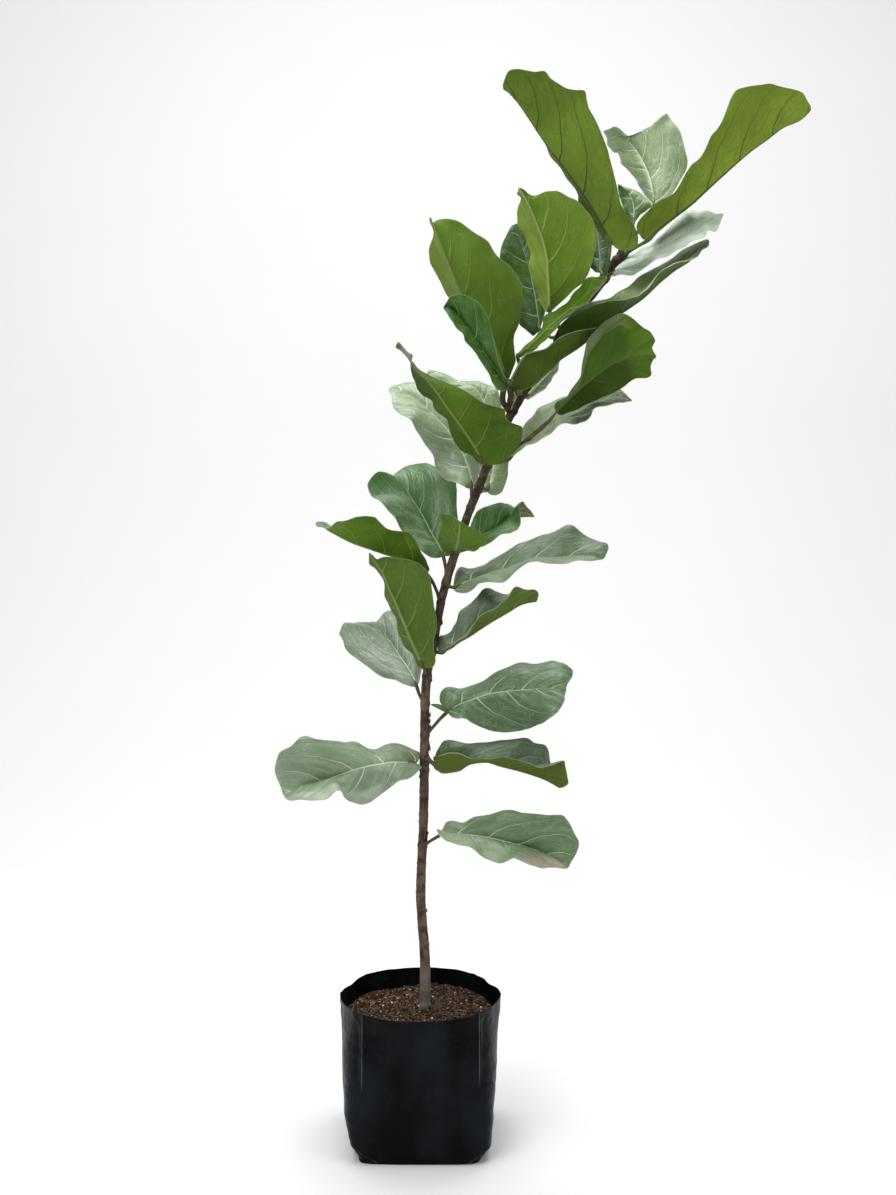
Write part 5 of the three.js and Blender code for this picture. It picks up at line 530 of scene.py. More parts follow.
            (232, -151.4, 1381.2), (238.4, -146.5, 1384.6), (245.3, -140.7, 1387.2), (252.4, -134.2, 1389.4), (259.6, -127, 1391.7),
            (267, -119.2, 1393.6), (274.2, -114.5, 1395), (281.3, -110.7, 1396.4), (288.5, -107.1, 1397.7), (295.5, -104.1, 1399.1),
            (301.4, -101.4, 1403.3), (307, -100.7, 1407.4),
        ],
    },
    'leaf_17': {
        'petiole': [
            (181.1, -32.9, 1306.5), (179.8, -27.3, 1295.2), (176.8, -20.5, 1288.9),
        ],
        'mid': [
            (176.8, -20.5, 1288.9), (179.8, -16.6, 1291), (182.7, -12.6, 1293.3), (185.6, -8.7, 1295.6), (188.4, -4.8, 1297.9),
            (191.2, -0.9, 1300.3), (194, 2.9, 1302.8), (196.8, 6.8, 1305.4), (199.5, 10.7, 1308), (202.2, 14.5, 1310.7), (204.9, 18.3, 1313.4),
            (207.6, 22.2, 1316.2), (210.1, 26, 1319.1), (212.6, 29.8, 1322.1), (215, 33.5, 1325.1), (217.3, 37.3, 1328.3), (219.6, 41, 1331.5),
            (221.8, 44.8, 1334.9), (223.9, 48.5, 1338.3), (226, 52.1, 1341.9), (227.8, 55.8, 1345.5), (229.6, 59.4, 1349.1), (231.2, 63.1, 1352.8),
            (232.8, 66.8, 1356.6), (234.3, 70.5, 1360.4), (235.6, 74, 1364.4), (236.8, 77.5, 1368.5), (237.8, 80.7, 1372.7), (238.8, 83.9, 1377),
            (239.7, 87, 1381.5), (240.5, 90, 1386), (241.2, 92.8, 1390.7), (241.7, 95.6, 1395.5),
        ],
        'left': [
            (176.8, -20.5, 1288.9), (172.8, -14.8, 1286.2), (168.8, -8.9, 1283.4), (164.6, -5.2, 1280.6), (160.5, -2.1, 1278.3),
            (156.9, 0.8, 1282.2), (153.2, 3.9, 1286), (152, 7.2, 1290.2), (155, 10.9, 1294.8), (157.9, 14.9, 1299.5), (161.5, 19.3, 1303.7),
            (166.1, 24.3, 1306.9), (170.8, 30, 1310.2), (175.5, 36.2, 1313.5), (179.5, 42.8, 1317.7), (183.3, 49.5, 1322.1), (187.2, 56, 1326.5),
            (190.6, 62.1, 1331.3), (193.5, 67.9, 1336.4), (196.3, 73.3, 1341.5), (199.1, 78.4, 1346.6), (202, 83.2, 1351.6), (204.9, 87.7, 1356.6),
            (207.9, 91.9, 1361.6), (210.8, 95.8, 1366.6), (213.8, 99.1, 1371.5), (216.9, 101.8, 1376.3), (220.6, 103.7, 1380.5),
            (224.3, 104.7, 1384.7), (227.9, 104.7, 1388.8), (232.5, 104, 1391.3), (237, 98.1, 1393.3), (241.7, 95.6, 1395.5),
        ],
        'right': [
            (176.8, -20.5, 1288.9), (181, -13, 1287.4), (185.2, -3, 1286.8), (189.1, 3.4, 1289.4), (193, 9.3, 1292), (196.9, 14.6, 1294.6),
            (200.6, 19.3, 1297.2), (204.4, 23.6, 1299.9), (208.1, 27.8, 1302.5), (211.8, 31.8, 1305.2), (215.6, 35.9, 1307.8), (218.8, 40.1, 1311.2),
            (221.9, 44.5, 1314.6), (225.2, 49.1, 1318), (228, 53.8, 1321.7), (230.4, 58.6, 1325.8), (232.8, 63.5, 1329.8), (235.1, 68.3, 1333.9),
            (237.5, 73.1, 1338), (239.5, 77.8, 1342.3), (240.8, 82.3, 1346.8), (242.2, 86.6, 1351.3), (243.5, 90.8, 1355.8), (244.8, 94.6, 1360.3),
            (246, 98.2, 1364.8), (247.2, 101.2, 1369.3), (248.3, 103.5, 1373.7), (249.4, 105, 1378), (249.6, 105.7, 1382.4), (249.5, 105.4, 1386.8),
            (249.4, 104.4, 1391), (245.4, 98.2, 1393.1), (241.7, 95.6, 1395.5),
        ],
    },
    'leaf_18': {
        'petiole': [
            (195.6, -34.7, 1328.2), (172.4, -37.6, 1336), (163.4, -51.2, 1354.8),
        ],
        'mid': [
            (163.4, -51.2, 1354.8), (166.2, -57.6, 1356.6), (169.2, -63.6, 1358.8), (172.4, -69, 1361.2), (175.8, -73.8, 1363.9),
            (179.5, -77.9, 1366.8), (183.5, -81.3, 1370.1), (187.8, -84.2, 1374), (192.4, -86.8, 1378.1), (197, -89.3, 1382.3),
            (201.3, -91.9, 1386.4), (205.6, -94.3, 1390.6), (209.9, -96.7, 1394.9), (214.2, -99, 1399.1), (218.6, -101.1, 1403.3),
            (223.3, -103.1, 1407.3), (228, -105, 1411.3), (232.8, -106.8, 1415.2), (237.6, -108.5, 1419.1), (242.4, -110.2, 1423.1),
            (247.2, -111.8, 1427.1), (252, -113.3, 1431.2), (256.8, -114.8, 1435.2), (261.6, -116.1, 1439.3), (266.5, -117.4, 1443.3),
            (271.3, -118.7, 1447.4), (276.2, -119.8, 1451.4), (281, -120.8, 1455.6), (285.9, -121.6, 1459.8), (290.7, -122.4, 1464),
            (295.5, -122.9, 1468.3), (300.6, -122.9, 1472.5), (305.7, -122.9, 1476.6),
        ],
        'left': [
            (163.4, -51.2, 1354.8), (168.7, -64.8, 1352.9), (173.1, -82.8, 1355.2), (177.7, -93, 1358.1), (183.1, -101.5, 1359.7),
            (188.6, -108.2, 1361.5), (193.9, -113.2, 1363.9), (198, -117.1, 1368), (202.3, -120.4, 1372.1), (206.5, -123.5, 1376.2),
            (209.9, -126.8, 1380.9), (213.2, -130.4, 1385.7), (216.5, -134.2, 1390.4), (220, -138.3, 1394.9), (223.6, -142.5, 1399.3),
            (227.1, -146.7, 1403.7), (231.4, -150.8, 1407.2), (236.3, -154.7, 1410.1), (241.2, -158.5, 1413), (245.6, -162.1, 1416.5),
            (250, -165.4, 1420.1), (254.5, -168.2, 1423.6), (259.2, -170.5, 1427), (263.9, -172.1, 1430.5), (268.7, -173.1, 1434),
            (272.8, -173.3, 1438.4), (276.9, -172.4, 1443.1), (281.2, -170, 1447.8), (286, -165.8, 1452.5), (291.1, -159.8, 1457.3),
            (295.9, -152.3, 1462.7), (301.2, -133.8, 1470.1), (305.7, -122.9, 1476.6),
        ],
        'right': [
            (163.4, -51.2, 1354.8), (164.6, -51.9, 1360.9), (169.7, -48.3, 1365.7), (174.6, -49.8, 1370.1), (179.3, -51.6, 1374.6),
            (184.1, -53.7, 1379), (188.8, -56, 1383.4), (193, -58.3, 1388.2), (196.7, -60.8, 1393.4), (200.4, -63.2, 1398.6), (203, -65.7, 1404.2),
            (204.8, -67.8, 1410.3), (206.6, -69.4, 1416.5), (211.3, -70.4, 1420.9), (216.5, -70.8, 1424.7), (222.8, -70.9, 1426.9),
            (228.5, -70.8, 1430.1), (233.5, -70.6, 1434.4), (238.5, -70.6, 1438.8), (242.9, -70.7, 1443.7), (247.1, -71, 1448.7),
            (251.3, -71.6, 1453.6), (256.2, -72.5, 1457.9), (261.2, -73.7, 1461.9), (265.9, -75.4, 1466.1), (269.5, -77.6, 1471.1),
            (273.2, -80.5, 1476), (277.7, -84.2, 1479.9), (283, -88.7, 1481.9), (289, -94.4, 1481.5), (295, -100.8, 1481), (300.1, -114.7, 1478.4),
            (305.7, -122.9, 1476.6),
        ],
    },
    'leaf_19': {
        'petiole': [
            (240.3, -42.1, 1393.3), (227.6, -52.9, 1412.1), (215.3, -63.2, 1425.7),
        ],
        'mid': [
            (215.3, -63.2, 1425.7), (215.1, -65.4, 1432), (214.9, -67.6, 1438.4), (214.8, -69.7, 1444.7), (214.6, -71.8, 1451),
            (214.2, -73.9, 1457.3), (213.7, -75.9, 1463.6), (213, -78, 1470), (212.3, -80, 1476.3), (211.8, -82, 1482.6), (211.4, -83.9, 1488.9),
            (210.9, -85.9, 1495.2), (210.3, -87.8, 1501.4), (209.6, -89.6, 1507.7), (208.5, -91.2, 1514), (207.2, -92.9, 1520.4),
            (205.7, -94.4, 1526.6), (204, -96, 1532.7), (202, -97.7, 1538.8), (199.6, -99.3, 1544.7), (197, -100.9, 1550.6), (194.5, -102.3, 1556.6),
            (192.1, -103.6, 1562.6), (189.6, -104.7, 1568.6), (187.1, -105.8, 1574.7), (184.5, -106.9, 1580.6), (181.7, -107.9, 1586.6),
            (178.8, -108.8, 1592.4), (175.8, -109.8, 1598.2), (172.5, -110.6, 1603.9), (169, -111.4, 1609.5), (165.3, -112.1, 1614.9),
            (161.3, -112.7, 1620.3),
        ],
        'left': [
            (215.3, -63.2, 1425.7), (223.6, -60.8, 1432.4), (231.5, -56.4, 1439.8), (239.1, -57.5, 1446.7), (246.4, -60.3, 1453.5),
            (253.4, -64.5, 1460.3), (260.9, -69.4, 1466.2), (268.6, -74.1, 1472), (273.6, -78, 1480.2), (278.1, -81.2, 1488.8),
            (281.1, -83.7, 1498.1), (283.9, -85.8, 1507.5), (286.1, -87.8, 1517.1), (288.4, -89.6, 1526.7), (289.5, -91.2, 1536.5),
            (290.4, -92.9, 1546.3), (288.4, -94.4, 1556), (285.7, -95.9, 1565.5), (281.3, -97.3, 1574.4), (275.2, -98.1, 1582.4),
            (268.6, -97.9, 1590.1), (261.9, -96.1, 1597.9), (253.8, -92.8, 1604.1), (244.5, -88.3, 1608.4), (236.5, -83.6, 1615.1),
            (227.8, -79.8, 1620.7), (217.9, -77.5, 1620.9), (207.7, -77.2, 1619.7), (198.3, -79.2, 1615.1), (188.5, -83.3, 1611.6),
            (179.2, -89.2, 1613.9), (171.1, -103.7, 1618), (161.3, -112.7, 1620.3),
        ],
        'right': [
            (215.3, -63.2, 1425.7), (209.5, -56, 1429.5), (206.7, -42.6, 1436.8), (203.4, -38.6, 1443.3), (200.8, -36, 1450), (198.1, -35, 1456.6),
            (195.4, -35.3, 1463), (193.5, -36.6, 1469.6), (191.7, -38.3, 1476.1), (189.9, -40.1, 1482.6), (188.8, -41.7, 1489.3),
            (187.7, -42.6, 1496), (186.7, -42.9, 1502.8), (185.7, -42.4, 1509.7), (184.7, -41.4, 1516.7), (183.8, -40, 1523.8),
            (182.4, -38.4, 1530.7), (180.2, -36.9, 1537.5), (178, -35.6, 1544.3), (175.7, -34.4, 1551), (173.1, -33.6, 1557.5), (170.4, -33.1, 1564),
            (168.2, -32.9, 1570.6), (165.9, -33.3, 1577.1), (164.2, -34.4, 1583.6), (162.8, -36.3, 1590.1), (163.1, -39.5, 1596.3),
            (164.2, -44.5, 1602.3), (165.8, -51.6, 1607.6), (165.7, -61.1, 1612.1), (161.2, -72.3, 1615.7), (162.7, -97.5, 1616.8),
            (161.3, -112.7, 1620.3),
        ],
    },
    'leaf_20': {
        'petiole': [
            (237, -41.6, 1388.5), (219.1, -34.1, 1389.2), (202.8, -27.3, 1399.7),
        ],
        'mid': [
            (202.8, -27.3, 1399.7), (202, -24.6, 1405.3), (201.3, -22, 1410.9), (200.6, -19.5, 1416.5), (199.9, -17.1, 1422.2), (199.3, -14.8, 1428),
            (198.7, -12.6, 1433.8), (198.2, -10.5, 1439.6), (197.5, -8.4, 1445.5), (196.8, -6.3, 1451.3), (196, -4.2, 1457.1), (195.2, -2.2, 1463),
            (194.2, -0.2, 1468.8), (193.2, 1.8, 1474.7), (192.2, 3.8, 1480.5), (191.1, 5.9, 1486.3), (189.9, 8, 1492.1), (188.7, 10.1, 1497.9),
            (187.4, 12.1, 1503.7), (185.9, 13.8, 1509.5), (184.4, 15.4, 1515.3), (182.7, 16.9, 1521.1), (180.9, 18.3, 1526.9), (179.1, 19.6, 1532.8),
            (177.2, 20.9, 1538.6), (175.4, 22.2, 1544.4), (173.6, 23.3, 1550.2), (171.7, 24.5, 1556), (169.7, 25.5, 1561.8), (167.7, 26.5, 1567.5),
            (165.6, 27.4, 1573.3), (163.4, 28.2, 1579), (161.1, 29, 1584.7),
        ],
        'left': [
            (202.8, -27.3, 1399.7), (197.1, -26.4, 1395.8), (191.5, -26.5, 1391.7), (186.1, -24.9, 1395.8), (180.8, -22.9, 1400.5),
            (175.6, -20.5, 1405.2), (170.4, -17.7, 1410), (167.3, -14.8, 1416.4), (164.4, -11.7, 1423), (161.6, -8.8, 1429.6), (159, -6.2, 1436.3),
            (156.7, -4.2, 1443.1), (154.4, -2.8, 1449.9), (152.1, -2, 1456.5), (149.8, -1.4, 1463.2), (148.1, -0.9, 1470), (146.4, -0.4, 1476.8),
            (144.7, 0.2, 1483.7), (143, 0.9, 1490.5), (141.3, 1.5, 1497.3), (139.8, 2, 1504.2), (138.3, 2.7, 1511.1), (136.7, 3.4, 1518),
            (135.2, 4.1, 1524.9), (136.2, 5, 1531.8), (137.8, 6.1, 1538.7), (140, 7.4, 1545.5), (142.5, 9.2, 1552.3), (145.4, 11.5, 1559),
            (148.7, 14.4, 1565.7), (152, 17.8, 1572.4), (155.4, 24.7, 1579.8), (161.1, 29, 1584.7),
        ],
        'right': [
            (202.8, -27.3, 1399.7), (204.4, -22, 1406.7), (206.5, -15.2, 1413.7), (208.8, -11, 1420.4), (210.9, -7.4, 1427.1), (213.1, -4.3, 1433.7),
            (214.9, -1.8, 1440.4), (216.3, 0.4, 1447.1), (217.7, 2.4, 1453.9), (219.1, 4.3, 1460.6), (220.5, 6.3, 1467.3), (221.3, 8.3, 1474.1),
            (221.1, 10.5, 1481), (220.9, 12.9, 1488), (220.7, 15.5, 1494.9), (220.5, 18.3, 1501.9), (220, 21.1, 1508.9), (218.8, 23.9, 1515.8),
            (217.6, 26.6, 1522.7), (216.4, 29.1, 1529.6), (215.2, 31.3, 1536.5), (213.6, 33.4, 1543.2), (210.8, 35.1, 1549.5), (208, 36.7, 1555.8),
            (205.2, 38.1, 1562.1), (202.2, 39.1, 1568.2), (197.2, 39.8, 1572.7), (192.1, 40, 1577.2), (187, 39.6, 1581.6), (181.1, 38.5, 1584.7),
            (174.7, 36.9, 1587), (167.9, 31.8, 1586.1), (161.1, 29, 1584.7),
        ],
    },
    'leaf_21': {
        'petiole': [
            (156.6, -29.7, 1265), (141.6, -41, 1279.6), (140.4, -49.5, 1295.7), (148.4, -56.3, 1315.1),
        ],
        'mid': [
            (148.4, -56.3, 1315.1), (144.9, -59, 1323.6), (141.4, -61.6, 1332.1), (138, -64.1, 1340.6), (134.6, -66.7, 1349.1),
            (131.4, -69.2, 1357.6), (128.3, -71.8, 1366.2), (125.1, -74.3, 1374.8), (121.5, -76.6, 1383.1), (117.3, -78.8, 1391.1),
            (112.5, -80.9, 1399), (107.4, -82.9, 1406.7), (102.1, -85, 1414.2), (96.4, -87.3, 1421.3), (90.3, -89.6, 1428), (84.2, -92.1, 1434.8),
            (78.7, -94.5, 1441.8), (73.6, -97, 1449.2), (68.9, -99.6, 1456.7), (64.5, -101.9, 1464.5), (60.7, -104, 1472.5), (57.2, -105.9, 1480.8),
            (53.9, -107.7, 1489.2), (50.5, -109.3, 1497.6), (47.1, -110.8, 1505.9), (43.6, -112.2, 1514.3), (40.1, -113.5, 1522.7),
            (36.6, -114.8, 1531), (33.1, -116.2, 1539.4), (29.7, -117.4, 1547.7), (26.4, -118.3, 1556.2), (23.2, -119, 1564.7),
            (20.2, -119.5, 1573.4),
        ],
        'left': [
            (148.4, -56.3, 1315.1), (153.2, -53.3, 1325.8), (157.7, -46.7, 1337.1), (161, -46, 1348.1), (158.6, -46.6, 1359.5),
            (157.6, -48.9, 1370.8), (157.9, -53.1, 1381.9), (160, -58.6, 1392.7), (164.4, -65, 1402.6), (167.5, -71.2, 1412.9),
            (169.6, -76.5, 1423.5), (170.1, -80.8, 1434.5), (170.5, -84.2, 1445.4), (169.7, -87, 1456.4), (168.8, -89.6, 1467.4),
            (164.7, -92, 1477.4), (158.6, -94.3, 1486.8), (151.5, -96.4, 1495.4), (142.8, -97.9, 1502.5), (133.7, -98.3, 1509.3),
            (126.2, -97.2, 1517.9), (120.4, -94.6, 1527.8), (114.1, -91, 1537.4), (104.8, -87.1, 1544.4), (94.9, -83.6, 1550.4),
            (85.4, -81.2, 1557.1), (76.1, -80.4, 1563.9), (66.7, -81.4, 1570), (56, -84.4, 1573.6), (44.8, -89.3, 1574.7), (33.8, -95.4, 1571.9),
            (23.6, -110.3, 1564.8), (20.2, -119.5, 1573.4),
        ],
        'right': [
            (148.4, -56.3, 1315.1), (139.2, -49.9, 1316.7), (132.9, -37.5, 1324.9), (126.2, -34, 1332.6), (120.3, -32, 1340.8), (114.5, -31.7, 1349),
            (108.6, -32.7, 1357), (102.9, -34.6, 1365.2), (97.3, -36.9, 1373.3), (91.7, -38.9, 1381.5), (86.2, -40.4, 1389.7), (80.8, -41.2, 1398),
            (75.5, -41.3, 1406.4), (70.5, -40.8, 1415.1), (65.5, -40, 1423.8), (60.6, -38.9, 1432.6), (55.8, -38, 1441.3), (50.9, -37.2, 1450.1),
            (45.4, -36.8, 1458.4), (40.3, -36.5, 1467), (35.8, -36.2, 1475.9), (32.3, -36.3, 1485.1), (29.9, -36.9, 1494.6), (26.5, -37.9, 1503.4),
            (21.6, -39.6, 1511.5), (18.9, -42.1, 1520.6), (17.7, -45.8, 1529.8), (20, -51.1, 1538.6), (22.9, -58.6, 1546.8), (23.2, -68.4, 1554.7),
            (20.9, -79.6, 1562.4), (19, -104.6, 1567.7), (20.2, -119.5, 1573.4),
        ],
    },
    'leaf_22': {
        'petiole': [
            (159.4, -30.1, 1270.2), (152.3, -44.4, 1281.1), (153.2, -61.5, 1293.4), (149.2, -78.5, 1303.9),
        ],
        'mid': [
            (149.2, -78.5, 1303.9), (145.9, -81.7, 1307.7), (142.7, -84.8, 1311.4), (139.4, -87.7, 1315.3), (136.2, -90.6, 1319.2),
            (133, -93.3, 1323.2), (129.8, -95.8, 1327.2), (126.7, -98.3, 1331.4), (123.6, -100.6, 1335.6), (120.5, -102.9, 1339.9),
            (117.4, -105.1, 1344.2), (114.3, -107.3, 1348.4), (111.1, -109.5, 1352.7), (108, -111.6, 1356.9), (104.9, -113.7, 1361.2),
            (101.7, -115.7, 1365.4), (98.6, -117.7, 1369.7), (95.5, -119.7, 1374), (92.4, -121.6, 1378.3), (89.3, -123.4, 1382.7),
            (86.1, -125.2, 1387), (83, -126.9, 1391.3), (79.8, -128.7, 1395.6), (76.6, -130.5, 1399.8), (73.4, -132.3, 1404.1),
            (70.2, -134.1, 1408.4), (66.9, -135.9, 1412.5), (63.3, -137.6, 1416.4), (59.5, -139.3, 1420.2), (55.2, -140.9, 1424.4),
            (50.7, -142.4, 1427.6), (46.1, -143.8, 1428.1), (41, -145.1, 1425),
        ],
        'left': [
            (149.2, -78.5, 1303.9), (144.5, -84.5, 1299.9), (139.8, -92.2, 1295.8), (134.4, -97.2, 1296.6), (128.9, -101.8, 1298.5),
            (125.9, -106.1, 1303.2), (122.9, -110.1, 1307.9), (119.9, -113.7, 1312.6), (116.9, -117, 1317.4), (114, -120.1, 1322.1),
            (111.1, -123.2, 1326.8), (108.1, -126.4, 1331.5), (104.8, -129.9, 1336), (101.6, -133.5, 1340.4), (99.4, -137.1, 1345.3),
            (97.8, -140.8, 1350.5), (95, -144.3, 1354.8), (90.6, -147.7, 1358.1), (86.1, -150.8, 1361.4), (81.9, -153.8, 1364.9),
            (77.9, -156.5, 1368.6), (74.2, -159.2, 1372.5), (72.6, -161.6, 1377.6), (70.9, -163.7, 1382.7), (67.7, -165.5, 1387.1),
            (64.4, -166.7, 1391.5), (61.1, -167.2, 1396), (57.6, -166.8, 1400.4), (54.1, -165.3, 1404.8), (50.8, -162.8, 1409.6),
            (47.7, -159.4, 1414.5), (44.4, -150.1, 1420), (41, -145.1, 1425),
        ],
        'right': [
            (149.2, -78.5, 1303.9), (153.2, -85.3, 1309.5), (156.1, -94.8, 1314.5), (148.8, -100.8, 1315.9), (142.4, -106.2, 1318.4),
            (139, -110.7, 1324.6), (135.6, -114.2, 1330.8), (132.5, -116.8, 1337.1), (130.3, -118.7, 1343.9), (128.1, -119.9, 1350.6),
            (126.2, -120.7, 1357.4), (124.9, -121.1, 1364.5), (123.7, -121.3, 1371.5), (122.3, -121.1, 1378.5), (120.7, -120.9, 1385.5),
            (119.1, -120.7, 1392.5), (117.1, -120.8, 1399.3), (115, -121.4, 1406.1), (112.8, -122.4, 1412.8), (109.8, -124, 1419.1),
            (106.8, -126.1, 1425.4), (102.8, -128.9, 1431), (97.8, -132.4, 1435.6), (91.5, -136.6, 1438.6), (85.2, -141.3, 1441.6),
            (78.9, -146, 1444.5), (72.3, -150.2, 1446.4), (65.3, -153.5, 1447.3), (58.9, -155.7, 1444.9), (52.7, -156.4, 1441.4),
            (48.3, -155.7, 1435.9), (44.5, -149.1, 1430.8), (41, -145.1, 1425),
        ],
    },
    'leaf_23': {
        'petiole': [
            (305.8, -54.3, 1480.8), (307.2, -76.8, 1490.5), (310.8, -80.3, 1509.3), (316.5, -78.5, 1532.1),
        ],
        'mid': [
            (316.5, -78.5, 1532.1), (312, -81.2, 1540.4), (307.4, -83.9, 1548.6), (302.7, -86.5, 1556.7), (297.9, -89.2, 1564.7),
            (292.9, -91.8, 1572.6), (287.8, -94.5, 1580.4), (282.5, -97.1, 1588), (277, -99.7, 1595.6), (271.5, -102.3, 1603.1),
            (265.8, -104.8, 1610.4), (259.9, -107.4, 1617.7), (254.1, -109.8, 1624.9), (248.2, -112.2, 1632.1), (242.3, -114.5, 1639.3),
            (236.3, -116.7, 1646.5), (230.3, -118.7, 1653.7), (224.4, -120.6, 1660.9), (218.3, -122.4, 1668.1), (212.3, -124.1, 1675.3),
            (206.3, -125.6, 1682.6), (200.7, -127, 1690.1), (195.2, -128.2, 1697.8), (189.9, -129.4, 1705.6), (184.5, -130.5, 1713.4),
            (179.1, -131.5, 1721.1), (173.6, -132.4, 1728.8), (168.2, -133.3, 1736.6), (162.5, -134.1, 1744.2), (156.5, -134.9, 1751.4),
            (149.9, -135.9, 1758.3), (142.7, -136.6, 1764.5), (134.3, -136.6, 1769.4),
        ],
        'left': [
            (316.5, -78.5, 1532.1), (329.8, -81.2, 1525), (344.4, -83.9, 1524.3), (355.9, -86.7, 1530.7), (357.5, -89.7, 1544),
            (353.1, -92.9, 1557.7), (345.3, -96.3, 1570.2), (336.2, -99.8, 1581.8), (328.3, -102.9, 1594.1), (324.1, -105.3, 1607.8),
            (320.8, -107.3, 1622), (316.9, -109, 1635.9), (313, -110.7, 1649.8), (309, -112.6, 1663.7), (305, -114.6, 1677.5),
            (299.2, -116.7, 1690.7), (292.9, -118.7, 1703.6), (286.7, -120.7, 1716.5), (280.1, -122.8, 1729.2), (272.8, -125.2, 1741.3),
            (269, -128.3, 1754.4), (265.3, -132.6, 1766.3), (250.5, -138, 1766.3), (235.5, -144.3, 1767.4), (222.4, -150.6, 1773),
            (209.8, -156, 1779.7), (200.5, -159.8, 1789.7), (185.9, -161.9, 1788.2), (171.5, -161.9, 1790.5), (157.3, -160, 1793.2),
            (144.5, -156.5, 1790.8), (138.2, -144.5, 1781.3), (134.3, -136.6, 1769.4),
        ],
        'right': [
            (316.5, -78.5, 1532.1), (307.3, -71, 1533.4), (304.2, -56.4, 1544.5), (300, -51.7, 1554.2), (295.7, -48.5, 1563.6),
            (290.8, -46.9, 1572.6), (285.8, -46.9, 1581.4), (280.7, -47.8, 1589.9), (275.1, -49.4, 1598.1), (269.4, -51.2, 1606.2),
            (263.7, -52.9, 1614.3), (258, -54.1, 1622.4), (252.2, -54.7, 1630.5), (246.6, -54.7, 1638.8), (241.3, -54.3, 1647.4),
            (236.4, -53.5, 1656.2), (231.4, -52.5, 1665), (226.1, -51.3, 1673.7), (220.5, -50.2, 1682.2), (215.1, -49.1, 1690.8),
            (210.1, -48.3, 1699.6), (205.2, -47.8, 1708.3), (200.3, -47.9, 1717), (195.7, -48.6, 1725.7), (191, -50.1, 1734.2),
            (185.9, -52.7, 1742.3), (180.2, -56.7, 1749.7), (174.5, -62.6, 1756.6), (167.7, -70.6, 1762.3), (160.5, -81.1, 1767),
            (152.8, -93.7, 1770.7), (144.2, -120.9, 1770.3), (134.3, -136.6, 1769.4),
        ],
    },
    'leaf_24': {
        'petiole': [
            (333, -58.7, 1516.2), (351.6, -71.7, 1528.3), (369.3, -85.4, 1537.5),
        ],
        'mid': [
            (369.3, -85.4, 1537.5), (376.8, -88, 1544.4), (384.3, -90.9, 1551.1), (391.9, -93.9, 1557.5), (399.6, -97.2, 1563.6),
            (407.3, -100.5, 1569.5), (415.1, -103.8, 1575.4), (423, -107.1, 1581.1), (430.9, -110.3, 1586.8), (438.7, -113.1, 1592.9),
            (446.3, -115.4, 1599.3), (453.9, -117.5, 1606.1), (461.4, -119.5, 1613), (468.9, -121.6, 1619.7), (476.4, -123.7, 1626.4),
            (483.8, -125.9, 1633), (491.3, -128.1, 1639.6), (498.9, -130.1, 1646.2), (506.5, -131.9, 1652.8), (514.2, -133.7, 1659.3),
            (522, -135.4, 1665.7), (529.9, -137, 1671.9), (538.1, -138.7, 1677.8), (546.5, -140.3, 1683.5), (554.8, -141.7, 1689.3),
            (562.9, -143, 1695.6), (571, -144.2, 1701.9), (579.6, -145.2, 1707.4), (589.3, -145.9, 1711.5), (599.3, -146.5, 1715.2),
            (607.8, -147.2, 1720.4), (615.3, -147.9, 1727.4), (622, -148.6, 1735.7),
        ],
        'left': [
            (369.3, -85.4, 1537.5), (377.3, -77.4, 1547.3), (387.2, -62.4, 1557.4), (395.7, -58.2, 1566), (403.9, -55.7, 1574.2), (412, -55, 1582.2),
            (419.8, -55.8, 1590), (427.9, -57.7, 1597), (436, -60, 1603.9), (444, -62.2, 1610.9), (451.7, -63.7, 1618.3), (459.5, -64.7, 1626),
            (467.3, -65, 1633.8), (475, -64.9, 1641.7), (482.7, -64.6, 1649.8), (490.4, -64, 1658), (498.1, -63.2, 1666.2), (505.9, -62.3, 1674.4),
            (513.6, -61.4, 1682.6), (521.4, -60.7, 1690.8), (529, -60.3, 1699), (536.5, -60.4, 1707), (544, -61.1, 1714.9), (552.1, -62.4, 1721.8),
            (560.3, -64.4, 1728.3), (568.3, -67.4, 1734.5), (577.2, -71.6, 1738.8), (585.9, -77.5, 1742.3), (594.2, -85.4, 1745.1),
            (602.3, -95.4, 1746.6), (610, -107.3, 1747.6), (614.8, -133.1, 1741.1), (622, -148.6, 1735.7),
        ],
        'right': [
            (369.3, -85.4, 1537.5), (359.8, -93.1, 1547.3), (352.8, -104.9, 1558.3), (356.5, -112.2, 1569.5), (364.5, -119.4, 1578.5),
            (374.6, -125.9, 1585.8), (385.3, -131.5, 1592.6), (396.9, -136.1, 1597.9), (407.4, -139.5, 1604.6), (414.9, -141.5, 1615.4),
            (421.2, -142.6, 1627.2), (427.3, -143.3, 1639.1), (434.4, -144.2, 1650.3), (444.7, -145.6, 1658.7), (452.7, -147.1, 1669),
            (458.8, -148.2, 1680.6), (464.4, -148.7, 1692.7), (473.3, -148.1, 1703.1), (480.6, -146.6, 1714.8), (486.2, -144.6, 1727.6),
            (491.1, -142.8, 1740.7), (495.9, -142.2, 1753.4), (503.5, -143.4, 1764.1), (515.5, -146.7, 1767.7), (527.8, -151.9, 1769.2),
            (540.1, -158.1, 1769.3), (552.1, -164.2, 1769.4), (564.4, -168.8, 1764.7), (577.2, -170.8, 1760.8), (590.7, -170, 1758),
            (603.5, -166.9, 1754.1), (612.8, -155.5, 1745.2), (622, -148.6, 1735.7),
        ],
    },
    'leaf_25': {
        'petiole': [
            (328.4, -57.9, 1511.2), (352.6, -34.1, 1546.8), (377, -22.2, 1579.7), (392.9, -13.7, 1609),
        ],
        'mid': [
            (392.9, -13.7, 1609), (392.7, -10.3, 1614.9), (392.4, -6.8, 1620.7), (392.2, -3.2, 1626.4), (391.8, 0.4, 1632.2), (391.4, 4.2, 1637.8),
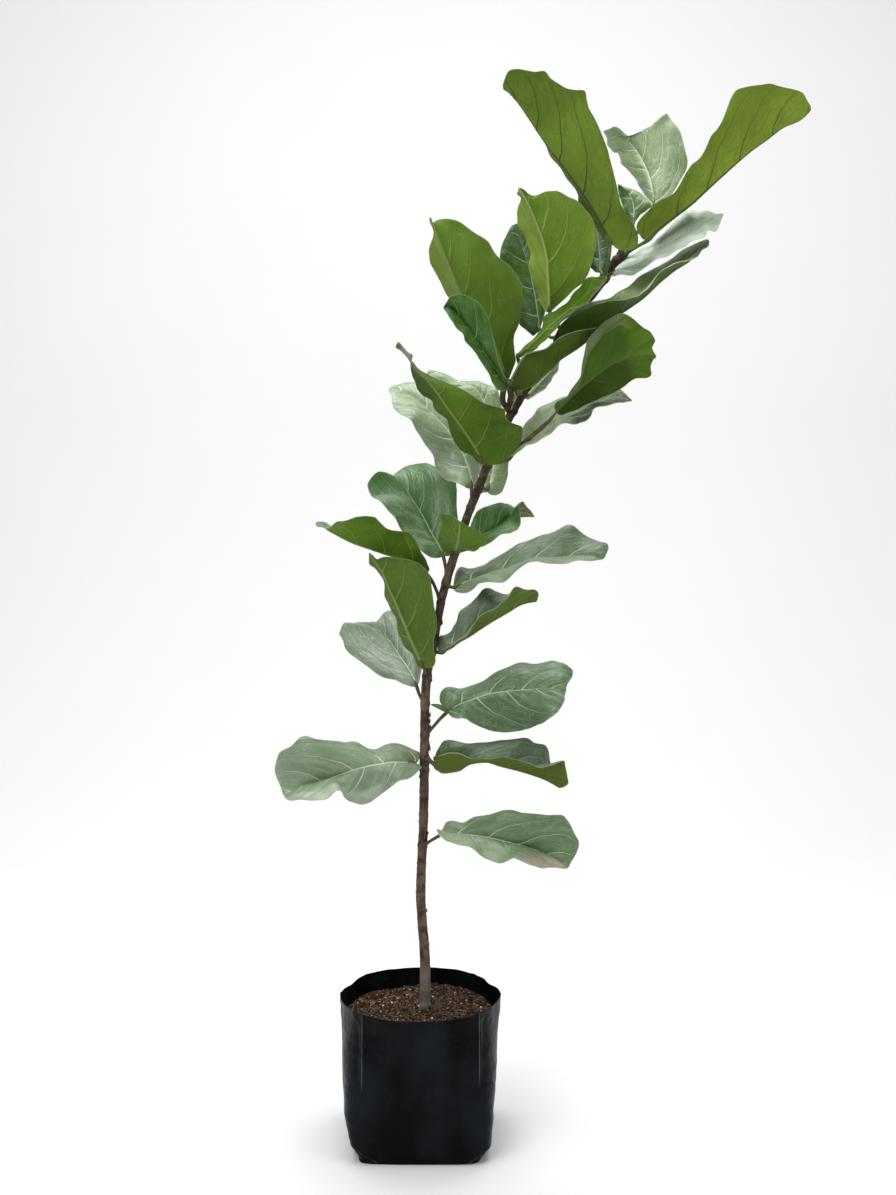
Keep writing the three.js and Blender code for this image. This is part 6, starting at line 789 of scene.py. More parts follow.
            (391, 8, 1643.5), (390.5, 11.9, 1649.1), (389.9, 15.9, 1654.7), (389.1, 19.9, 1660.2), (388.2, 23.9, 1665.6), (387, 27.8, 1671),
            (385.5, 31.8, 1676.4), (383.9, 35.8, 1681.7), (382.1, 39.8, 1686.9), (380.3, 43.8, 1692.1), (378.5, 47.8, 1697.4), (376.5, 51.8, 1702.6),
            (374.4, 55.8, 1707.7), (372, 59.8, 1712.6), (369.4, 63.8, 1717.4), (366.5, 67.8, 1722), (363.4, 71.8, 1726.5), (360, 75.8, 1730.8),
            (356.4, 79.7, 1734.8), (352.6, 83.5, 1738.5), (348.5, 87.4, 1742.1), (344.2, 91.2, 1745.4), (339.6, 94.8, 1748.2), (334.8, 98.2, 1750.7),
            (329.7, 101.5, 1753), (324.4, 104.6, 1754.9), (318.8, 107.6, 1756.6),
        ],
        'left': [
            (392.9, -13.7, 1609), (390.7, -3.7, 1614.1), (389.1, 10.6, 1620), (386.8, 18.5, 1625), (384.6, 25.5, 1630), (382.5, 31.4, 1635),
            (380.7, 36.4, 1640.2), (378.8, 40.9, 1645.3), (376.8, 45, 1650.3), (374.4, 48.9, 1655), (371.9, 52.9, 1659.6), (369.4, 57.3, 1664.3),
            (366.9, 62, 1669.2), (364.5, 67.2, 1674.1), (362, 72.7, 1679), (359.4, 78.4, 1683.9), (356.9, 84.3, 1688.8), (354.4, 90.2, 1693.8),
            (351.8, 96.2, 1698.9), (350, 102.1, 1704.4), (348.3, 107.9, 1710), (346.6, 113.2, 1715.5), (344.8, 118.2, 1721), (340.3, 122.6, 1722.1),
            (336.3, 126.4, 1724), (334.6, 129.7, 1729.2), (332.8, 132.1, 1734.3), (331.4, 133.4, 1739.4), (330, 133, 1744.1), (328.5, 130.9, 1748.5),
            (325.9, 127.3, 1752.2), (322, 114.2, 1753.7), (318.8, 107.6, 1756.6),
        ],
        'right': [
            (392.9, -13.7, 1609), (402.3, -12.1, 1612.7), (411.2, -11.2, 1617.3), (420, -7.9, 1623), (426.1, -3.9, 1631.8), (432.1, 0.7, 1640.9),
            (437.5, 5.7, 1650.4), (442.9, 10.6, 1660), (448, 15.2, 1669.7), (452.1, 19.6, 1679.7), (453.7, 23.8, 1690), (451.7, 27.8, 1700.4),
            (450, 31.8, 1710.9), (448.2, 35.8, 1721.3), (446.2, 39.8, 1731.8), (443.4, 43.8, 1741.9), (438.5, 47.6, 1751.1), (432.6, 51.1, 1759.7),
            (426.4, 54.1, 1767.9), (420.6, 56.2, 1776.4), (414.8, 57.5, 1770), (408.3, 58.2, 1762.7), (400.7, 58.9, 1756.5), (392.7, 60, 1750.8),
            (384.3, 61.9, 1746.1), (375.6, 64.7, 1742.4), (366.4, 68.4, 1740.1), (357.7, 73, 1740.7), (350.2, 78.2, 1748.1), (343.4, 84.1, 1756.3),
            (336, 90.3, 1760.4), (327.9, 100.5, 1758.2), (318.8, 107.6, 1756.6),
        ],
    },
    'leaf_26': {
        'petiole': [
            (319.1, -56.3, 1501.3), (335.6, -52.9, 1535.8), (356.1, -44.4, 1572.9),
        ],
        'mid': [
            (356.1, -44.4, 1572.9), (356.2, -43, 1575.2), (356.4, -41.7, 1577.6), (356.5, -40.3, 1580), (356.6, -39.1, 1582.4),
            (356.8, -37.8, 1584.8), (356.9, -36.6, 1587.2), (357, -35.5, 1589.6), (357.1, -34.4, 1592), (357.2, -33.3, 1594.4),
            (357.2, -32.3, 1596.9), (357.1, -31.3, 1599.4), (356.9, -30.3, 1601.9), (356.7, -29.4, 1604.4), (356.5, -28.5, 1606.9),
            (356.2, -27.5, 1609.3), (355.9, -26.6, 1611.7), (355.3, -25.7, 1614.2), (354.6, -24.8, 1616.7), (353.8, -23.9, 1619.1),
            (352.8, -23.1, 1621.4), (351.8, -22.3, 1623.5), (350.6, -21.6, 1625.6), (349.1, -20.9, 1627.5), (347.3, -20.3, 1629.3),
            (345.5, -19.7, 1631.1), (343.5, -19.2, 1632.8), (341.7, -18.7, 1634.5), (339.9, -18.3, 1636.3), (338, -17.9, 1637.9),
            (336, -17.6, 1639.6), (334.1, -17.3, 1641.2), (332.1, -17.1, 1642.8),
        ],
        'left': [
            (356.1, -44.4, 1572.9), (354.8, -41.8, 1574.9), (353.5, -38.3, 1577), (352.1, -36.3, 1579), (350.7, -34.4, 1580.9),
            (349.3, -32.9, 1582.7), (347.8, -31.5, 1584.5), (346.8, -30.4, 1586.7), (345.9, -29.4, 1588.9), (344.9, -28.5, 1591.1),
            (344, -27.6, 1593.2), (343, -26.6, 1595.4), (342.1, -25.6, 1597.6), (341.2, -24.5, 1599.8), (340.3, -23.3, 1602.1), (339.7, -22, 1604.4),
            (339.1, -20.7, 1606.8), (338.6, -19.3, 1609.2), (338.1, -17.9, 1611.7), (337.5, -16.5, 1614.1), (337, -15.2, 1616.5),
            (336.4, -14.1, 1618.8), (335.9, -13.1, 1621.2), (335.4, -12.2, 1623.6), (334.9, -11.4, 1625.9), (334.4, -10.8, 1628.2),
            (333.9, -10.5, 1630.5), (333.3, -10.5, 1632.7), (332.8, -10.9, 1634.9), (332.7, -11.6, 1637), (332.6, -12.6, 1639.1),
            (332.3, -15.4, 1640.8), (332.1, -17.1, 1642.8),
        ],
        'right': [
            (356.1, -44.4, 1572.9), (358.3, -41.8, 1576.2), (360.6, -38.5, 1579.6), (362.8, -36.5, 1582.8), (364.9, -34.8, 1585.9),
            (367, -33.6, 1589), (369.8, -32.8, 1591.2), (372.8, -32.3, 1593.3), (375.7, -32, 1595.3), (378.5, -31.7, 1597.3), (381.4, -31.4, 1599.4),
            (384.3, -30.8, 1601.5), (386.3, -30, 1604.6), (386.6, -28.9, 1607.6), (384.8, -27.5, 1610.7), (383.1, -25.8, 1613.9),
            (381.3, -23.9, 1617.1), (378.9, -21.7, 1619.8), (376.5, -19.5, 1622.4), (374, -17.5, 1625), (371.6, -15.7, 1627.6),
            (368.7, -14.2, 1629.5), (365.6, -12.9, 1631.2), (362.5, -11.9, 1632.8), (359.3, -11.1, 1634.3), (356.1, -10.5, 1635.8),
            (352.8, -10.2, 1636.8), (349.3, -10.3, 1637.8), (345.9, -10.7, 1638.7), (342.5, -11.4, 1639.7), (339.1, -12.5, 1640.9),
            (335.5, -15.4, 1641.7), (332.1, -17.1, 1642.8),
        ],
    },
    'leaf_27': {
        'petiole': [
            (309.1, -54.8, 1485.5), (320.1, -78.5, 1490.3),
        ],
        'mid': [
            (320.1, -78.5, 1490.3), (325.4, -79.6, 1493.4), (330.8, -80.5, 1496.5), (336.2, -81.3, 1499.5), (341.7, -81.9, 1502.3),
            (347.4, -82.3, 1505.1), (353.1, -82.7, 1507.7), (358.9, -83, 1510.3), (364.7, -83.3, 1512.9), (370.4, -83.7, 1515.6),
            (375.9, -84.3, 1518.4), (381.5, -84.9, 1521.3), (386.9, -85.6, 1524.1), (392.4, -86.4, 1527), (397.9, -87.2, 1529.8),
            (403.4, -88.1, 1532.5), (408.9, -89, 1535.1), (414.4, -90.1, 1537.7), (419.9, -91.1, 1540.3), (425.3, -92.2, 1542.9),
            (430.7, -93.5, 1545.6), (435.9, -94.9, 1548.3), (441.2, -96.3, 1550.9), (446.4, -97.8, 1553.6), (451.7, -99.1, 1556.3),
            (457, -100.4, 1558.9), (462.3, -101.7, 1561.5), (467.6, -103, 1564.2), (472.9, -103.9, 1567), (478.1, -104.6, 1570.1),
            (483.2, -105.2, 1573.4), (488.4, -105.6, 1576.8), (493.5, -105.9, 1580.4),
        ],
        'left': [
            (320.1, -78.5, 1490.3), (323.5, -70.6, 1497.8), (329.7, -56.5, 1504.6), (335.7, -51.1, 1509.8), (341.6, -46.9, 1514.9),
            (347.5, -43.9, 1519.6), (354.1, -42.1, 1523), (360.5, -41.2, 1526.3), (366.9, -40.7, 1529.5), (373.5, -40.6, 1532.1),
            (380.1, -40.6, 1534.7), (385.8, -40.5, 1538.7), (390.5, -40.2, 1544), (395.2, -39.6, 1549.3), (400, -38.8, 1554.7),
            (404.8, -37.8, 1560.1), (409.8, -36.9, 1565.4), (415.4, -35.9, 1569.9), (421, -35.1, 1574.4), (426.6, -34.5, 1579),
            (431.8, -34.3, 1583.7), (437, -34.6, 1588.3), (442.1, -35.3, 1592.9), (447, -36.3, 1597.7), (452.7, -37.4, 1599.1),
            (459.3, -39.2, 1596.8), (465.9, -42, 1596), (472.3, -46.2, 1595.3), (478.3, -52.2, 1593.3), (482.5, -60.2, 1588.3), (486.2, -70, 1583.5),
            (489.1, -92.4, 1581), (493.5, -105.9, 1580.4),
        ],
        'right': [
            (320.1, -78.5, 1490.3), (316.5, -87.1, 1482.5), (320.1, -101.2, 1480.7), (326.4, -107.8, 1481.6), (332.9, -113, 1481.6),
            (339.7, -116.7, 1481.7), (346.5, -119.1, 1482.4), (353.1, -120.8, 1484.4), (359.6, -122, 1486.8), (365.2, -123.4, 1490.7),
            (370.9, -125.1, 1494.5), (376.8, -127.2, 1497.7), (382.6, -129.9, 1500.9), (388.3, -133, 1504.1), (393.9, -136.5, 1507.2),
            (399.5, -140.2, 1510.1), (405.2, -144, 1512.9), (410.9, -147.8, 1515.7), (416.7, -151.5, 1518.1), (422.7, -155, 1520.3),
            (428.7, -158.2, 1522.5), (434.8, -161.2, 1524.7), (440.9, -163.6, 1526.9), (446.8, -165.5, 1529.6), (452.1, -166.6, 1533.7),
            (455.2, -166.7, 1539.7), (460.2, -165.5, 1544.4), (467.2, -162.6, 1543.2), (472.6, -157.4, 1546.9), (477.3, -149.9, 1554.1),
            (482.8, -140.8, 1561.4), (489.3, -118.8, 1571.4), (493.5, -105.9, 1580.4),
        ],
    },
    'leaf_28': {
        'petiole': [
            (223.2, -39.2, 1368.6), (220.5, -63.2, 1376.8),
        ],
        'mid': [
            (220.5, -63.2, 1376.8), (229.5, -65.5, 1379.6), (238.4, -67.7, 1382.4), (247.3, -69.6, 1385.5), (256.2, -71.4, 1388.6),
            (265.1, -73, 1391.8), (274, -74.2, 1395.2), (282.9, -75.6, 1398.7), (291.6, -77.2, 1402.3), (300, -79.7, 1405.9), (308.3, -81.8, 1409.7),
            (316.7, -83, 1414), (325, -83.9, 1418.7), (333.2, -84.8, 1423.7), (341.1, -85.9, 1428.7), (348.9, -87.2, 1434), (356.5, -88.6, 1439.4),
            (363.9, -90, 1445), (371, -91.4, 1451), (377.8, -92.6, 1457.4), (384.4, -93.9, 1464), (391.1, -95.2, 1470.3), (398.1, -96.7, 1476.3),
            (405.1, -98.3, 1482.2), (412.4, -99.9, 1487.7), (420, -101.4, 1492.9), (428, -102.9, 1497.4), (435.9, -104.1, 1502.2),
            (443, -104.8, 1508.2), (449.8, -105.3, 1514.7), (456.7, -106, 1521), (463.9, -106.7, 1526.9), (471.3, -107.6, 1532.6),
        ],
        'left': [
            (220.5, -63.2, 1376.8), (224.4, -66.2, 1385.8), (228.3, -69.3, 1394.8), (232.3, -71.5, 1403.9), (239, -73.4, 1411),
            (246.4, -74.8, 1417.7), (253.7, -75.9, 1424.5), (261.6, -77.1, 1430.5), (270, -78.6, 1435.9), (278.4, -81, 1440.9),
            (288.1, -83.3, 1442.7), (298, -84.6, 1444.6), (307.9, -85.7, 1445.9), (316.7, -86.7, 1449.8), (324.1, -87.9, 1456.2),
            (333.1, -86.4, 1461.1), (342.8, -82.3, 1465.8), (351.5, -77.4, 1472.3), (359.7, -71.7, 1479.8), (368.2, -65.2, 1487.1),
            (377.1, -61.8, 1493.1), (386.3, -59.4, 1498.4), (395.7, -57.4, 1503.2), (404.4, -56, 1508.9), (412.9, -55, 1514.9),
            (421.6, -54.8, 1520.2), (430.2, -55.6, 1525.3), (439.2, -57.7, 1529.2), (447.8, -61.3, 1533), (455.6, -66.9, 1537.4),
            (463.4, -74.7, 1540.6), (469.9, -94.7, 1540), (471.3, -107.6, 1532.6),
        ],
        'right': [
            (220.5, -63.2, 1376.8), (223.7, -70.5, 1385.5), (227.2, -80.7, 1393.6), (232.5, -85.4, 1401.3), (238, -88.9, 1409.1),
            (245.4, -91.4, 1415), (253.8, -93, 1419.9), (262.3, -94.5, 1424.8), (271, -96.6, 1428.9), (279.8, -99.8, 1432.8),
            (288.6, -103.5, 1436.1), (298.1, -106.9, 1437), (307.6, -110.6, 1437.9), (317, -114.5, 1438.8), (326.3, -118.8, 1439.6),
            (335.5, -123.1, 1440.8), (344.5, -127.2, 1443.2), (353.4, -131, 1445.7), (359.8, -134.4, 1452.2), (366.3, -137.4, 1458.7),
            (372.8, -140.2, 1465.3), (379, -142.6, 1472.1), (385.3, -144.9, 1478.9), (392.4, -146.8, 1484.6), (400.9, -148.2, 1488.8),
            (409.5, -148.8, 1492.9), (419, -148.5, 1495.5), (428.6, -146.7, 1498.2), (437.5, -143.1, 1503.6), (446.3, -137.9, 1509.9),
            (453.8, -131.5, 1517.9), (465.2, -116.2, 1523.9), (471.3, -107.6, 1532.6),
        ],
    },
    'leaf_29': {
        'petiole': [
            (307.1, -54.5, 1482.6), (301.3, -37.6, 1495.6),
        ],
        'mid': [
            (301.3, -37.6, 1495.6), (301.6, -34.1, 1499.8), (301.9, -30.8, 1504), (302.1, -27.6, 1508.3), (302.4, -24.6, 1512.7),
            (302.6, -21.8, 1517.2), (302.6, -19.2, 1521.7), (302.5, -16.6, 1526.4), (302.3, -14.2, 1531.1), (302.1, -11.8, 1535.8),
            (301.9, -9.4, 1540.6), (301.6, -7, 1545.3), (301.3, -4.7, 1550.1), (300.9, -2.5, 1554.8), (300.5, -0.2, 1559.6), (300, 2, 1564.4),
            (299.5, 4.3, 1569.1), (298.9, 6.6, 1573.9), (298.1, 8.9, 1578.6), (297.3, 11.1, 1583.4), (296.5, 13.4, 1588.1), (295.5, 15.5, 1592.9),
            (294.6, 17.7, 1597.7), (293.5, 19.8, 1602.5), (292.4, 21.9, 1607.3), (291, 23.9, 1612), (289.4, 25.9, 1616.4), (287.2, 27.9, 1620.7),
            (284.4, 29.9, 1624.8), (281.3, 31.7, 1628.7), (278.2, 33.3, 1632.4), (274.6, 34.7, 1635.9), (270.8, 35.9, 1639.3),
        ],
        'left': [
            (301.3, -37.6, 1495.6), (297.2, -33.5, 1495), (293.7, -29.3, 1496.7), (290.7, -26, 1500.4), (287.7, -23, 1504), (285.3, -20.4, 1508.1),
            (283.7, -18, 1512.6), (282.1, -15.8, 1517.2), (280.5, -13.7, 1521.7), (278.8, -11.5, 1526.3), (278.2, -9.1, 1531.1), (277.7, -6.7, 1536),
            (277.3, -4.2, 1540.9), (276.9, -1.5, 1545.9), (276.5, 1.3, 1550.9), (276.1, 4.2, 1555.9), (275.7, 7.1, 1560.9), (275.3, 10, 1565.9),
            (274.9, 12.9, 1570.9), (274.5, 15.7, 1576), (274, 18.4, 1581), (273.8, 20.9, 1586), (273.6, 23.3, 1591), (273.5, 25.6, 1596),
            (273.2, 27.8, 1601), (272.9, 29.8, 1606), (272.3, 31.7, 1610.9), (271.6, 33.4, 1615.8), (270.9, 34.9, 1620.6), (270.2, 36, 1625.4),
            (270.4, 36.7, 1630.2), (270.6, 35.9, 1634.7), (270.8, 35.9, 1639.3),
        ],
        'right': [
            (301.3, -37.6, 1495.6), (306.2, -33.5, 1493.9), (310.2, -29.2, 1495.7), (313.3, -25.6, 1500.5), (316.3, -22.3, 1505.2),
            (318.3, -19.3, 1510.2), (319.3, -16.6, 1515.6), (320.2, -14.1, 1521), (321.2, -11.6, 1526.3), (322.1, -9.2, 1531.7),
            (321.7, -6.7, 1537.1), (321.1, -4.2, 1542.4), (320.5, -1.5, 1547.8), (319.9, 1.1, 1553.2), (318.5, 3.8, 1558.5), (317.1, 6.6, 1563.7),
            (315.7, 9.3, 1569), (314.3, 12, 1574.3), (312.4, 14.7, 1579.3), (310.3, 17.4, 1584.3), (308.2, 20, 1589.3), (306.1, 22.4, 1594.3),
            (304, 24.7, 1599.2), (301.5, 26.9, 1604), (298.9, 29, 1608.7), (296.2, 30.9, 1613.3), (293.5, 32.7, 1617.9), (290.5, 34.3, 1622.2),
            (286.9, 35.6, 1626.1), (283.2, 36.6, 1629.9), (279.4, 37.1, 1633.5), (275.1, 36.1, 1636.3), (270.8, 35.9, 1639.3),
        ],
    },
    'leaf_30': {
        'petiole': [
            (45.4, -11.5, 974.9), (57.5, -20.5, 965),
        ],
        'mid': [
            (57.5, -20.5, 965), (63.6, -23.9, 970.5), (70.1, -26.9, 975.2), (77.1, -29.6, 978.9), (84.7, -32, 982.2), (92.4, -34.3, 985.2),
            (100.2, -36.7, 988.1), (107.7, -39.2, 991.1), (115.2, -41.7, 994.3), (122.7, -44.3, 997.2), (130.3, -46.9, 999.7),
            (138.1, -49.4, 1001.6), (146, -51.9, 1003.5), (153.6, -54.1, 1005.9), (161.2, -56.1, 1009.2), (168.8, -57.9, 1012.2),
            (176.6, -59.7, 1014.6), (184.6, -61.2, 1016.5), (192.7, -62.5, 1017.4), (201, -63.6, 1017.9), (209.3, -64.7, 1018.5),
            (217.5, -65.9, 1019.3), (225.6, -67.1, 1020.2), (233.8, -68.1, 1021.1), (242.1, -68.8, 1021.8), (250.4, -69.4, 1022.5),
            (258.7, -69.9, 1023), (267, -70.6, 1023.4), (275.3, -71.3, 1023.8), (283.6, -71.7, 1024), (291.9, -71.7, 1023.5), (300.1, -71.7, 1022),
            (308.3, -71.7, 1019.8),
        ],
        'left': [
            (57.5, -20.5, 965), (58.6, -16.2, 975.6), (60, -6.6, 985.9), (63.4, -4, 996), (70.7, -1.9, 1003.1), (81.2, -0.7, 1001.5),
            (91.5, -0.5, 1003.2), (102.1, -1.3, 1006.1), (112.8, -3.1, 1008.5), (122.5, -5.6, 1013.6), (132, -8.5, 1019), (141.2, -11.6, 1024.9),
            (150.6, -14.4, 1030.5), (159.8, -16.6, 1036.3), (168.3, -18.1, 1043.1), (178, -19.2, 1047.9), (187.9, -19.9, 1052.5),
            (198.1, -20.5, 1056.1), (208.5, -21, 1059.1), (219.2, -21.6, 1060.7), (229.3, -22.5, 1064.5), (239.1, -23.5, 1069.1),
            (248.9, -24.2, 1073.6), (258.9, -24.1, 1073.5), (268.4, -23.2, 1067.9), (277.5, -22.6, 1061.7), (286.9, -23.1, 1056.4),
            (296.6, -25.7, 1052.1), (306.4, -30.6, 1048.6), (316.3, -37.1, 1046.6), (318.9, -44.6, 1038.4), (313.5, -61.7, 1029.1),
            (308.3, -71.7, 1019.8),
        ],
        'right': [
            (57.5, -20.5, 965), (64.6, -31.9, 962), (72.9, -48.7, 962.1), (81.2, -57.3, 962.8), (88.8, -64.6, 966.6), (94.9, -70.5, 972.4),
            (100.3, -75.3, 978.6), (108.6, -79.2, 980.1), (116.8, -82.5, 981.2), (125, -85.6, 982.3), (133.1, -88.9, 983.9), (141, -92.8, 986.2),
            (148.1, -97.2, 990.6), (154.3, -101.9, 996.1), (160.1, -106.8, 1002.2), (166.3, -111.6, 1007.6), (173.5, -116.4, 1011.4),
            (181, -120.8, 1014.6), (188.6, -124.7, 1017.3), (196.4, -128.3, 1019.1), (204.3, -131.4, 1019.2), (212.2, -134.1, 1018),
            (220.2, -136.3, 1017.7), (228.3, -137.7, 1017.8), (236.5, -137.9, 1018.1), (244.7, -137.1, 1018.4), (253.1, -134.9, 1018.6),
            (261.6, -131.3, 1018.7), (270.2, -125.7, 1018.7), (279.1, -117.8, 1019.3), (288.2, -107.9, 1019.9), (298.7, -85.1, 1019.6),
            (308.3, -71.7, 1019.8),
        ],
    },
    'leaf_31': {
        'petiole': [
            (22.1, -6.6, 859.2), (32, -20.5, 857.3),
        ],
        'mid': [
            (32, -20.5, 857.3), (37.6, -22.4, 859.4), (43, -24.3, 861.8), (48.3, -26, 864.4), (53.4, -27.6, 867.3), (58.3, -29.1, 870.8),
            (63, -30.6, 874.6), (67.8, -32, 878.2), (72.9, -33.6, 881.3), (78.2, -35.3, 884), (83.5, -36.8, 886.7), (88.6, -38.1, 889.8),
            (93.6, -39.2, 893.1), (98.5, -40.1, 896.6), (103.5, -41.1, 900), (108.5, -42.1, 903.4), (113.4, -43.1, 906.8), (118.4, -44.1, 910.1),
            (123.4, -45.2, 913.4), (128.5, -46.3, 916.6), (133.6, -47.3, 919.7), (138.6, -48.1, 922.9), (143.8, -48.6, 926), (148.9, -49.1, 929.2),
            (154, -49.6, 932.3), (159.1, -50.3, 935.7), (164.1, -50.9, 939), (169.3, -51.2, 941.8), (174.9, -51.2, 944), (180.7, -51.2, 945.8),
            (186.6, -51.1, 946.8), (192.5, -50.5, 947.6), (198.6, -49.5, 947.9),
        ],
        'left': [
            (32, -20.5, 857.3), (30.9, -16.6, 864.5), (30.6, -8.7, 871.2), (31.7, -6.5, 878.5), (36, -4.9, 884.5), (43.1, -4.3, 886.1),
            (50, -5, 888.7), (55.9, -7.5, 893.8), (59, -12, 901.3), (62, -18, 908.9), (63.9, -24.6, 916.8), (65.5, -30.3, 924.8),
            (69.6, -34.5, 931.4), (75.6, -37.1, 936), (81.8, -38.1, 940.3), (87.9, -38.1, 944.8), (93.4, -37.4, 949.9), (98.7, -36.2, 955.1),
            (103.2, -34.1, 961.1), (107.7, -30.7, 966.8), (114.2, -25.5, 969.4), (121.8, -19, 967.6), (128.8, -12.3, 963.7), (136.1, -6.5, 960.7),
            (143.5, -2.4, 958), (151, -0.5, 956), (158.5, -0.8, 955.2), (166.1, -3, 955.8), (173.4, -7.1, 955.4), (180.6, -13.4, 954.5),
            (187.5, -21.2, 953.2), (193.5, -39.3, 952), (198.6, -49.5, 947.9),
        ],
        'right': [
            (32, -20.5, 857.3), (37.2, -30.2, 863.6), (44.1, -45.1, 867.7), (50.7, -52.1, 871.3), (57.1, -57.9, 875.1), (63.1, -62.2, 879.6),
            (68.4, -65.2, 884.7), (73.7, -67.3, 889.7), (78.8, -69, 894.9), (83.5, -70.4, 900.4), (88.2, -71.8, 905.9), (92.8, -73.1, 911.5),
            (97.1, -74.6, 917.3), (101.4, -76.5, 923.2), (107.1, -78.9, 927.5), (113.2, -81.7, 931.4), (119.1, -84.5, 935.4), (124.6, -87.4, 940.1),
            (130, -90.1, 944.7), (135.4, -92.7, 949.4), (141, -94.8, 953.8), (146.6, -96.2, 958.2), (151, -96.9, 963.6), (155.1, -97.3, 969.4),
            (160.5, -97.5, 973.7), (167.1, -97.3, 973.9), (174, -96.4, 972.2), (181.1, -94, 972), (188.3, -89.7, 972.4), (194.7, -83.9, 970.4),
            (199.4, -76.8, 964.2), (199.7, -60, 955.7), (198.6, -49.5, 947.9),
        ],
    },
}

# White grains that show on the mix: x, y in millimetres.
PERLITE = [(-20.3, 108.1), (-24.9, 76.1), (-6.0, 124.4), (-50.4, 37.0), (-65.9, 24.3), (24.1, 44.7), (61.6, 70.8), (107.2, 19.2), (21.4, -40.3), (-117.3, 26.8), (22.1, 60.3), (-2.0, 9.1)]

# Heights of the dried scale remnants on the stem, in millimetres.
SPIKES = [808.2, 745.6, 735.2, 724.7, 691.6, 686.3, 402, 540, 640, 905, 1044, 1130, 1208]

# Centre line of the small pointed lobe at the base of the fourth leaf, in millimetres.
AURICLE = [(49.0, -25.6, 755.8), (42.2, -27.3, 762.1), (31.9, -25.6, 766.6), (19.1, -22.2, 769.4)]

# Centre line of the dried stipule in the fork, in millimetres.
STIPULE = [(154.9, -42.5, 1267.9), (157.4, -42.5, 1277.8), (161.6, -42.5, 1286.1), (166.5, -42.5, 1296.1)]

# Light levels of the stage.
WORLD, KEY, FILL, TOP = 0.36, 50.0, 8.0, 135.0

# Scales of the growing tip: angle round the axis, lean, length, width, lift, tone (0 dark, 1 pale).
BUD = [(0.2, 0.30, 22, 5.2, 0, 0), (2.3, 0.4, 21, 5.0, 0, 0), (4.3, 0.35, 20, 4.8, -1, 0), (1.2, 0.7, 17, 4.2, -3, 0), (3.4, 0.8, 16, 4.0, -4, 0),
       (5.3, 0.6, 18, 4.4, -2, 0), (4.9, 0.8, 27, 1.9, 0, 1), (4.1, 1.1, 21, 1.5, -2, 1), (5.9, 0.9, 14, 3.0, -7, 0)]

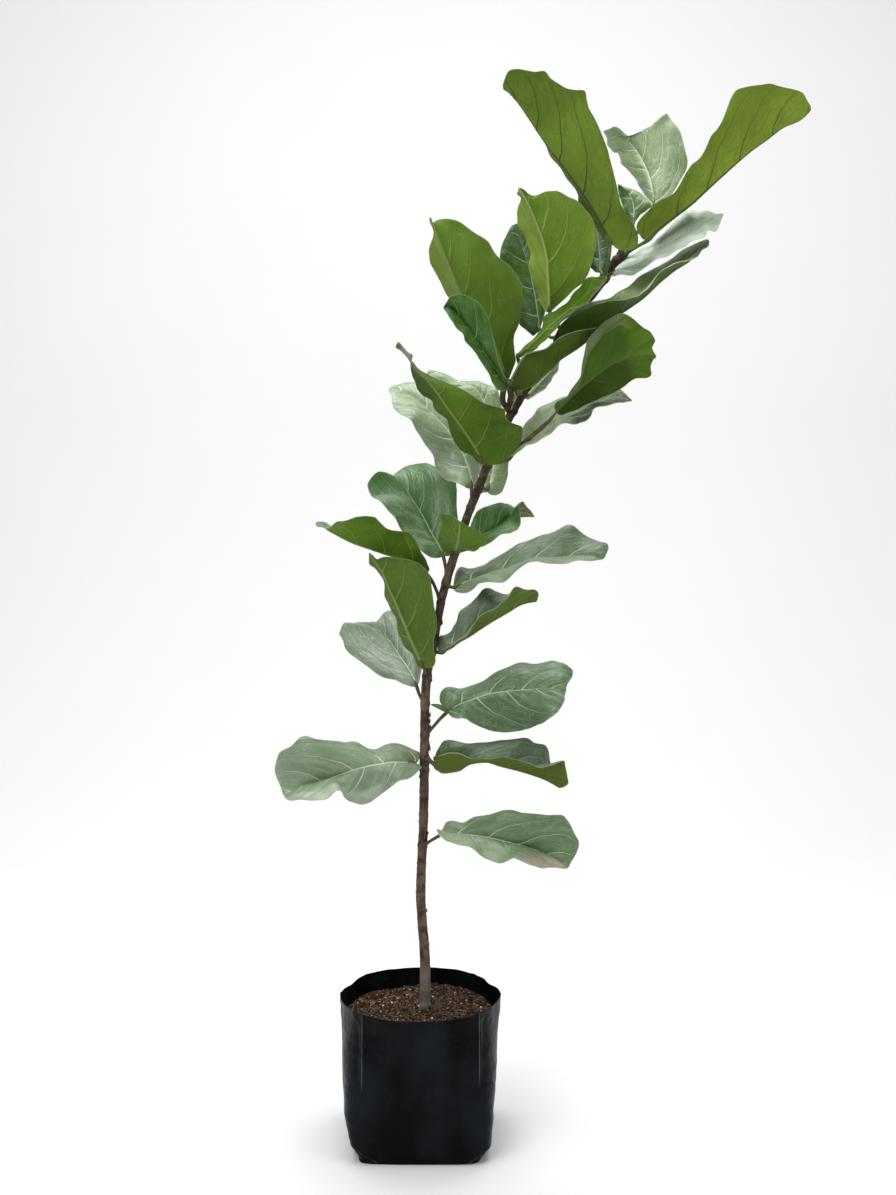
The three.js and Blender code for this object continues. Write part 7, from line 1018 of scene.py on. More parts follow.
# Each leaf's look: upper face, its veins, under face, its veins (all 0-255), then ribs, puff, ripple, waves, camber, curl,
# how far the side veins lean, and gloss.
# The face colours hold painted light and shade: pale greys on upper faces that catch the sheen, dark greens on shaded
# ones, and brighter under faces standing in for light shining through the leaf.
LOOKS = {
    'leaf_01': ((95, 127, 81), (196, 211, 184), (78, 100, 42), (140, 156, 86), 4.3, 1.4, 2.4, 3, 0.07, 0, 0.65, 0.7),
    'leaf_02': ((118, 141, 108), (199, 212, 187), (78, 100, 42), (140, 156, 86), 4.4, 1.4, 2.4, 3, 0.07, 0, 0.65, 0.7),
    'leaf_03': ((65, 94, 52), (142, 164, 128), (84, 103, 32), (104, 118, 56), 4.5, 1.4, 2.4, 3, 0.07, 0, 0.65, 0.7),
    'leaf_04': ((74, 112, 64), (183, 200, 171), (78, 100, 42), (140, 156, 86), 4.1, 1.4, 2.4, 3, 0.07, 0, 0.65, 0.7),
    'leaf_05': ((110, 129, 101), (198, 211, 186), (78, 100, 42), (140, 156, 86), 3.8, 1.4, 2, 3, 0.07, 0, 0.65, 0.7),
    'leaf_06': ((60, 86, 50), (141, 160, 127), (80, 108, 35), (124, 142, 84), 4.3, 1.4, 2, 3, 0.06, 0, 0.65, 0.7),
    'leaf_07': ((60, 86, 50), (141, 160, 127), (79, 113, 19), (118, 136, 66), 4.1, 1.4, 2.2, 3, 0.06, 0, 0.65, 0.7),
    'leaf_08': ((62, 103, 42), (141, 167, 124), (78, 100, 42), (140, 156, 86), 4, 1.4, 2, 3, 0.07, 0, 0.65, 0.55),
    'leaf_09': ((60, 86, 50), (141, 160, 127), (81, 112, 29), (128, 146, 86), 3.7, 1.4, 2, 3, 0.06, 0, 0.65, 0.7),
    'leaf_10': ((66, 115, 37), (143, 172, 122), (86, 108, 54), (132, 148, 90), 3.8, 1.4, 2, 3, 0.07, 0, 0.65, 0.4),
    'leaf_11': ((126, 148, 109), (200, 213, 187), (78, 100, 42), (140, 156, 86), 4.4, 1.4, 2.4, 3, 0.07, 0, 0.65, 0.7),
    'leaf_12': ((60, 86, 50), (141, 160, 127), (73, 102, 18), (116, 132, 66), 4.6, 1.4, 2.2, 3, 0.06, 0, 0.65, 0.7),
    'leaf_13': ((108, 135, 82), (198, 212, 184), (78, 100, 42), (140, 156, 86), 5, 1.4, 2.2, 3, 0.07, 0, 0.65, 0.7),
    'leaf_14': ((60, 86, 50), (141, 160, 127), (50, 78, 14), (70, 94, 30), 3.9, 1.4, 2.4, 3, 0.06, 0, 0.65, 0.7),
    'leaf_15': ((144, 166, 126), (203, 216, 190), (60, 78, 30), (110, 128, 64), 4.4, 1.4, 2.2, 3, 0.07, 0, 0.65, 0.35),
    'leaf_16': ((60, 86, 50), (141, 160, 127), (64, 84, 18), (84, 100, 40), 4, 1.4, 0.4, 2, 0.06, 0, 0.65, 0.7),
    'leaf_17': ((90, 116, 64), (186, 201, 171), (78, 100, 42), (140, 156, 86), 3.8, 1.4, 2, 3, 0.07, 0, 0.65, 0.7),
    'leaf_18': ((60, 86, 50), (141, 160, 127), (72, 107, 18), (128, 148, 70), 4.1, 1.4, 1.8, 3, 0.06, 0, 0.65, 0.7),
    'leaf_19': ((60, 86, 50), (141, 160, 127), (107, 139, 39), (156, 170, 98), 4.1, 1.4, 2.4, 3, 0.07, 0, 0.65, 0.7),
    'leaf_20': ((51, 88, 18), (137, 161, 115), (78, 100, 42), (140, 156, 86), 4, 1.4, 2, 3, 0.07, 0, 0.65, 0.35),
    'leaf_21': ((60, 86, 50), (141, 160, 127), (87, 116, 32), (122, 138, 74), 4.9, 1.4, 2.4, 3, 0.07, 0, 0.85, 0.7),
    'leaf_22': ((58, 104, 18), (140, 167, 115), (78, 100, 42), (140, 156, 86), 3.8, 1.4, 1.8, 3, 0.07, 0, 0.65, 0.25),
    'leaf_23': ((60, 86, 50), (141, 160, 127), (104, 129, 42), (66, 74, 34), 5, 1.4, 2.4, 3, 0.07, 0, 0.85, 0.7),
    'leaf_24': ((60, 86, 50), (141, 160, 127), (123, 148, 47), (84, 86, 44), 5.2, 1.4, 2.4, 3, 0.07, 0, 0.85, 0.7),
    'leaf_25': ((112, 136, 84), (198, 212, 184), (78, 100, 42), (140, 156, 86), 4.2, 1.4, 2.2, 3, 0.07, 0, 0.65, 0.7),
    'leaf_26': ((85, 121, 56), (185, 202, 170), (66, 86, 44), (112, 130, 80), 2.9, 1.4, 1.6, 3, 0.06, 0, 0.65, 0.5),
    'leaf_27': ((173, 188, 170), (206, 218, 195), (78, 100, 42), (140, 156, 86), 4, 1.4, 2.2, 3, 0.07, 0, 0.65, 0.7),
    'leaf_28': ((166, 190, 126), (206, 220, 180), (66, 92, 26), (92, 112, 48), 5, 0.9, 2, 3, 0.06, 0, 0.65, 0.7),
    'leaf_29': ((37, 72, 18), (132, 155, 115), (78, 100, 42), (140, 156, 86), 3.7, 1.4, 1.8, 3, 0.07, 0, 0.65, 0.4),
    'leaf_30': ((93, 120, 79), (196, 210, 184), (84, 100, 48), (124, 138, 84), 4.7, 1.4, 2.2, 3, 0.07, 0, 0.65, 0.7),
    'leaf_31': ((104, 126, 94), (195, 210, 183), (84, 104, 36), (124, 134, 82), 4, 1.4, 2.2, 3, 0.06, 0, 0.65, 0.7),
}

# Painted light and shade on folded blades: the tone of the left and of the right half of a face, as factors on its
# colour, one half lighter where it faces the light.
HALVES = {
    "leaf_01.upper": ((0.85, 0.9, 0.85), (2.1, 1.55, 2.2)),
    "leaf_30.upper": ((0.85, 0.88, 0.85), (2.25, 1.78, 2.5)),
    "leaf_19.under": ((0.97, 1.0, 0.95), (1.65, 1.38, 2.2)),
    "leaf_21.under": ((0.97, 1.0, 0.95), (1.7, 1.45, 2.2)),
    "leaf_25.upper": ((1.35, 1.3, 1.45), (1.0, 1.0, 1.0)),
    "leaf_14.under": ((1.2, 0.98, 0.72), (1.6, 1.5, 1.1)),
}

# Olive tone at a leaf's base: colour, side (1 left, -1 right, 0 both), how far along the blade.
WASH = {
    "leaf_02": ((0.130, 0.165, 0.045), -1.0, 0.16),
    "leaf_03": ((0.062, 0.080, 0.010), -1.0, 0.46),
    "leaf_04": ((0.085, 0.115, 0.035), 1.0, 0.10),
}

# A painted highlight, a paler band along a margin of the under face where the rolled margin catches the light: colour,
# side, width in millimetres, from and to along the blade.
STRIP = {
    "leaf_14": ((0.150, 0.205, 0.085), -1.0, 20.0, 0.05, 0.75),
    "leaf_16": ((0.290, 0.370, 0.190), -1.0, 3.0, 0.10, 0.95),
    "leaf_31": ((0.300, 0.360, 0.230), -1.0, 2.6, 0.05, 0.90),
    "leaf_03": ((0.330, 0.400, 0.270), -1.0, 2.8, 0.05, 0.85),
}

# Leaves young enough to have green petioles.
YOUNG = (16, 18, 19, 20, 23, 24, 25, 26, 27, 28, 29)

# Painted light and shade on parts of a face, paler where the blade catches light and darker where it lies in shade:
# colour, from and to along the blade, from and to across it.
PATCHES = {
    "leaf_01.upper": [((186, 164, 146), 0.70, 0.97, -1.1, -0.40)],
    "leaf_02.upper": [((170, 182, 162), 0.30, 1.05, 0.62, 1.10)],
    "leaf_15.upper": [((44, 58, 26), 0.52, 0.84, -1.3, -0.36, 0.9), ((70, 90, 38), 0.80, 1.20, -1.3, 1.30, 0.85)],
    "leaf_28.upper": [((190, 206, 164), 0.50, 1.10, -1.1, 1.10), ((120, 152, 66), -0.10, 0.22, -1.1, 1.10)],
    "leaf_14.under": [((86, 116, 28), 0.70, 1.10, -1.1, 1.10)],
    "leaf_27.upper": [((92, 110, 84), -0.10, 0.34, -1.3, -0.50, 0.75)],
    "leaf_12.under": [((54, 76, 14), 0.55, 0.80, -1.1, -0.2)],
}

# Leaves with a stout petiole, and how stout.
STOUT = {"leaf_21": 1.7, "leaf_22": 1.8, "leaf_14": 1.25, "leaf_03": 1.3}

# ---------------------------------------------------------------- small helpers
MM = 0.001
rng = np.random.default_rng(7)


def smoothstep(x, a, b):
    t = np.clip((x - a) / (b - a), 0, 1)
    return t * t * (3 - 2 * t)


def spline(points, count, start=0.0, stop=1.0):
    """Cubic run through evenly spaced stations, sampled at count places."""
    p = np.asarray(points, float)
    n = len(p) - 1
    x = np.linspace(start, stop, count) * n
    i = np.clip(np.floor(x).astype(int), 0, n - 1)
    t = (x - i)[:, None]
    ext = np.vstack([2 * p[0] - p[1], p, 2 * p[-1] - p[-2]])
    a, b, c, d = ext[i], ext[i + 1], ext[i + 2], ext[i + 3]
    return 0.5 * (2 * b + (c - a) * t + (2 * a - 5 * b + 4 * c - d) * t * t + (3 * b - a - 3 * c + d) * t ** 3)


def by_length(points, count):
    """The same run with its samples spread evenly over its length."""
    fine = spline(points, max(200, count * 4))
    s = np.r_[0, np.cumsum(np.linalg.norm(np.diff(fine[:, :3], axis=0), axis=1))]
    at = np.linspace(0, s[-1], count)
    return np.stack([np.interp(at, s, fine[:, k]) for k in range(fine.shape[1])], 1)


def unit(v):
    return v / np.maximum(np.linalg.norm(v, axis=-1, keepdims=True), 1e-9)


def lattice(points, scale, seed=0, octaves=4, rough=0.5):
    """Smooth noise in about -1..1 at each point, from a hashed lattice."""
    p = np.asarray(points, float) * scale + 37.7 * (seed + 1)
    total = np.zeros(len(p))
    gain, norm = 1.0, 0.0
    for o in range(octaves):
        i = np.floor(p).astype(np.int64)
        f = p - i
        f = f * f * (3 - 2 * f)
        val = np.zeros(len(p))
        for dx in (0, 1):
            for dy in (0, 1):
                for dz in (0, 1):
                    h = ((i[:, 0] + dx) * 374761393 + (i[:, 1] + dy) * 668265263 + (i[:, 2] + dz) * 2147483647 + seed * 144665 + o * 7919) & 0xFFFFFFFF
                    h = ((h ^ (h >> 13)) * 1274126177) & 0xFFFFFFFF
                    h = (h ^ (h >> 16)) & 0xFFFFFF
                    w = (f[:, 0] if dx else 1 - f[:, 0]) * (f[:, 1] if dy else 1 - f[:, 1]) * (f[:, 2] if dz else 1 - f[:, 2])
                    val += w * (h / 0xFFFFFF * 2 - 1)
        total += gain * val
        norm += gain
        gain *= rough
        p = p * 2.03 + 11.3
    return total / norm


def make_mesh(name, verts, faces, mats, face_mat=None, smooth=True, uvs=None):
    me = bpy.data.meshes.new(name)
    v = np.ascontiguousarray(np.asarray(verts, np.float32))
    me.vertices.add(len(v))
    me.vertices.foreach_set("co", v.ravel())
    sizes = np.array([len(f) for f in faces], np.int32)
    loops = np.fromiter((i for f in faces for i in f), np.int32, count=int(sizes.sum()))
    me.loops.add(len(loops))
    me.loops.foreach_set("vertex_index", loops)
    me.polygons.add(len(sizes))
    me.polygons.foreach_set("loop_start", np.r_[0, np.cumsum(sizes)[:-1]].astype(np.int32))
    me.polygons.foreach_set("loop_total", sizes)
    if face_mat is not None:
        me.polygons.foreach_set("material_index", np.asarray(face_mat, np.int32))
    me.polygons.foreach_set("use_smooth", np.full(len(sizes), smooth, bool))
    for key, arr in (uvs or {}).items():
        layer = me.uv_layers.new(name=key, do_init=False)
        layer.uv.foreach_set("vector", np.ascontiguousarray(arr, np.float32).ravel())
    me.update(calc_edges=True)
    me.validate()
    for m in mats:
        me.materials.append(m)
    ob = bpy.data.objects.new(name, me)
    bpy.context.scene.collection.objects.link(ob)
    return ob


def tube(line, radii, sides, shape=None, phase=0.0):
    """Vertices and faces of a closed tube along a line; shape(i, angle) scales the radius."""
    line = np.asarray(line, float)
    n = len(line)
    tan = unit(np.gradient(line, axis=0))
    ref = np.array([1.0, 0, 0]) if abs(tan[0][0]) < 0.9 else np.array([0, 1.0, 0])
    ring = []
    ang = np.arange(sides) * 2 * math.pi / sides + phase
    frames = []
    for i in range(n):
        a = ref - tan[i] * (ref @ tan[i])
        a /= np.linalg.norm(a)
        b = np.cross(tan[i], a)
        ref = a
        frames.append((a, b))
        r = radii[i] * (np.ones(sides) if shape is None else shape(i, ang))
        ring.append(line[i] + (a[None] * (np.cos(ang) * r)[:, None]) + (b[None] * (np.sin(ang) * r)[:, None]))
    verts = np.vstack(ring)
    faces = []
    for i in range(n - 1):
        for k in range(sides):
            k2 = (k + 1) % sides
            faces.append((i * sides + k, i * sides + k2, (i + 1) * sides + k2, (i + 1) * sides + k))
    c0, c1 = len(verts), len(verts) + 1
    verts = np.vstack([verts, line[0], line[-1]])
    for k in range(sides):
        k2 = (k + 1) % sides
        faces.append((c0, k2, k))
        faces.append((c1, (n - 1) * sides + k, (n - 1) * sides + k2))
    return verts, faces


# ---------------------------------------------------------------- node helpers
class Graph:
    """Short spelling for a material's node tree."""

    def __init__(self, name):
        self.mat = bpy.data.materials.new(name)
        self.mat.use_nodes = True
        self.nt = self.mat.node_tree
        self.bsdf = self.nt.nodes["Principled BSDF"]

    def put(self, kind, links=None, **props):
        n = self.nt.nodes.new(kind)
        for k, v in props.items():
            setattr(n, k, v)
        for k, v in (links or {}).items():
            self.feed(n.inputs[k], v)
        return n

    def feed(self, socket, v):
        if isinstance(v, bpy.types.NodeSocket):
            self.nt.links.new(v, socket)
        elif isinstance(v, (tuple, list)):
            socket.default_value = (*v, 1.0) if len(v) == 3 and len(socket.default_value) == 4 else v
        else:
            socket.default_value = v

    def m(self, op, a, b=0.0, c=0.0, clamp=False):
        n = self.put("ShaderNodeMath", {0: a, 1: b, 2: c}, operation=op, use_clamp=clamp)
        return n.outputs[0]

    def band(self, x, a, b, to0=0.0, to1=1.0):
        n = self.put("ShaderNodeMapRange", interpolation_type="SMOOTHSTEP")
        self.feed(n.inputs["Value"], x)
        for key, v in (("From Min", a), ("From Max", b), ("To Min", to0), ("To Max", to1)):
            self.feed(n.inputs[key], v)
        return n.outputs["Result"]

    def mix(self, f, a, b, blend="MIX"):
        n = self.put("ShaderNodeMix", data_type="RGBA", blend_type=blend)
        self.feed(n.inputs["Factor"], f)
        self.feed(n.inputs["A"] if False else n.inputs[6], a)
        self.feed(n.inputs[7], b)
        return n.outputs[2]

    def noise(self, vector, scale, detail=3.0, rough=0.5, distortion=0.0):
        n = self.put("ShaderNodeTexNoise", {"Vector": vector, "Scale": scale, "Detail": detail, "Roughness": rough, "Distortion": distortion})
        return n.outputs["Fac"]

    def voronoi(self, vector, scale, feature="DISTANCE_TO_EDGE", randomness=1.0):
        n = self.put("ShaderNodeTexVoronoi", {"Vector": vector, "Scale": scale, "Randomness": randomness}, feature=feature)
        return n

    def uv(self, name):
        n = self.put("ShaderNodeUVMap", uv_map=name)
        s = self.put("ShaderNodeSeparateXYZ", {0: n.outputs[0]})
        return s.outputs[0], s.outputs[1]

    def xyz(self, x, y, z=0.0):
        return self.put("ShaderNodeCombineXYZ", {0: x, 1: y, 2: z}).outputs[0]

    def place(self):
        return self.put("ShaderNodeTexCoord").outputs["Object"]

    def bump(self, height, distance, strength=1.0, below=None):
        links = {"Height": height, "Distance": distance, "Strength": strength}
        n = self.put("ShaderNodeBump", links)
        if below is not None:
            self.feed(n.inputs["Normal"], below)
        return n.outputs[0]

    def finish(self, color=None, rough=None, normal=None, **plain):
        if color is not None:
            self.feed(self.bsdf.inputs["Base Color"], color)
        if rough is not None:
            self.feed(self.bsdf.inputs["Roughness"], rough)
        if normal is not None:
            self.feed(self.bsdf.inputs["Normal"], normal)
        for k, v in plain.items():
            self.bsdf.inputs[k.replace("_", " ")].default_value = v
        return self.mat


def srgb(r, g, b):
    return tuple(((c / 255) / 12.92 if c / 255 <= 0.04045 else ((c / 255 + 0.055) / 1.055) ** 2.4) for c in (r, g, b))


def shade(c, k):
    return tuple(min(1.0, x * k) for x in c)


def blend(a, b, f):
    return tuple(x * (1 - f) + y * f for x, y in zip(a, b))


# ---------------------------------------------------------------- leaf materials
def leaf_material(name, body, vein, seed, upper, halves=None, wash=None, strip=None, gloss=0.7, patches=()):
    """One face of a leaf. body and vein are linear colours. The vein net is laid out by the blade's own maps:
    rib = (count along the side veins, millimetres per count across them), lam = (mm from the midrib, mm from the margin),
    run = (place along the blade, place across it)."""
    g = Graph(name)
    q, gap = g.uv("rib")
    tau, edge = g.uv("lam")
    u, v = g.uv("run")
    place = g.place()
    wander = g.m("MULTIPLY", g.m("SUBTRACT", g.noise(place, 28.0, 2.0), 0.5), 0.26)
    q = g.m("ADD", q, wander)
    frac = g.m("SUBTRACT", g.m("FRACT", g.m("ADD", q, 0.5)), 0.5)
    dist = g.m("MULTIPLY", g.m("ABSOLUTE", frac), gap)
    across = g.m("ABSOLUTE", v)
    # half widths in millimetres
    w_mid = g.band(u, 0.0, 1.0, 2.6 if upper else 2.9, 0.7)
    w_side = g.band(across, 0.0, 1.0, 1.6 if upper else 1.6, 0.45)
    mid = g.band(tau, g.m("MULTIPLY", w_mid, 0.45), w_mid, 1.0, 0.0)
    side = g.band(dist, g.m("MULTIPLY", w_side, 0.4), w_side, 1.0, 0.0)
    side = g.m("MULTIPLY", side, g.band(q, -0.45, -0.3, 0.0, 1.0))
    side = g.m("MULTIPLY", side, g.band(edge, 1.0, 9.0, 0.0, 1.0))
    net_at = g.xyz(g.m("MULTIPLY", g.m("MULTIPLY", q, gap), 0.055), g.m("MULTIPLY", tau, 0.048), float(seed))
    net_at = g.put("ShaderNodeVectorMath", {0: net_at, 1: g.put("ShaderNodeVectorMath", {0: g.put("ShaderNodeTexNoise", {"Vector": place, "Scale": 70.0}).outputs["Color"], 1: (0.5, 0.5, 0.5)}, operation="SUBTRACT").outputs[0]}, operation="ADD").outputs[0]
    blot_n = g.noise(place, 22.0, 2.0)
    cell = g.voronoi(net_at, 1.0, randomness=0.9).outputs["Distance"]
    fine = g.voronoi(net_at, 3.6, randomness=0.9).outputs["Distance"]
    third = g.m("MULTIPLY", g.band(cell, 0.010, 0.040, 1.0, 0.0), g.band(blot_n, 0.35, 0.6, 0.35, 1.0))
    fourth = g.band(fine, 0.015, 0.085, 1.0, 0.0)
    rim = g.band(edge, 0.5, 1.6, 1.0, 0.0)
    cloud = g.noise(place, 11.0, 3.0)
    blot = g.noise(place, 45.0, 4.0, 0.6)
    # near: painted shade in the valleys beside the side veins, darker towards each vein
    near = g.band(dist, 1.0, 9.0, 1.0, 0.0)
    # one half of the face painted lighter than the other, as the light falls on the fold
    if halves:
        left, right = halves
        side_of = g.band(v, -0.02, 0.02)
        body_low = g.mix(side_of, tuple(b * r * 0.83 for b, r in zip(body, right)), tuple(b * l * 0.83 for b, l in zip(body, left)))
        body_high = g.mix(side_of, tuple(b * r * 1.16 for b, r in zip(body, right)), tuple(b * l * 1.16 for b, l in zip(body, left)))
    else:
        body_low, body_high = shade(body, 0.78), shade(body, 1.22)
    if wash:
        tone, side_v, reach = wash
        on = g.band(u, reach * 0.7, reach, 1.0, 0.0)
        if side_v:
            on = g.m("MULTIPLY", on, g.band(g.m("MULTIPLY", v, side_v), 0.02, 0.1))
        body_low = g.mix(on, body_low, tuple(0.8 * c for c in tone))
        body_high = g.mix(on, body_high, tuple(1.2 * c for c in tone))
    band_on = None
    # painted highlight along a rolled margin of the under face
    if strip:
        tone, side_v, wide, start, stop = strip
        band_on = g.m("MULTIPLY", g.band(g.m("ADD", edge, g.m("MULTIPLY", g.m("SUBTRACT", cloud, 0.5), wide * 0.8)), wide * 0.85, wide, 1.0, 0.0), g.band(g.m("MULTIPLY", v, side_v), 0.1, 0.2))
        band_on = g.m("MULTIPLY", band_on, g.m("MULTIPLY", g.band(u, start, start + 0.06), g.band(u, stop - 0.06, stop, 1.0, 0.0)))
        body_low = g.mix(band_on, body_low, tuple(0.85 * c for c in tone))
        body_high = g.mix(band_on, body_high, tuple(1.15 * c for c in tone))
    painted = []
    # patches of painted light and shade on the face
    for tone, u0, u1, v0, v1, *over in patches:
        ragged = g.m("MULTIPLY", g.m("SUBTRACT", cloud, 0.5), 0.3)
        ur, vr = g.m("ADD", u, ragged), g.m("ADD", v, ragged)
        on = g.m("MULTIPLY", g.band(ur, u0 - 0.05, u0 + 0.05), g.band(ur, u1 - 0.04, u1 + 0.04, 1.0, 0.0))
        on = g.m("MULTIPLY", on, g.m("MULTIPLY", g.band(vr, v0 - 0.08, v0 + 0.08), g.band(vr, v1 - 0.08, v1 + 0.08, 1.0, 0.0)))
        on = g.m("MULTIPLY", on, 0.9)
        body_low = g.mix(on, body_low, tuple(0.82 * c for c in tone))
        body_high = g.mix(on, body_high, tuple(1.18 * c for c in tone))
        if over:
            painted.append((g.m("MULTIPLY", on, over[0]), tone))
    if upper:
        # painted sheen that runs in streaks along the side veins: pale grey where the glossy face would reflect light,
        # darker between the streaks
        along = g.xyz(g.m("MULTIPLY", g.m("MULTIPLY", q, gap), 0.11), g.m("MULTIPLY", tau, 0.016), float(seed) + 7.0)
        streak = g.noise(along, 1.0, 4.0, 0.62, 0.5)
        col = g.mix(g.band(cloud, 0.3, 0.7), body_low, body_high)
        col = g.mix(g.band(streak, 0.47, 0.72, 0.0, 0.6 * gloss), col, blend(shade(body, 1.55), (0.46, 0.50, 0.45), 0.38))
        col = g.mix(g.band(streak, 0.50, 0.30, 0.0, 0.34), col, shade(body, 0.66))
        col = g.mix(g.m("MULTIPLY", g.band(blot, 0.38, 0.72), 0.4), col, blend(shade(body, 1.3), (0.32, 0.38, 0.3), 0.28))
        # a patch of painted light and shade that lies over the painted sheen
        for on, tone in painted:
            col = g.mix(on, col, g.mix(g.band(blot, 0.35, 0.7), tuple(0.8 * c for c in tone), tuple(1.25 * c for c in tone)))
        speck = g.noise(place, 260.0, 2.0)
        col = g.mix(g.m("MULTIPLY", g.band(speck, 0.42, 0.7), 0.22), col, shade(body, 0.6))
        col = g.mix(g.m("MULTIPLY", near, 0.22), col, shade(body, 0.72))
        col = g.mix(g.m("MULTIPLY", third, 0.20), col, vein)
        col = g.mix(g.m("MULTIPLY", fourth, 0.10), col, vein)
        col = g.mix(g.m("MULTIPLY", side, 0.95), col, vein)
        col = g.mix(g.m("MULTIPLY", mid, 0.92), col, shade(vein, 1.08))
        col = g.mix(g.m("MULTIPLY", rim, 0.55), col, blend(vein, (0.36, 0.4, 0.26), 0.3))
        high = g.m("ADD", g.m("MULTIPLY", g.band(cell, 0.0, 0.32), 0.5), g.m("MULTIPLY", fine, 0.25))
        high = g.m("SUBTRACT", high, g.m("MULTIPLY", g.m("MAXIMUM", side, mid), 0.7))
        high = g.m("ADD", high, g.m("MULTIPLY", streak, 0.8))
        normal = g.bump(high, 0.0010, 0.8)
        rough = g.m("ADD", g.band(streak, 0.35, 0.7, 0.46, 0.34), g.m("MULTIPLY", mid, 0.1))
        return g.finish(col, rough, normal, Specular_IOR_Level=gloss)
    col = g.mix(g.band(cloud, 0.3, 0.7), body_low, body_high)
    col = g.mix(g.m("MULTIPLY", near, 0.30), col, shade(body, 0.78))
    col = g.mix(g.m("MULTIPLY", g.band(blot, 0.4, 0.8), 0.25), col, shade(body, 1.2))
    col = g.mix(g.m("MULTIPLY", third, 0.34), col, vein)
    col = g.mix(g.m("MULTIPLY", fourth, 0.14), col, vein)
    col = g.mix(g.m("MULTIPLY", side, 0.95), col, vein)
    col = g.mix(g.m("MULTIPLY", mid, 0.95), col, shade(vein, 1.05))
    col = g.mix(g.m("MULTIPLY", rim, 0.5), col, blend(vein, (0.4, 0.45, 0.25), 0.3))
    high = g.m("SUBTRACT", g.m("MULTIPLY", g.m("MAXIMUM", side, third), 0.55), g.m("MULTIPLY", g.band(cell, 0.0, 0.3), 0.3))
    high = g.m("ADD", high, g.m("MULTIPLY", fourth, 0.12))
    normal = g.bump(high, 0.0008, 0.8)
    return g.finish(col, g.band(blot, 0.3, 0.7, 0.48, 0.62), normal, Specular_IOR_Level=0.14)


def petiole_material(name, low, high_c, seed):
    g = Graph(name)
    place = g.place()
    n1 = g.noise(place, 60.0, 4.0)
    n2 = g.noise(place, 400.0, 3.0)
    col = g.mix(g.band(n1, 0.35, 0.68), low, high_c)
    col = g.mix(g.m("MULTIPLY", g.band(n2, 0.5, 0.75), 0.45), col, shade(high_c, 1.5))
    return g.finish(col, g.band(n1, 0.3, 0.7, 0.45, 0.65), g.bump(n2, 0.0004, 0.6), Specular_IOR_Level=0.4)


# ---------------------------------------------------------------- leaves
HALF_COLS = np.array([0, .02, .045, .085, .14, .2, .27, .35, .43, .52, .61, .7, .78, .86, .93, .975, 1.0])


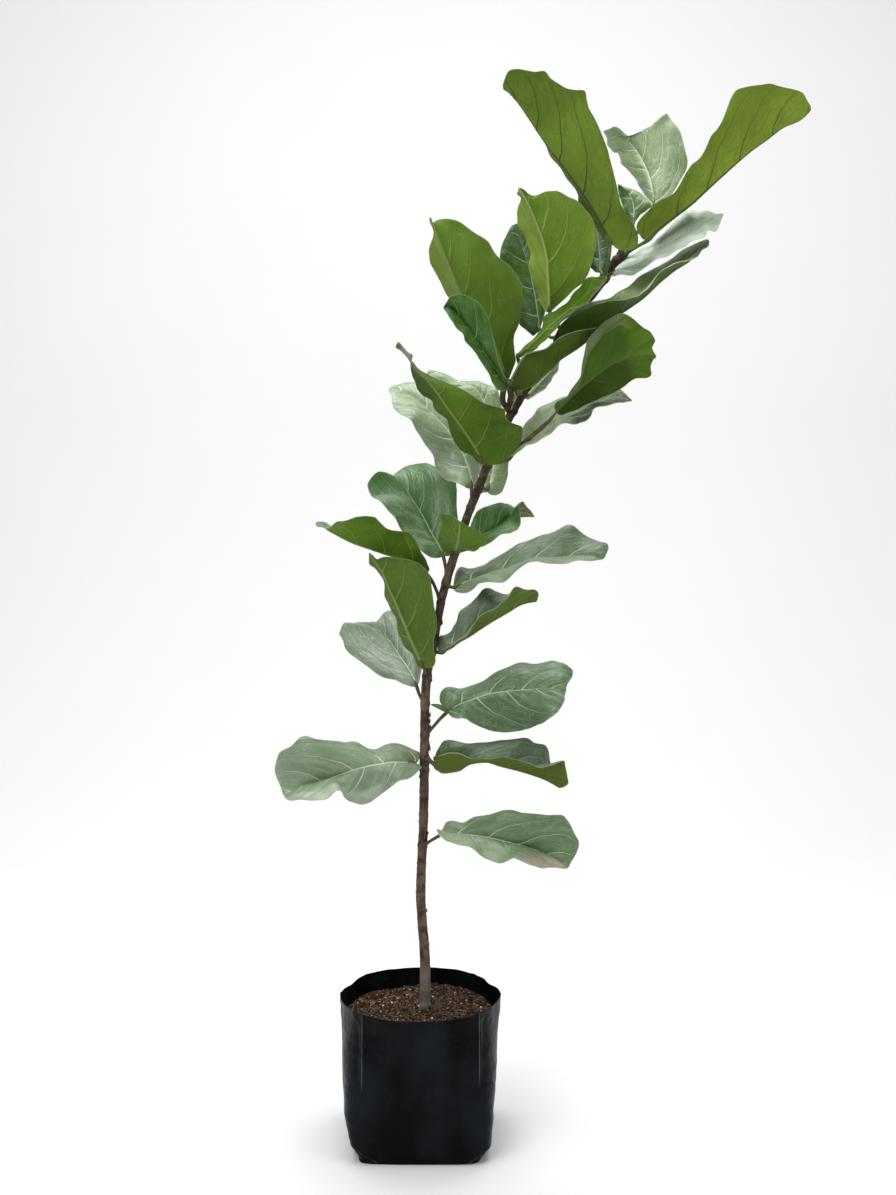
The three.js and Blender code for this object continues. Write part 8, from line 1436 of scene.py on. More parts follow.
def leaf_piece(name, data, look, seed):
    r = np.random.default_rng(100 + seed)
    mid0, left0, right0 = (np.array(data[k], float) for k in ("mid", "left", "right"))
    length = np.linalg.norm(np.diff(mid0, axis=0), axis=1).sum()
    rows = int(np.clip(length / 2.3, 64, 132))
    a, b = 0.012, 0.992
    M, A, B = (spline(p, rows, a, b) for p in (mid0, left0, right0))
    s = np.r_[0, np.cumsum(np.linalg.norm(np.diff(M, axis=0), axis=1))] + a * length
    along = unit(np.gradient(M, axis=0))
    # smooth the direction along the blade so that the two halves arch evenly
    k = np.exp(-0.5 * (np.arange(-8, 9) / 3.5) ** 2)
    k /= k.sum()
    along = unit(np.stack([np.convolve(np.pad(along[:, i], 8, "edge"), k, "valid") for i in range(3)], 1))
    half = {}
    u = s / s[-1]
    H = HALF_COLS
    n_side = look.get("ribs", 6.5)
    gap0 = length / n_side
    camber = look.get("camber", 0.07)
    wave_n, wave_a = look.get("waves", 3.2), look.get("ripple", 2.0)
    curl = look.get("curl", 0.0)
    # where the blade is folded hard, its two halves have little room between them
    opening = np.arccos(np.clip(np.sum(unit(A - M) * unit(B - M), 1), -1, 1))
    opening = np.convolve(np.pad(opening, 8, "edge"), k, "valid")
    spare = np.sin(np.minimum(opening, math.pi / 2)) * np.where(opening < math.pi / 2, np.sin(opening / 2) ** 0.5, 1.0)
    for tag, E, sign in (("left", A, 1), ("right", B, -1)):
        chord = E - M
        width = np.linalg.norm(chord, axis=1)
        up = unit(np.cross(along, chord) * sign)
        up = unit(np.stack([np.convolve(np.pad(up[:, i], 8, "edge"), k, "valid") for i in range(3)], 1))
        t = H[None, :, None]
        P = M[:, None] + chord[:, None] * t
        w = width[:, None]
        tau = w * H[None]
        edge = w - tau
        arch = camber * w * 4 * (H * (1 - H))[None]
        # side veins sit in valleys, the blade between them is pillowed
        c0, c1, kappa = look["lean"], 0.25, 0.0085
        shift = 0.22 * sign + r.uniform(-0.08, 0.08)
        s0 = (s[:, None] - c0 * tau - kappa * tau ** 2) / (1 - c1 * tau / length)
        q = s0 / gap0 + 0.16 + shift
        slope = c0 - c1 * s0 / length
        gap = gap0 * (1 - c1 * tau / length) / np.sqrt(1 + slope ** 2)
        phase = (q + 0.5) % 1 - 0.5
        pillow = (1 - np.exp(-(phase * gap / 4.5) ** 2)) * np.clip(q + 0.6, 0, 1)
        room = smoothstep(tau, 0.5, 9) * smoothstep(edge, 0.5, 10)
        puff = look.get("puff", 1.5) * pillow * room * np.clip(w / 40, 0.2, 1)
        groove = -1.3 * np.exp(-(tau / 3.0) ** 2) * (1 - 0.7 * u[:, None])
        ripple = wave_a * (H[None] ** 2.2) * np.sin(2 * math.pi * wave_n * (s[:, None] / length) + r.uniform(0, 6.28) + 0.6 * sign) * smoothstep(u[:, None], 0.02, 0.2) * (1 - smoothstep(u[:, None], 0.9, 1.0)) * np.clip(w / 35, 0, 1)
        ripple += 0.45 * wave_a * (H[None] ** 3) * np.sin(2 * math.pi * wave_n * 2.3 * (s[:, None] / length) + r.uniform(0, 6.28)) * np.clip(w / 35, 0, 1)
        lip = -curl * w * np.clip((H[None] - 0.8) / 0.2, 0, 1) ** 2
        rise = arch + puff + groove + ripple + lip
        limit = 0.30 * tau * spare[:, None] + 0.12
        room_for = smoothstep(opening, 1.0, 2.0)[:, None]
        rise = rise * room_for + limit * np.tanh(rise / limit) * (1 - room_for)
        P = P + up[:, None] * rise[:, :, None]
        half[tag] = dict(P=P, tau=tau, edge=edge, q=q, gap=gap)
    L, R = half["left"], half["right"]
    centre = 0.5 * (L["P"][:, :1] + R["P"][:, :1])
    grid = np.concatenate([R["P"][:, :0:-1], centre, L["P"][:, 1:]], 1)
    nc = grid.shape[1]
    h = len(H) - 1
    # surface normals towards the upper face
    du = np.gradient(grid, axis=0)
    dv = np.gradient(grid, axis=1)
    nrm = unit(np.cross(du, dv))
    join = lambda key: np.concatenate([R[key][:, :0:-1], L[key]], 1)
    tau, edge = join("tau"), join("edge")
    thick = 0.42 - 0.17 * smoothstep(-edge, -4, 0)
    rib = 1.5 * np.exp(-(tau / 1.9) ** 2) * (1 - 0.75 * u[:, None])
    phase = (join("q") + 0.5) % 1 - 0.5
    vein = 0.45 * np.exp(-(phase * join("gap") / 1.3) ** 2) * smoothstep(edge, 1, 8) * np.clip(join("q") + 0.6, 0, 1)
    top = grid + nrm * thick[:, :, None]
    bot = grid - nrm * (thick + rib + vein)[:, :, None]
    verts = np.vstack([top.reshape(-1, 3), bot.reshape(-1, 3)])
    N = rows * nc
    idx = lambda side, i, j: side * N + i * nc + j
    faces, mats = [], []
    rib_uv, lam_uv, run_uv, bake_uv = [], [], [], []
    vcoord = np.concatenate([-H[:0:-1], H])
    jj_side = ["right"] * h + ["left"] * h

    def corner(i, j, tag, side):
        d = half[tag]
        c = j - h if tag == "left" else h - j
        rib_uv.append((d["q"][i, c], d["gap"][i, c]))
        lam_uv.append((d["tau"][i, c], d["edge"][i, c]))
        run_uv.append((u[i], vcoord[j]))
        x = 0.02 + 0.43 * (j / (nc - 1)) + 0.5 * side
        bake_uv.append((x, 0.03 + 0.94 * i / (rows - 1)))

    for side in (0, 1):
        for i in range(rows - 1):
            for j in range(nc - 1):
                ring = [(i, j), (i, j + 1), (i + 1, j + 1), (i + 1, j)]
                if side == 0:
                    ring = ring[::-1]
                faces.append(tuple(idx(side, *p) for p in ring))
                mats.append(side)
                for p in ring:
                    corner(p[0], p[1], jj_side[j], side)
    # the margin closes the blade
    loop = [(0, j) for j in range(nc)] + [(i, nc - 1) for i in range(1, rows)] + [(rows - 1, j) for j in range(nc - 2, -1, -1)] + [(i, 0) for i in range(rows - 2, 0, -1)]
    for n, (i, j) in enumerate(loop):
        p, o = loop[(n + 1) % len(loop)]
        ring = [(0, i, j), (1, i, j), (1, p, o), (0, p, o)][::-1]
        faces.append(tuple(idx(*c) for c in ring))
        mats.append(0)
        tag = "left" if (j + o) / 2 > h else "right"
        for c in ring:
            corner(c[1], c[2], tag, 0)
    # orientation: faces of the upper sheet point along the normals
    f0 = faces[(rows // 2) * (nc - 1) + nc // 4]
    fv = verts[list(f0)]
    fn = np.cross(fv[1] - fv[0], fv[2] - fv[0])
    flip = fn @ nrm[rows // 2, nc // 4] < 0
    if flip:
        out_faces, order = [], []
        at = 0
        for f in faces:
            out_faces.append(f[::-1])
            order.extend(range(at + len(f) - 1, at - 1, -1))
            at += len(f)
        faces = out_faces
        rib_uv, lam_uv, run_uv, bake_uv = ([x[o] for o in order] for x in (rib_uv, lam_uv, run_uv, bake_uv))
    # petiole: from the stem's bark to the underside of the midrib
    pet = np.array(data["petiole"], float)
    first = pet[0] + unit(pet[1] - pet[0]) * min(look.get("start", 6.5), 0.6 * np.linalg.norm(pet[1] - pet[0]))
    under = lambda i: bot[i, h] + nrm[i, h] * 1.2
    k1, k2, k3 = 1, max(3, rows // 30), max(7, rows // 12)
    line = np.vstack([first[None], pet[1:-1], under(k1)[None], under(k2)[None], under(k3)[None]])
    line = by_length(line, 26)
    x = np.linspace(0, 1, 26)
    rad = 2.8 + 1.6 * np.exp(-(x / 0.10) ** 2) + 0.4 * np.exp(-((x - 0.62) / 0.2) ** 2) - 2.1 * smoothstep(x, 0.72, 1.0)
    rad = rad * (1 + (look["stout"] - 1) * (1 - smoothstep(x, 0.45, 0.8)))
    pv, pf = tube(line, rad, 12)
    base = len(verts)
    verts = np.vstack([verts, pv])
    for n, f in enumerate(pf):
        faces.append(tuple(base + i for i in f))
        mats.append(2)
        for c in f:
            rib_uv.append((0, 10))
            lam_uv.append((0, 10))
            run_uv.append((0, 0))
            row, col = (c // 12, c % 12) if c < 26 * 12 else ((0, 6) if c == 26 * 12 else (25, 6))
            bake_uv.append((0.46 + 0.035 * col / 12, 0.03 + 0.94 * row / 25))
    up = leaf_material(name + ".upper", look["upper"], look["vein_up"], seed * 3.7, True, look.get("halves_up"), look.get("wash"), None, look["gloss"], look["patch_up"])
    low = leaf_material(name + ".under", look["under"], look["vein_low"], seed * 5.3, False, look.get("halves_low"), None, look.get("strip"), 0.7, look["patch_low"])
    ob = make_mesh(name + "_blade", verts * MM, faces, [up, low, look["petiole"]], mats, True,
                   {"OFBake": bake_uv, "rib": rib_uv, "lam": lam_uv, "run": run_uv})
    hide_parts(name)
    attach(ob, "root")
    return ob


# ---------------------------------------------------------------- film bag
BAG_H, FILM = 256.5, 0.9


def smooth01(x):
    x = np.clip(x, 0, 1)
    return x * x * (3 - 2 * x)


def bag_radius(w, z):
    """Outer radius of the bag at an angle and a height, in millimetres: square below, round above."""
    t = z / BAG_H
    half = 118 + 21.5 * np.maximum(t, 0) ** 0.62
    side = half - 11 * np.maximum(0, 1 - t / 0.1)
    n = 12 - 9.8 * smooth01(np.maximum(t, 0) ** 0.7 / 0.95)
    r = 1 / ((np.abs(np.cos(w)) / side) ** n + (np.abs(np.sin(w)) / half) ** n) ** (1 / n)
    deg = np.degrees(w) % 360
    near = sum(np.exp(-((deg - c) ** 2) / 60) for c in (45.5, 134.5, 225.5, 314.5))
    r = r + 2.5 * near * smooth01((t - 0.3) / 0.7)
    mouth = smooth01((t - 0.45) / 0.5)
    for c, a, b in ((45.5, -6, 11), (134.5, -6, 11), (225.5, -3, 12), (314.5, -3, 12), (156.5, -10, 12), (23.5, -10, 12), (203, -2.5, 14), (337, -2.5, 14)):
        r = r + a * mouth * np.exp(-(((deg - c + 180) % 360 - 180) / b) ** 2)
    return r - 3 * np.abs(np.sin(2 * w)) ** 6 * (1 - smooth01(t / 0.12))


def bag_detail(w, z):
    """Folds, creases and slack of the film: how far it stands out from the plain form."""
    r = bag_radius(w, z)
    x, y = r * np.cos(w), r * np.sin(w)
    t = z / BAG_H
    p = np.stack([x, y, z], -1)
    out = 2.6 * lattice(p * [1, 1, 0.7], 1 / 75, 3, 2)
    sharp = 1 - np.abs(lattice(p * [1, 1, 1.25] + np.stack([0.5 * z, 0 * z, 0 * z], -1), 1 / 44, 5, 2)) * 2.4
    out += 0.75 * np.clip(sharp, 0, 1) ** 3
    sharp = 1 - np.abs(lattice(p * [0.8, 0.8, 1.5] - np.stack([0.7 * z, 0 * z, 0 * z], -1), 1 / 27, 9, 2)) * 2.6
    out += 0.30 * np.clip(sharp, 0, 1) ** 3
    # pleats where the square base turns into the round mouth
    corner = np.abs(np.sin(2 * w)) ** 5
    out += 0.7 * corner * np.sin(z / 9.0 + 3 * lattice(p, 1 / 50, 11, 2)) * smooth01((t - 0.02) / 0.1) * (1 - smooth01((t - 0.25) / 0.3))
    # the sharp gusset folds, at four fixed places in plan
    for cx, cy, top, low in ((-95.5, -1, 1.0, 0.56), (102.0, -1, 1.0, 0.60), (-92.0, 1, 1.0, 0.3), (93.0, 1, 1.0, 0.3)):
        d = np.where(np.sign(y) == cy, x - cx, 1e3)
        fade = smooth01((t - low + 0.12) / 0.16)
        out += 1.15 * np.exp(-(d / 1.1) ** 2) * fade + 0.8 * np.exp(-(np.abs(d) / 9.0)) * fade
        inner = d * np.sign(cx)
        out -= 0.9 * np.exp(-((inner - 7.0) / 5.0) ** 2) * fade
    # side pleat lines, folded in
    for sx in (-1, 1):
        d = np.where(np.sign(x) == sx, y - 4 * sx, 1e3)
        out -= 1.6 * np.exp(-(d / 2.2) ** 2) * (0.35 + 0.65 * smooth01((t - 0.55) / 0.3)) * smooth01((t - 0.15) / 0.2)
    # tucked corners of the base
    for cx, cy, reach in ((-101.0, -1, 32.0), (108.0, -1, 27.0), (-101.0, 1, 30.0), (103.0, 1, 30.0)):
        s = np.sign(cx)
        on = (np.sign(y) == cy) & (np.sign(x) == s)
        run = (x - cx) * -s
        line = 17.0 - run * 17.0 / reach
        d = (z - line) * 0.87
        gate = np.where(on & (run > -24) & (run < reach + 2), 1.0, 0.0)
        out += gate * (1.3 * np.exp(-(d / 1.3) ** 2) - 2.6 * (1 / (1 + np.exp(np.clip(d / 0.6, -30, 30)))) + 0.9 * np.exp(-((d + 6.5) / 1.2) ** 2))
    # the sides draw in above the tucked corners
    out -= 6.5 * np.exp(-((z - 21) / 30) ** 2) * np.clip(-np.cos(w), 0, 1) ** 1.2
    out -= 2.4 * np.exp(-((z - 50) / 42) ** 2) * np.clip(np.cos(w), 0, 1) ** 1.2
    # the hem at the mouth ripples
    out += 1.1 * smooth01((t - 0.86) / 0.14) * lattice(p * [1, 1, 0.3], 1 / 34, 14, 2)
    # a firm corner at each fold of the mouth
    deg = np.degrees(w) % 360
    mouth = smooth01((t - 0.45) / 0.5)
    for c, a, b in ((0, 1.4, 3.5), (180, 1.4, 3.5), (135.5, 1.5, 2.6), (46.5, 1.5, 2.6)):
        out += a * mouth * np.exp(-(((deg - c + 180) % 360 - 180) / b) ** 2)
    return out * smooth01(z / 5.0 + 0.15)


def build_bag():
    cols = 420
    w = np.arange(cols) * 2 * math.pi / cols
    zs = np.r_[0.0, 0.6, 1.5, 3, 5, 7.5, np.arange(10, 40, 2.0), np.arange(40, 236, 2.8), np.arange(236.5, 256.2, 1.7)]
    rims = 1.5 * lattice(np.stack([np.cos(w) * 139, np.sin(w) * 139, 0 * w], -1), 1 / 45, 21, 2)
    deg = np.degrees(w) % 360
    for c, a in ((45.5, 0.9), (134.5, 0.9), (228.5, 0.6), (314.8, 0.6)):
        rims += a * np.exp(-((deg - c) / 2.2) ** 2)
    rings = []
    for z in zs:
        zz = np.full(cols, z)
        r = bag_radius(w, zz) + bag_detail(w, zz)
        if z < 3:
            r = r - (3 - z) * 0.35
        lift = rims * smooth01((z - 225) / 30)
        rings.append(np.stack([r * np.cos(w), r * np.sin(w), zz + lift], -1))
    top = rings[-1]
    radial = np.stack([np.cos(w), np.sin(w), 0 * w], -1)
    # a rolled edge, then down the inside of the film
    for a in (30, 75, 110, 150):
        c, s = math.cos(math.radians(a)), math.sin(math.radians(a))
        rings.append(top + radial * (FILM / 2) * (c - 1) + np.array([0, 0, 1]) * FILM * 0.7 * s)
    outer = len(zs)
    for k in range(outer - 1, 5, -1):
        rings.append(rings[k] - radial * FILM)
    verts = np.vstack(rings)
    n = len(rings)
    faces = [(i * cols + k, i * cols + (k + 1) % cols, (i + 1) * cols + (k + 1) % cols, (i + 1) * cols + k) for i in range(n - 1) for k in range(cols)]
    # bases, each a sheet of rings closing at the centre
    def base(ring0, z, outward):
        nonlocal verts, faces
        start = ring0
        for f in (0.97, 0.9, 0.75, 0.55, 0.32, 0.12):
            ring = verts[ring0:ring0 + cols] * [f, f, 1]
            ring[:, 2] = z + 0.25 * lattice(ring, 1 / 30, 4, 2) * (1 - f) * (0 if outward else 1)
            at = len(verts)
            verts = np.vstack([verts, ring])
            for k in range(cols):
                q = (start + k, start + (k + 1) % cols, at + (k + 1) % cols, at + k)
                faces.append(q if not outward else q[::-1])
            start = at
        verts = np.vstack([verts, [[0, 0, z]]])
        c = len(verts) - 1
        for k in range(cols):
            q = (start + k, start + (k + 1) % cols, c)
            faces.append(q if not outward else q[::-1])
    base(0, 0.0, True)
    base((n - 1) * cols, 4.0, False)
    g = Graph("film")
    place = g.place()
    n1 = g.noise(g.put("ShaderNodeMapping", {0: place, 3: (1.0, 1.0, 0.6)}).outputs[0], 12.0, 3.0)
    n2 = g.noise(place, 46.0, 4.0, 0.55, 0.6)
    n3 = g.noise(place, 900.0, 2.0)
    stretch = g.put("ShaderNodeMapping", {0: place, 3: (30.0, 30.0, 8.0)}).outputs[0]
    n4 = g.noise(stretch, 1.6, 4.0, 0.6, 0.8)
    dust = g.band(g.noise(place, 24.0, 5.0, 0.65), 0.52, 0.78)
    col = g.mix(g.band(n1, 0.38, 0.72), srgb(1, 3, 6), srgb(21, 26, 31))
    col = g.mix(g.m("MULTIPLY", dust, 0.22), col, srgb(38, 41, 46))
    rough = g.m("ADD", g.band(n4, 0.3, 0.72, 0.30, 0.48), g.m("MULTIPLY", dust, 0.12))
    normal = g.bump(g.m("ADD", g.m("MULTIPLY", n2, 1.0), g.m("MULTIPLY", n4, 0.8)), 0.0022, 0.55)
    normal = g.bump(n3, 0.0001, 0.4, normal)
    # painted highlight along the sharp folds and the tucked corners of the base, on the front only, where the creases
    # catch the light
    axes = g.put("ShaderNodeSeparateXYZ", {0: place}).outputs
    front = g.band(axes[1], -0.06, -0.05, 1.0, 0.0)
    pale = 0.0
    for cx, low in ((-0.0955, 0.124), (0.1020, 0.134)):
        off = g.m("ABSOLUTE", g.m("ADD", axes[0], -cx))
        line = g.m("MULTIPLY", g.band(off, 0.0003, 0.0012, 1.0, 0.0), g.band(axes[2], low, low + 0.03))
        pale = g.m("ADD", line, pale)
    for cx, reach in ((-0.101, 0.032), (0.108, 0.027)):
        run = g.m("MULTIPLY", g.m("SUBTRACT", axes[0], cx), -1.0 if cx > 0 else 1.0)
        line_z = g.m("SUBTRACT", 0.0175, g.m("MULTIPLY", run, 0.0165 / reach))
        off = g.m("ABSOLUTE", g.m("SUBTRACT", axes[2], line_z))
        line = g.m("MULTIPLY", g.band(off, 0.0004, 0.0016, 0.8, 0.0), g.band(run, -0.004, 0.002))
        pale = g.m("ADD", g.m("MULTIPLY", line, g.band(run, reach - 0.004, reach + 0.001, 1.0, 0.0)), pale)
    pale = g.m("MULTIPLY", g.m("MULTIPLY", pale, front), g.band(n4, 0.25, 0.6, 0.35, 1.0))
    col = g.mix(g.m("MULTIPLY", pale, 0.75), col, srgb(88, 96, 108))
    mat = g.finish(col, rough, normal, Specular_IOR_Level=0.07)
    ob = make_mesh("film_bag", verts * MM, faces, [mat])
    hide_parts("grow_bag")
    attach(ob, "root")
    return ob


# ---------------------------------------------------------------- potting mix
def soil_height(x, y):
    return 222 + 5 * (1 - (np.hypot(x, y) / 130) ** 2) + 1.6 * np.sin(x / 21 + 0.6) * np.cos(y / 17) + 1.1 * np.sin(x / 9 - y / 13)


def soil_top(x, y):
    p = np.stack([x, y, 0 * x], -1)
    z = soil_height(x, y) + 1.9 * lattice(p, 1 / 14, 31, 3) + 1.2 * lattice(p, 1 / 3.6, 33, 3)
    z = z + 7.0 * np.exp(-((x - 48) ** 2 + (y - 92) ** 2) / 55.0 ** 2) - 2.5 * np.exp(-((x + 60) ** 2 + (y - 80) ** 2) / 50.0 ** 2)
    # heaped a little around the stem
    d = np.hypot(x - 8.7, y)
    return z + 3.0 * np.exp(-(d / 17) ** 2)


def soil_edge(w, z=223.0):
    zz = np.full(np.shape(w), float(z)) if np.isscalar(z) else z
    return bag_radius(w, zz) + bag_detail(w, zz) - FILM - 0.15


def build_soil():
    cols = 300
    w = np.arange(cols) * 2 * math.pi / cols
    edge = soil_edge(w)
    rings = []
    for f in np.r_[0.03:1.0:64j]:
        x, y = edge * f * np.cos(w), edge * f * np.sin(w)
        rings.append(np.stack([x, y, soil_top(x, y)], -1))
    rings = rings[::-1]
    skirt = []
    zs = [10, 18, 30, 45, 60, 78, 95, 112, 130, 148, 165, 182, 197, 209]
    for z in zs:
        e = soil_edge(w, z) - 2.2
        skirt.append(np.stack([e * np.cos(w), e * np.sin(w), 0 * w + z], -1))
    last = rings[0].copy()
    rings = skirt + [last] + rings[1:]
    verts = np.vstack(rings)
    n = len(rings)
    faces = [(i * cols + k, i * cols + (k + 1) % cols, (i + 1) * cols + (k + 1) % cols, (i + 1) * cols + k) for i in range(n - 1) for k in range(cols)]
    verts = np.vstack([verts, [[0, 0, soil_top(np.zeros(1), np.zeros(1))[0]], [0, 0, 9.0]]])
    for k in range(cols):
        faces.append(((n - 1) * cols + k, (n - 1) * cols + (k + 1) % cols, len(verts) - 2))
        faces.append(((k + 1) % cols, k, len(verts) - 1))
    mat = soil_material("soil_mass", 0.0)
    ob = make_mesh("soil_mass", verts * MM, faces, [mat])
    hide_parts("potting_mix")
    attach(ob, "root")


def soil_material(name, tan):
    g = Graph(name)
    place = g.place()
    cells = g.voronoi(place, 330.0, feature="F1")
    tone = g.put("ShaderNodeSeparateXYZ", {0: cells.outputs["Color"]})
    n = g.noise(place, 60.0, 4.0)
    col = g.mix(tone.outputs[0], srgb(11, 6, 4), srgb(82, 58, 43))
    col = g.mix(g.m("MULTIPLY", g.band(tone.outputs[1], 0.82, 0.97), 0.85), col, srgb(160, 128, 98))
    col = g.mix(g.m("MULTIPLY", g.band(n, 0.4, 0.7), 0.42), col, srgb(36, 23, 16))
    if tan:
        col = g.mix(g.m("MULTIPLY", g.band(tone.outputs[2], 0.5, 0.9), tan), col, srgb(178, 144, 106))
    fine = g.noise(place, 1500.0, 3.0)
    normal = g.bump(cells.outputs["Distance"], 0.0012, 0.7)
    normal = g.bump(fine, 0.0004, 0.8, normal)
    return g.finish(col, g.band(fine, 0.3, 0.7, 0.8, 0.97), normal, Specular_IOR_Level=0.25)


def ico(level=1):
    bm = bmesh.new()
    bmesh.ops.create_icosphere(bm, subdivisions=level, radius=1.0)
    v = np.array([x.co[:] for x in bm.verts])
    f = [tuple(x.index for x in p.verts) for p in bm.faces]
    bm.free()
    return v, f


def scatter(name, spots, sizes, stretch, mat, level=1, jag=0.25, sink=0.35):
    """Many small lumps in one mesh, bedded in the soil."""
    r = np.random.default_rng(len(spots) + int(sum(sizes) * 10) % 1000)
    base, bf = ico(level)
    verts, faces = [], []
    for (x, y), size in zip(spots, sizes):
        v = base * (1 + jag * r.uniform(-1, 1, (len(base), 1)))
        v = v * np.array([1, r.uniform(*stretch), r.uniform(*stretch)]) * size
        q = r.normal(size=4)
        q /= np.linalg.norm(q)
        a, b, c, d = q
        rot = np.array([[1 - 2 * (c * c + d * d), 2 * (b * c - a * d), 2 * (b * d + a * c)],
                        [2 * (b * c + a * d), 1 - 2 * (b * b + d * d), 2 * (c * d - a * b)],
                        [2 * (b * d - a * c), 2 * (c * d + a * b), 1 - 2 * (b * b + c * c)]])
        v = v @ rot.T
        z = soil_top(np.array([x]), np.array([y]))[0] + size * sink
        faces.extend(tuple(i + len(verts) * len(base) for i in f) for f in bf)
        verts.append(v + [x, y, z])
    ob = make_mesh(name, np.vstack(verts) * MM, faces, [mat], smooth=False)
    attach(ob, "root")
    return ob


def spread(count, seed, inside=0.97, weight=None, clear=11.5):
    r = np.random.default_rng(seed)
    out = []
    while len(out) < count:
        w = r.uniform(0, 2 * math.pi)
        f = math.sqrt(r.uniform(0, 1)) * inside
        e = EDGE[int(w / (2 * math.pi) * len(EDGE)) % len(EDGE)] - 3.0
        x, y = f * e * math.cos(w), f * e * math.sin(w)
        if math.hypot(x - 8.7, y) < clear:
            continue
        if weight is None or r.uniform() < weight(x, y):
            out.append((x, y))
    return out


def build_litter():
    r = np.random.default_rng(41)
    scatter("soil_crumbs", spread(2600, 1), r.gamma(2.2, 0.68, 2600).clip(0.6, 4.4), (0.6, 1.0), soil_material("soil_crumb", 0.0))
    left = lambda x, y: 0.25 + 0.75 * (1 / (1 + math.exp((x + 20) / 25)))
    scatter("soil_chips", spread(460, 2, weight=left), r.gamma(3.0, 0.85, 460).clip(1.0, 6.0), (0.25, 0.55), soil_material("soil_chip", 0.95), jag=0.18)
    g = Graph("perlite")
    n = g.noise(g.place(), 700.0, 4.0)
    mat = g.finish(g.mix(g.band(n, 0.35, 0.7), srgb(196, 186, 172), srgb(238, 234, 226)), g.band(n, 0.3, 0.7, 0.75, 0.95), g.bump(n, 0.0006, 0.9))
    more = spread(18, 5)
    spots = [tuple(p) for p in PERLITE] + more
    sizes = np.r_[r.uniform(1.7, 2.5, len(PERLITE)), r.uniform(0.7, 1.5, len(more))]
    scatter("perlite", spots, sizes, (0.7, 1.0), mat, level=2, jag=0.14, sink=0.5)
    # fine rootlets and fibres lying on the mix
    g = Graph("fibre")
    n = g.noise(g.place(), 200.0, 3.0)
    mat = g.finish(g.mix(g.band(n, 0.35, 0.7), srgb(64, 47, 33), srgb(128, 104, 78)), g.band(n, 0.3, 0.7, 0.7, 0.9), g.bump(n, 0.0003, 0.6))
    verts, faces = [], []
    for x, y in spread(70, 8, inside=0.93):
        a = r.uniform(0, 6.28)
        ln = r.uniform(7, 22)
        k = np.linspace(-0.5, 0.5, 9)
        bend = r.uniform(-1, 1) * 0.25 * ln
        px = x + np.cos(a) * k * ln - np.sin(a) * bend * (k * k * 4)
        py = y + np.sin(a) * k * ln + np.cos(a) * bend * (k * k * 4)
        pz = soil_top(px, py) + 0.9 + 0.8 * np.sin(k * 9 + a)
        v, f = tube(np.stack([px, py, pz], -1), np.full(9, r.uniform(0.25, 0.55)) * (1.15 - np.abs(k)), 6)
        faces.extend(tuple(i + sum(len(q) for q in verts) for i in t) for t in f)
        verts.append(v)
    ob = make_mesh("soil_fibres", np.vstack(verts) * MM, faces, [mat])
    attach(ob, "root")


# ---------------------------------------------------------------- stem, bud and roots
def bark_material():
    g = Graph("bark")
    place = g.place()
    z = g.put("ShaderNodeSeparateXYZ", {0: place}).outputs[2]
    streak = g.put("ShaderNodeMapping", {0: place, 3: (1.0, 1.0, 0.22)}).outputs[0]
    n1 = g.noise(streak, 260.0, 5.0, 0.6, 0.4)
    n2 = g.noise(place, 52.0, 5.0, 0.65)
    n3 = g.noise(place, 900.0, 4.0, 0.6)
    ring = g.noise(g.put("ShaderNodeMapping", {0: place, 3: (0.25, 0.25, 1.0)}).outputs[0], 230.0, 3.0, 0.6, 0.3)
    low = g.mix(g.band(n2, 0.3, 0.7), srgb(110, 101, 92), srgb(140, 130, 120))
    high = g.mix(g.band(n2, 0.34, 0.66), srgb(46, 32, 23), srgb(112, 90, 72))
    top = g.mix(g.band(n2, 0.32, 0.68), srgb(44, 34, 22), srgb(84, 70, 50))
    lift = g.m("ADD", z, g.m("MULTIPLY", g.m("SUBTRACT", n2, 0.5), 0.06))
    col = g.mix(g.band(lift, 0.288, 0.322), low, high)
    col = g.mix(g.band(lift, 1.15, 1.42), col, top)
    broad = g.noise(g.put("ShaderNodeMapping", {0: place, 3: (0.5, 0.5, 1.0)}).outputs[0], 16.0, 3.0, 0.55)
    col = g.mix(g.m("MULTIPLY", g.band(broad, 0.48, 0.62), g.band(z, 0.29, 0.38, 0.0, 0.62)), col, srgb(38, 25, 19))
    col = g.mix(g.m("MULTIPLY", g.band(n1, 0.52, 0.72), 0.5), col, srgb(136, 122, 104))
    col = g.mix(g.m("MULTIPLY", g.band(ring, 0.56, 0.72), g.band(z, 0.27, 0.42, 0.25, 0.75)), col, srgb(38, 28, 18))
    dots = g.voronoi(place, 210.0, feature="F1").outputs["Distance"]
    col = g.mix(g.m("MULTIPLY", g.band(dots, 0.10, 0.22, 1.0, 0.0), 0.6), col, srgb(150, 138, 118))
    rough = g.band(n1, 0.3, 0.7, 0.62, 0.86)
    high_n = g.m("ADD", g.m("MULTIPLY", n1, 0.8), g.m("MULTIPLY", ring, 0.6))
    normal = g.bump(high_n, 0.0016, 0.8)
    normal = g.bump(n3, 0.0004, 0.6, normal)
    return g.finish(col, rough, normal, Specular_IOR_Level=0.35)


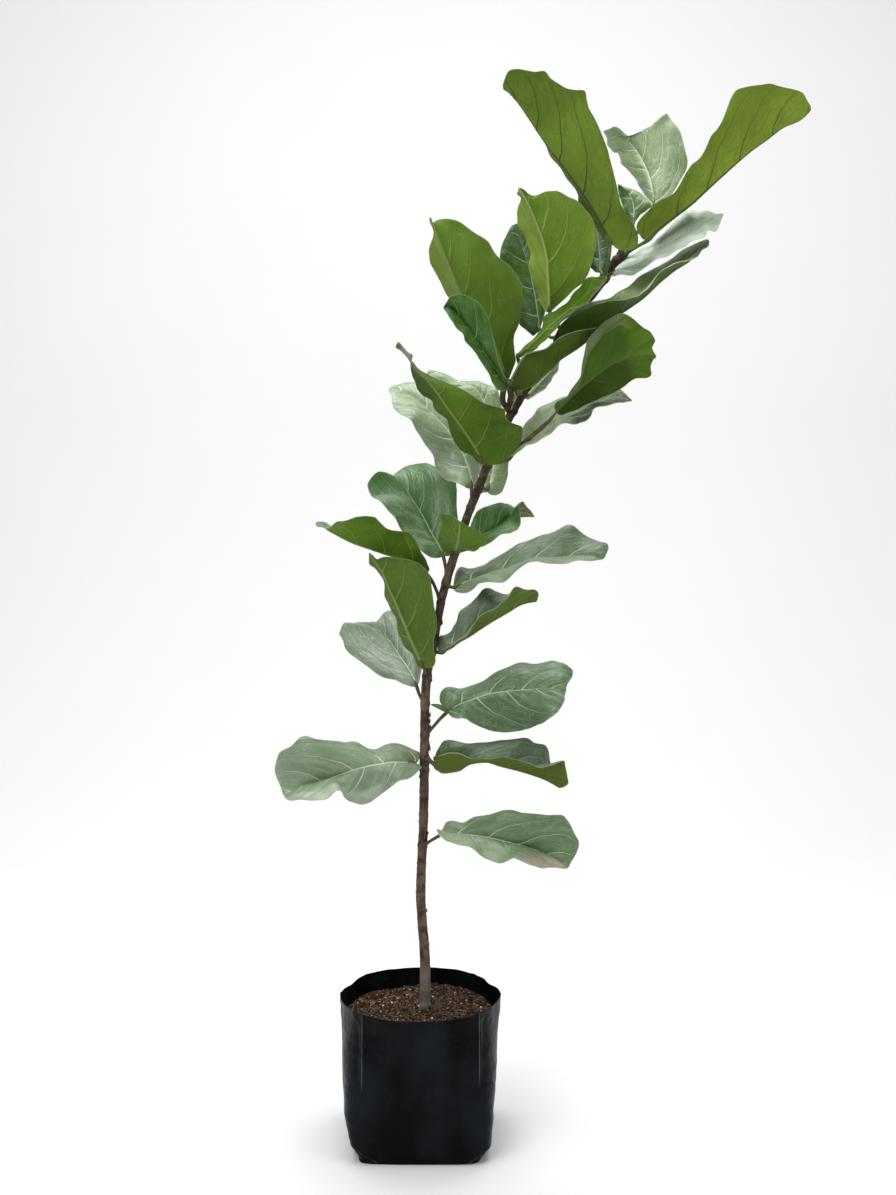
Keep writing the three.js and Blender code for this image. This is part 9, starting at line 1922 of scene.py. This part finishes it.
def build_stem(bark):
    path = np.array(STEM, float)
    above = by_length(path, 640)
    line, rad = above[:, :3], above[:, 3]
    z0 = line[0]
    down = np.array([[z0[0], z0[1], z0[2] - 12, 11.2], [z0[0], z0[1], z0[2] - 30, 12.6], [z0[0], z0[1], z0[2] - 52, 11.5], [z0[0], z0[1], z0[2] - 74, 8.0], [z0[0], z0[1], z0[2] - 92, 3.5]])[::-1]
    low = by_length(down, 24)
    line = np.vstack([low[:, :3], line])
    rad = np.r_[low[:, 3], rad]
    s = np.r_[0, np.cumsum(np.linalg.norm(np.diff(line, axis=0), axis=1))]
    scars = [float(s[np.argmin(np.linalg.norm(line - np.array(d["petiole"][0]), axis=1))]) for d in LEAVES.values()]
    extra = [float(s[np.argmin(np.abs(line[:, 2] - z))]) for z in (236, 262, 301, 344, 392, 437, 486, 534, 561, 575, 603, 664, 701)]
    swell = np.zeros(len(s))
    for c in scars:
        swell += 0.9 * np.exp(-((s - c) / 4.0) ** 2) - 0.35 * np.exp(-((s - c - 7) / 2.2) ** 2)
    for c in extra:
        swell += 0.55 * np.exp(-((s - c) / 2.4) ** 2) - 0.3 * np.exp(-((s - c - 4) / 1.8) ** 2)
    sides = 30
    ang = np.arange(sides) * 2 * math.pi / sides
    pts = np.stack([np.repeat(line[:, 0], sides) + np.tile(np.cos(ang), len(line)) * 9, np.repeat(line[:, 1], sides) + np.tile(np.sin(ang), len(line)) * 9, np.repeat(line[:, 2], sides)], -1)
    rough = smoothstep(line[:, 2], 270, 380)[:, None]
    bumpy = (0.035 * lattice(pts * [1, 1, 0.25], 1 / 6.0, 51, 3) + 0.05 * lattice(pts, 1 / 22.0, 52, 2)).reshape(len(line), sides)
    knob = lattice(pts * [0.6, 0.6, 1.2], 1 / 9.0, 55, 2).reshape(len(line), sides)
    field = 1 + bumpy * (0.5 + 0.9 * rough) + 0.05 * rough * np.clip(knob, 0, 1) + (swell / rad)[:, None] * (1 + 0.35 * np.cos(ang + s[:, None] * 0.37)[...])
    # rounded top under the bud
    cap = np.clip((s[-1] - s) / 5.0, 0, 1)
    rad = rad * np.sqrt(np.clip(1 - (1 - cap) ** 2, 0.02, 1))
    verts, faces = tube(line, rad, sides, shape=lambda i, a: field[i])
    stock = [(verts, faces)]
    # roots, under the soil
    for k, a in enumerate((0.4, 1.7, 2.9, 4.2, 5.4)):
        st = np.array([z0[0], z0[1], z0[2] - 30 - 6 * k])
        reach = np.array([[0, 0, 0], [18, 0, -9], [40, 5, -28], [58, -4, -58], [70, 3, -92]], float)
        c, n = math.cos(a), math.sin(a)
        run = st + np.stack([reach[:, 0] * c - reach[:, 1] * n, reach[:, 0] * n + reach[:, 1] * c, reach[:, 2]], -1)
        stock.append(tube(by_length(run, 34), np.linspace(5.0, 1.0, 34), 12))
    # dried scale remnants at the nodes
    r = np.random.default_rng(61)
    at = [np.argmin(np.abs(line[:, 2] - z)) for z in SPIKES]
    for j, i in enumerate(at):
        side = (1.0 if j < 6 else r.choice([-1, 1]))
        out = unit(np.array([side, -0.35 + r.uniform(-0.3, 0.3), 0.0]))
        p0 = line[i] + out * (rad[i] - 1.2)
        ln = r.uniform(4.5, 8.5)
        pts3 = np.array([p0, p0 + out * 2.2 + [0, 0, 1.2], p0 + out * 3.1 + [0, 0, ln]])
        stock.append(tube(by_length(pts3, 8), np.array([2.4, 2.4, 2.1, 1.8, 1.4, 1.0, 0.6, 0.2]), 8))
    # the stem, its roots and the scale remnants joined in one mesh
    V, F = [], []
    base = 0
    for v, f in stock:
        V.append(v)
        F.extend(tuple(i + base for i in t) for t in f)
        base += len(v)
    ob = make_mesh("stem_wood", np.vstack(V) * MM, F, [bark])
    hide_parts("stem_and_roots")
    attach(ob, "root")
    # growing tip: overlapping pointed scales
    tip = line[-1]
    axis = unit(line[-1] - line[-12])
    g = Graph("bud_scale")
    n = g.noise(g.place(), 120.0, 4.0)
    dark = g.finish(g.mix(g.band(n, 0.3, 0.7), srgb(30, 19, 15), srgb(62, 42, 34)), g.band(n, 0.3, 0.7, 0.4, 0.6), g.bump(n, 0.0006, 0.6))
    g = Graph("young_scale")
    n = g.noise(g.place(), 90.0, 4.0)
    pale = g.finish(g.mix(g.band(n, 0.3, 0.7), srgb(176, 158, 120), srgb(222, 208, 176)), g.band(n, 0.3, 0.7, 0.45, 0.65), g.bump(n, 0.0004, 0.6))
    V, F, M, base = [], [], [], 0
    side = unit(np.cross(axis, [0, 1, 0]))
    other = np.cross(axis, side)
    for k, (a, lean, ln, wd, off, tone) in enumerate(BUD):
        d = side * math.cos(a) + other * math.sin(a)
        p0 = tip - axis * (9 - off) + d * 2.5
        p1 = p0 + axis * ln * 0.45 + d * lean * ln * 0.4
        p2 = p0 + axis * ln + d * lean * ln * 0.55
        rr = wd * np.array([0.55, 0.85, 1.0, 1.0, 0.92, 0.78, 0.6, 0.42, 0.25, 0.08])
        v, f = tube(by_length(np.array([p0, p1, p2]), 10), rr, 12, shape=lambda i, an: 1 - 0.35 * np.abs(np.cos(an)))
        V.append(v)
        F.extend(tuple(i + base for i in t) for t in f)
        M.extend([tone] * len(f))
        base += len(v)
    ob = make_mesh("growing_tip", np.vstack(V) * MM, F, [dark, pale], M)
    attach(ob, "root")


# ---------------------------------------------------------------- stage
def build_stage():
    me = bpy.data.meshes.new("floor")
    rows = []
    back, rad = 3.2, 1.4
    prof = [(-6.0, 0.0), (back - rad, 0.0)] + [(back - rad + rad * math.sin(a), rad - rad * math.cos(a)) for a in np.linspace(0.1, math.pi / 2, 14)] + [(back, 7.0)]
    v = [(x, y, z - 0.0004) for y, z in prof for x in (-8.0, 8.0)]
    f = [(2 * i, 2 * i + 1, 2 * i + 3, 2 * i + 2) for i in range(len(prof) - 1)]
    me.from_pydata(v, [], f)
    me.polygons.foreach_set("use_smooth", [True] * len(f))
    ob = bpy.data.objects.new("floor", me)
    bpy.context.scene.collection.objects.link(ob)
    g = Graph("backdrop")
    n = g.noise(g.place(), 3.0, 2.0)
    me.materials.append(g.finish(g.mix(n, (0.90, 0.90, 0.90), (0.925, 0.925, 0.925)), g.band(n, 0.3, 0.7, 0.85, 0.95), None, Specular_IOR_Level=0.2))
    world = bpy.context.scene.world or bpy.data.worlds.new("World")
    bpy.context.scene.world = world
    world.use_nodes = True
    bg = world.node_tree.nodes["Background"]
    bg.inputs[0].default_value = (1, 1, 1, 1)
    bg.inputs[1].default_value = WORLD

    def area(name, loc, aim, size, power, color=(1, 1, 1)):
        lamp = bpy.data.lights.new(name, "AREA")
        lamp.shape = "RECTANGLE"
        lamp.size, lamp.size_y = size
        lamp.energy = power
        lamp.color = color
        o = bpy.data.objects.new(name, lamp)
        o.location = loc
        o.rotation_euler = (Vector(aim) - Vector(loc)).to_track_quat("-Z", "Y").to_euler()
        bpy.context.scene.collection.objects.link(o)

    area("key", (-1.3, -2.4, 3.4), (0.1, 0, 0.9), (1.8, 1.8), KEY)
    area("fill", (2.6, -1.6, 1.6), (0.1, 0, 0.8), (1.6, 2.2), FILL)
    area("top", (0.1, 0.3, 4.2), (0.1, 0, 0.9), (3.0, 2.6), TOP)
    cam = bpy.data.cameras.new("camera")
    cam.sensor_fit = "VERTICAL"
    cam.sensor_height = 24.0
    cam.lens = 24.0 * 1522.6985963706654 / 1195
    cam.clip_end = 60
    o = bpy.data.objects.new("camera", cam)
    o.location = (0.0490, -2.6, 1.161686564837686)
    o.rotation_euler = (math.radians(90 - 4.641585882848037), 0, 0)
    bpy.context.scene.collection.objects.link(o)
    bpy.context.scene.camera = o
    bpy.context.scene.view_settings.view_transform = "Standard"


# ---------------------------------------------------------------- build
W360 = np.arange(360) * 2 * math.pi / 360
build_bag()
build_soil()
EDGE = soil_edge(W360)
build_litter()
bark = bark_material()
build_stem(bark)
stalk = petiole_material("petiole_old", srgb(58, 48, 28), srgb(96, 84, 50), 1)
young = petiole_material("petiole_young", srgb(66, 84, 30), srgb(104, 122, 58), 2)
for number, (name, row) in enumerate(LOOKS.items(), 1):
    up, upv, low, lowv, ribs, puff, ripple, waves, camber, curl, lean, gloss = row
    leaf_piece(name, LEAVES[name], dict(upper=srgb(*up), vein_up=srgb(*upv), under=srgb(*low), vein_low=srgb(*lowv), petiole=young if number in YOUNG else stalk,
                                        ribs=ribs, puff=puff, ripple=ripple, waves=waves, camber=camber, curl=curl, lean=lean, gloss=gloss, strip=STRIP.get(name),
                                        halves_up=HALVES.get(name + ".upper"), halves_low=HALVES.get(name + ".under"), wash=WASH.get(name), stout=STOUT.get(name, 1.0),
                                        patch_up=[(srgb(*c[0]),) + c[1:] for c in PATCHES.get(name + ".upper", [])],
                                        patch_low=[(srgb(*c[0]),) + c[1:] for c in PATCHES.get(name + ".under", [])]), number)
# the small pointed lobe that curls back at the base of the fourth leaf
lv, lf = tube(by_length(np.array(AURICLE), 24), 7.5 * np.sin(np.linspace(0.35, math.pi, 24)) ** 0.7 * np.linspace(1.0, 0.75, 24) + 0.15, 20, shape=lambda i, a: 1 / np.sqrt((np.cos(a + 0.5) / 0.16) ** 2 + np.sin(a + 0.5) ** 2))
g = Graph("lobe")
n = g.noise(g.place(), 60.0, 4.0)
lobe = make_mesh("leaf_04_lobe", lv * MM, lf, [g.finish(g.mix(g.band(n, 0.3, 0.7), srgb(58, 72, 24), srgb(92, 112, 52)), g.band(n, 0.3, 0.7, 0.42, 0.58), g.bump(n, 0.0008, 0.6))])
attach(lobe, "root")
# the dried papery stipule in the fork below the crown leaves
sv, sf = tube(by_length(np.array(STIPULE), 20), 4.4 * np.sin(np.linspace(0.5, math.pi, 20)) ** 0.8 + 0.1, 16, shape=lambda i, a: 1 / np.sqrt((np.cos(a + 0.2) / 0.3) ** 2 + np.sin(a + 0.2) ** 2))
g = Graph("stipule")
n = g.noise(g.place(), 160.0, 4.0)
stipule = make_mesh("stipule", sv * MM, sf, [g.finish(g.mix(g.band(n, 0.3, 0.7), srgb(150, 150, 104), srgb(206, 208, 168)), g.band(n, 0.3, 0.7, 0.5, 0.7), g.bump(n, 0.0006, 0.6))])
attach(stipule, "root")
build_stage()
bpy.context.view_layer.update()
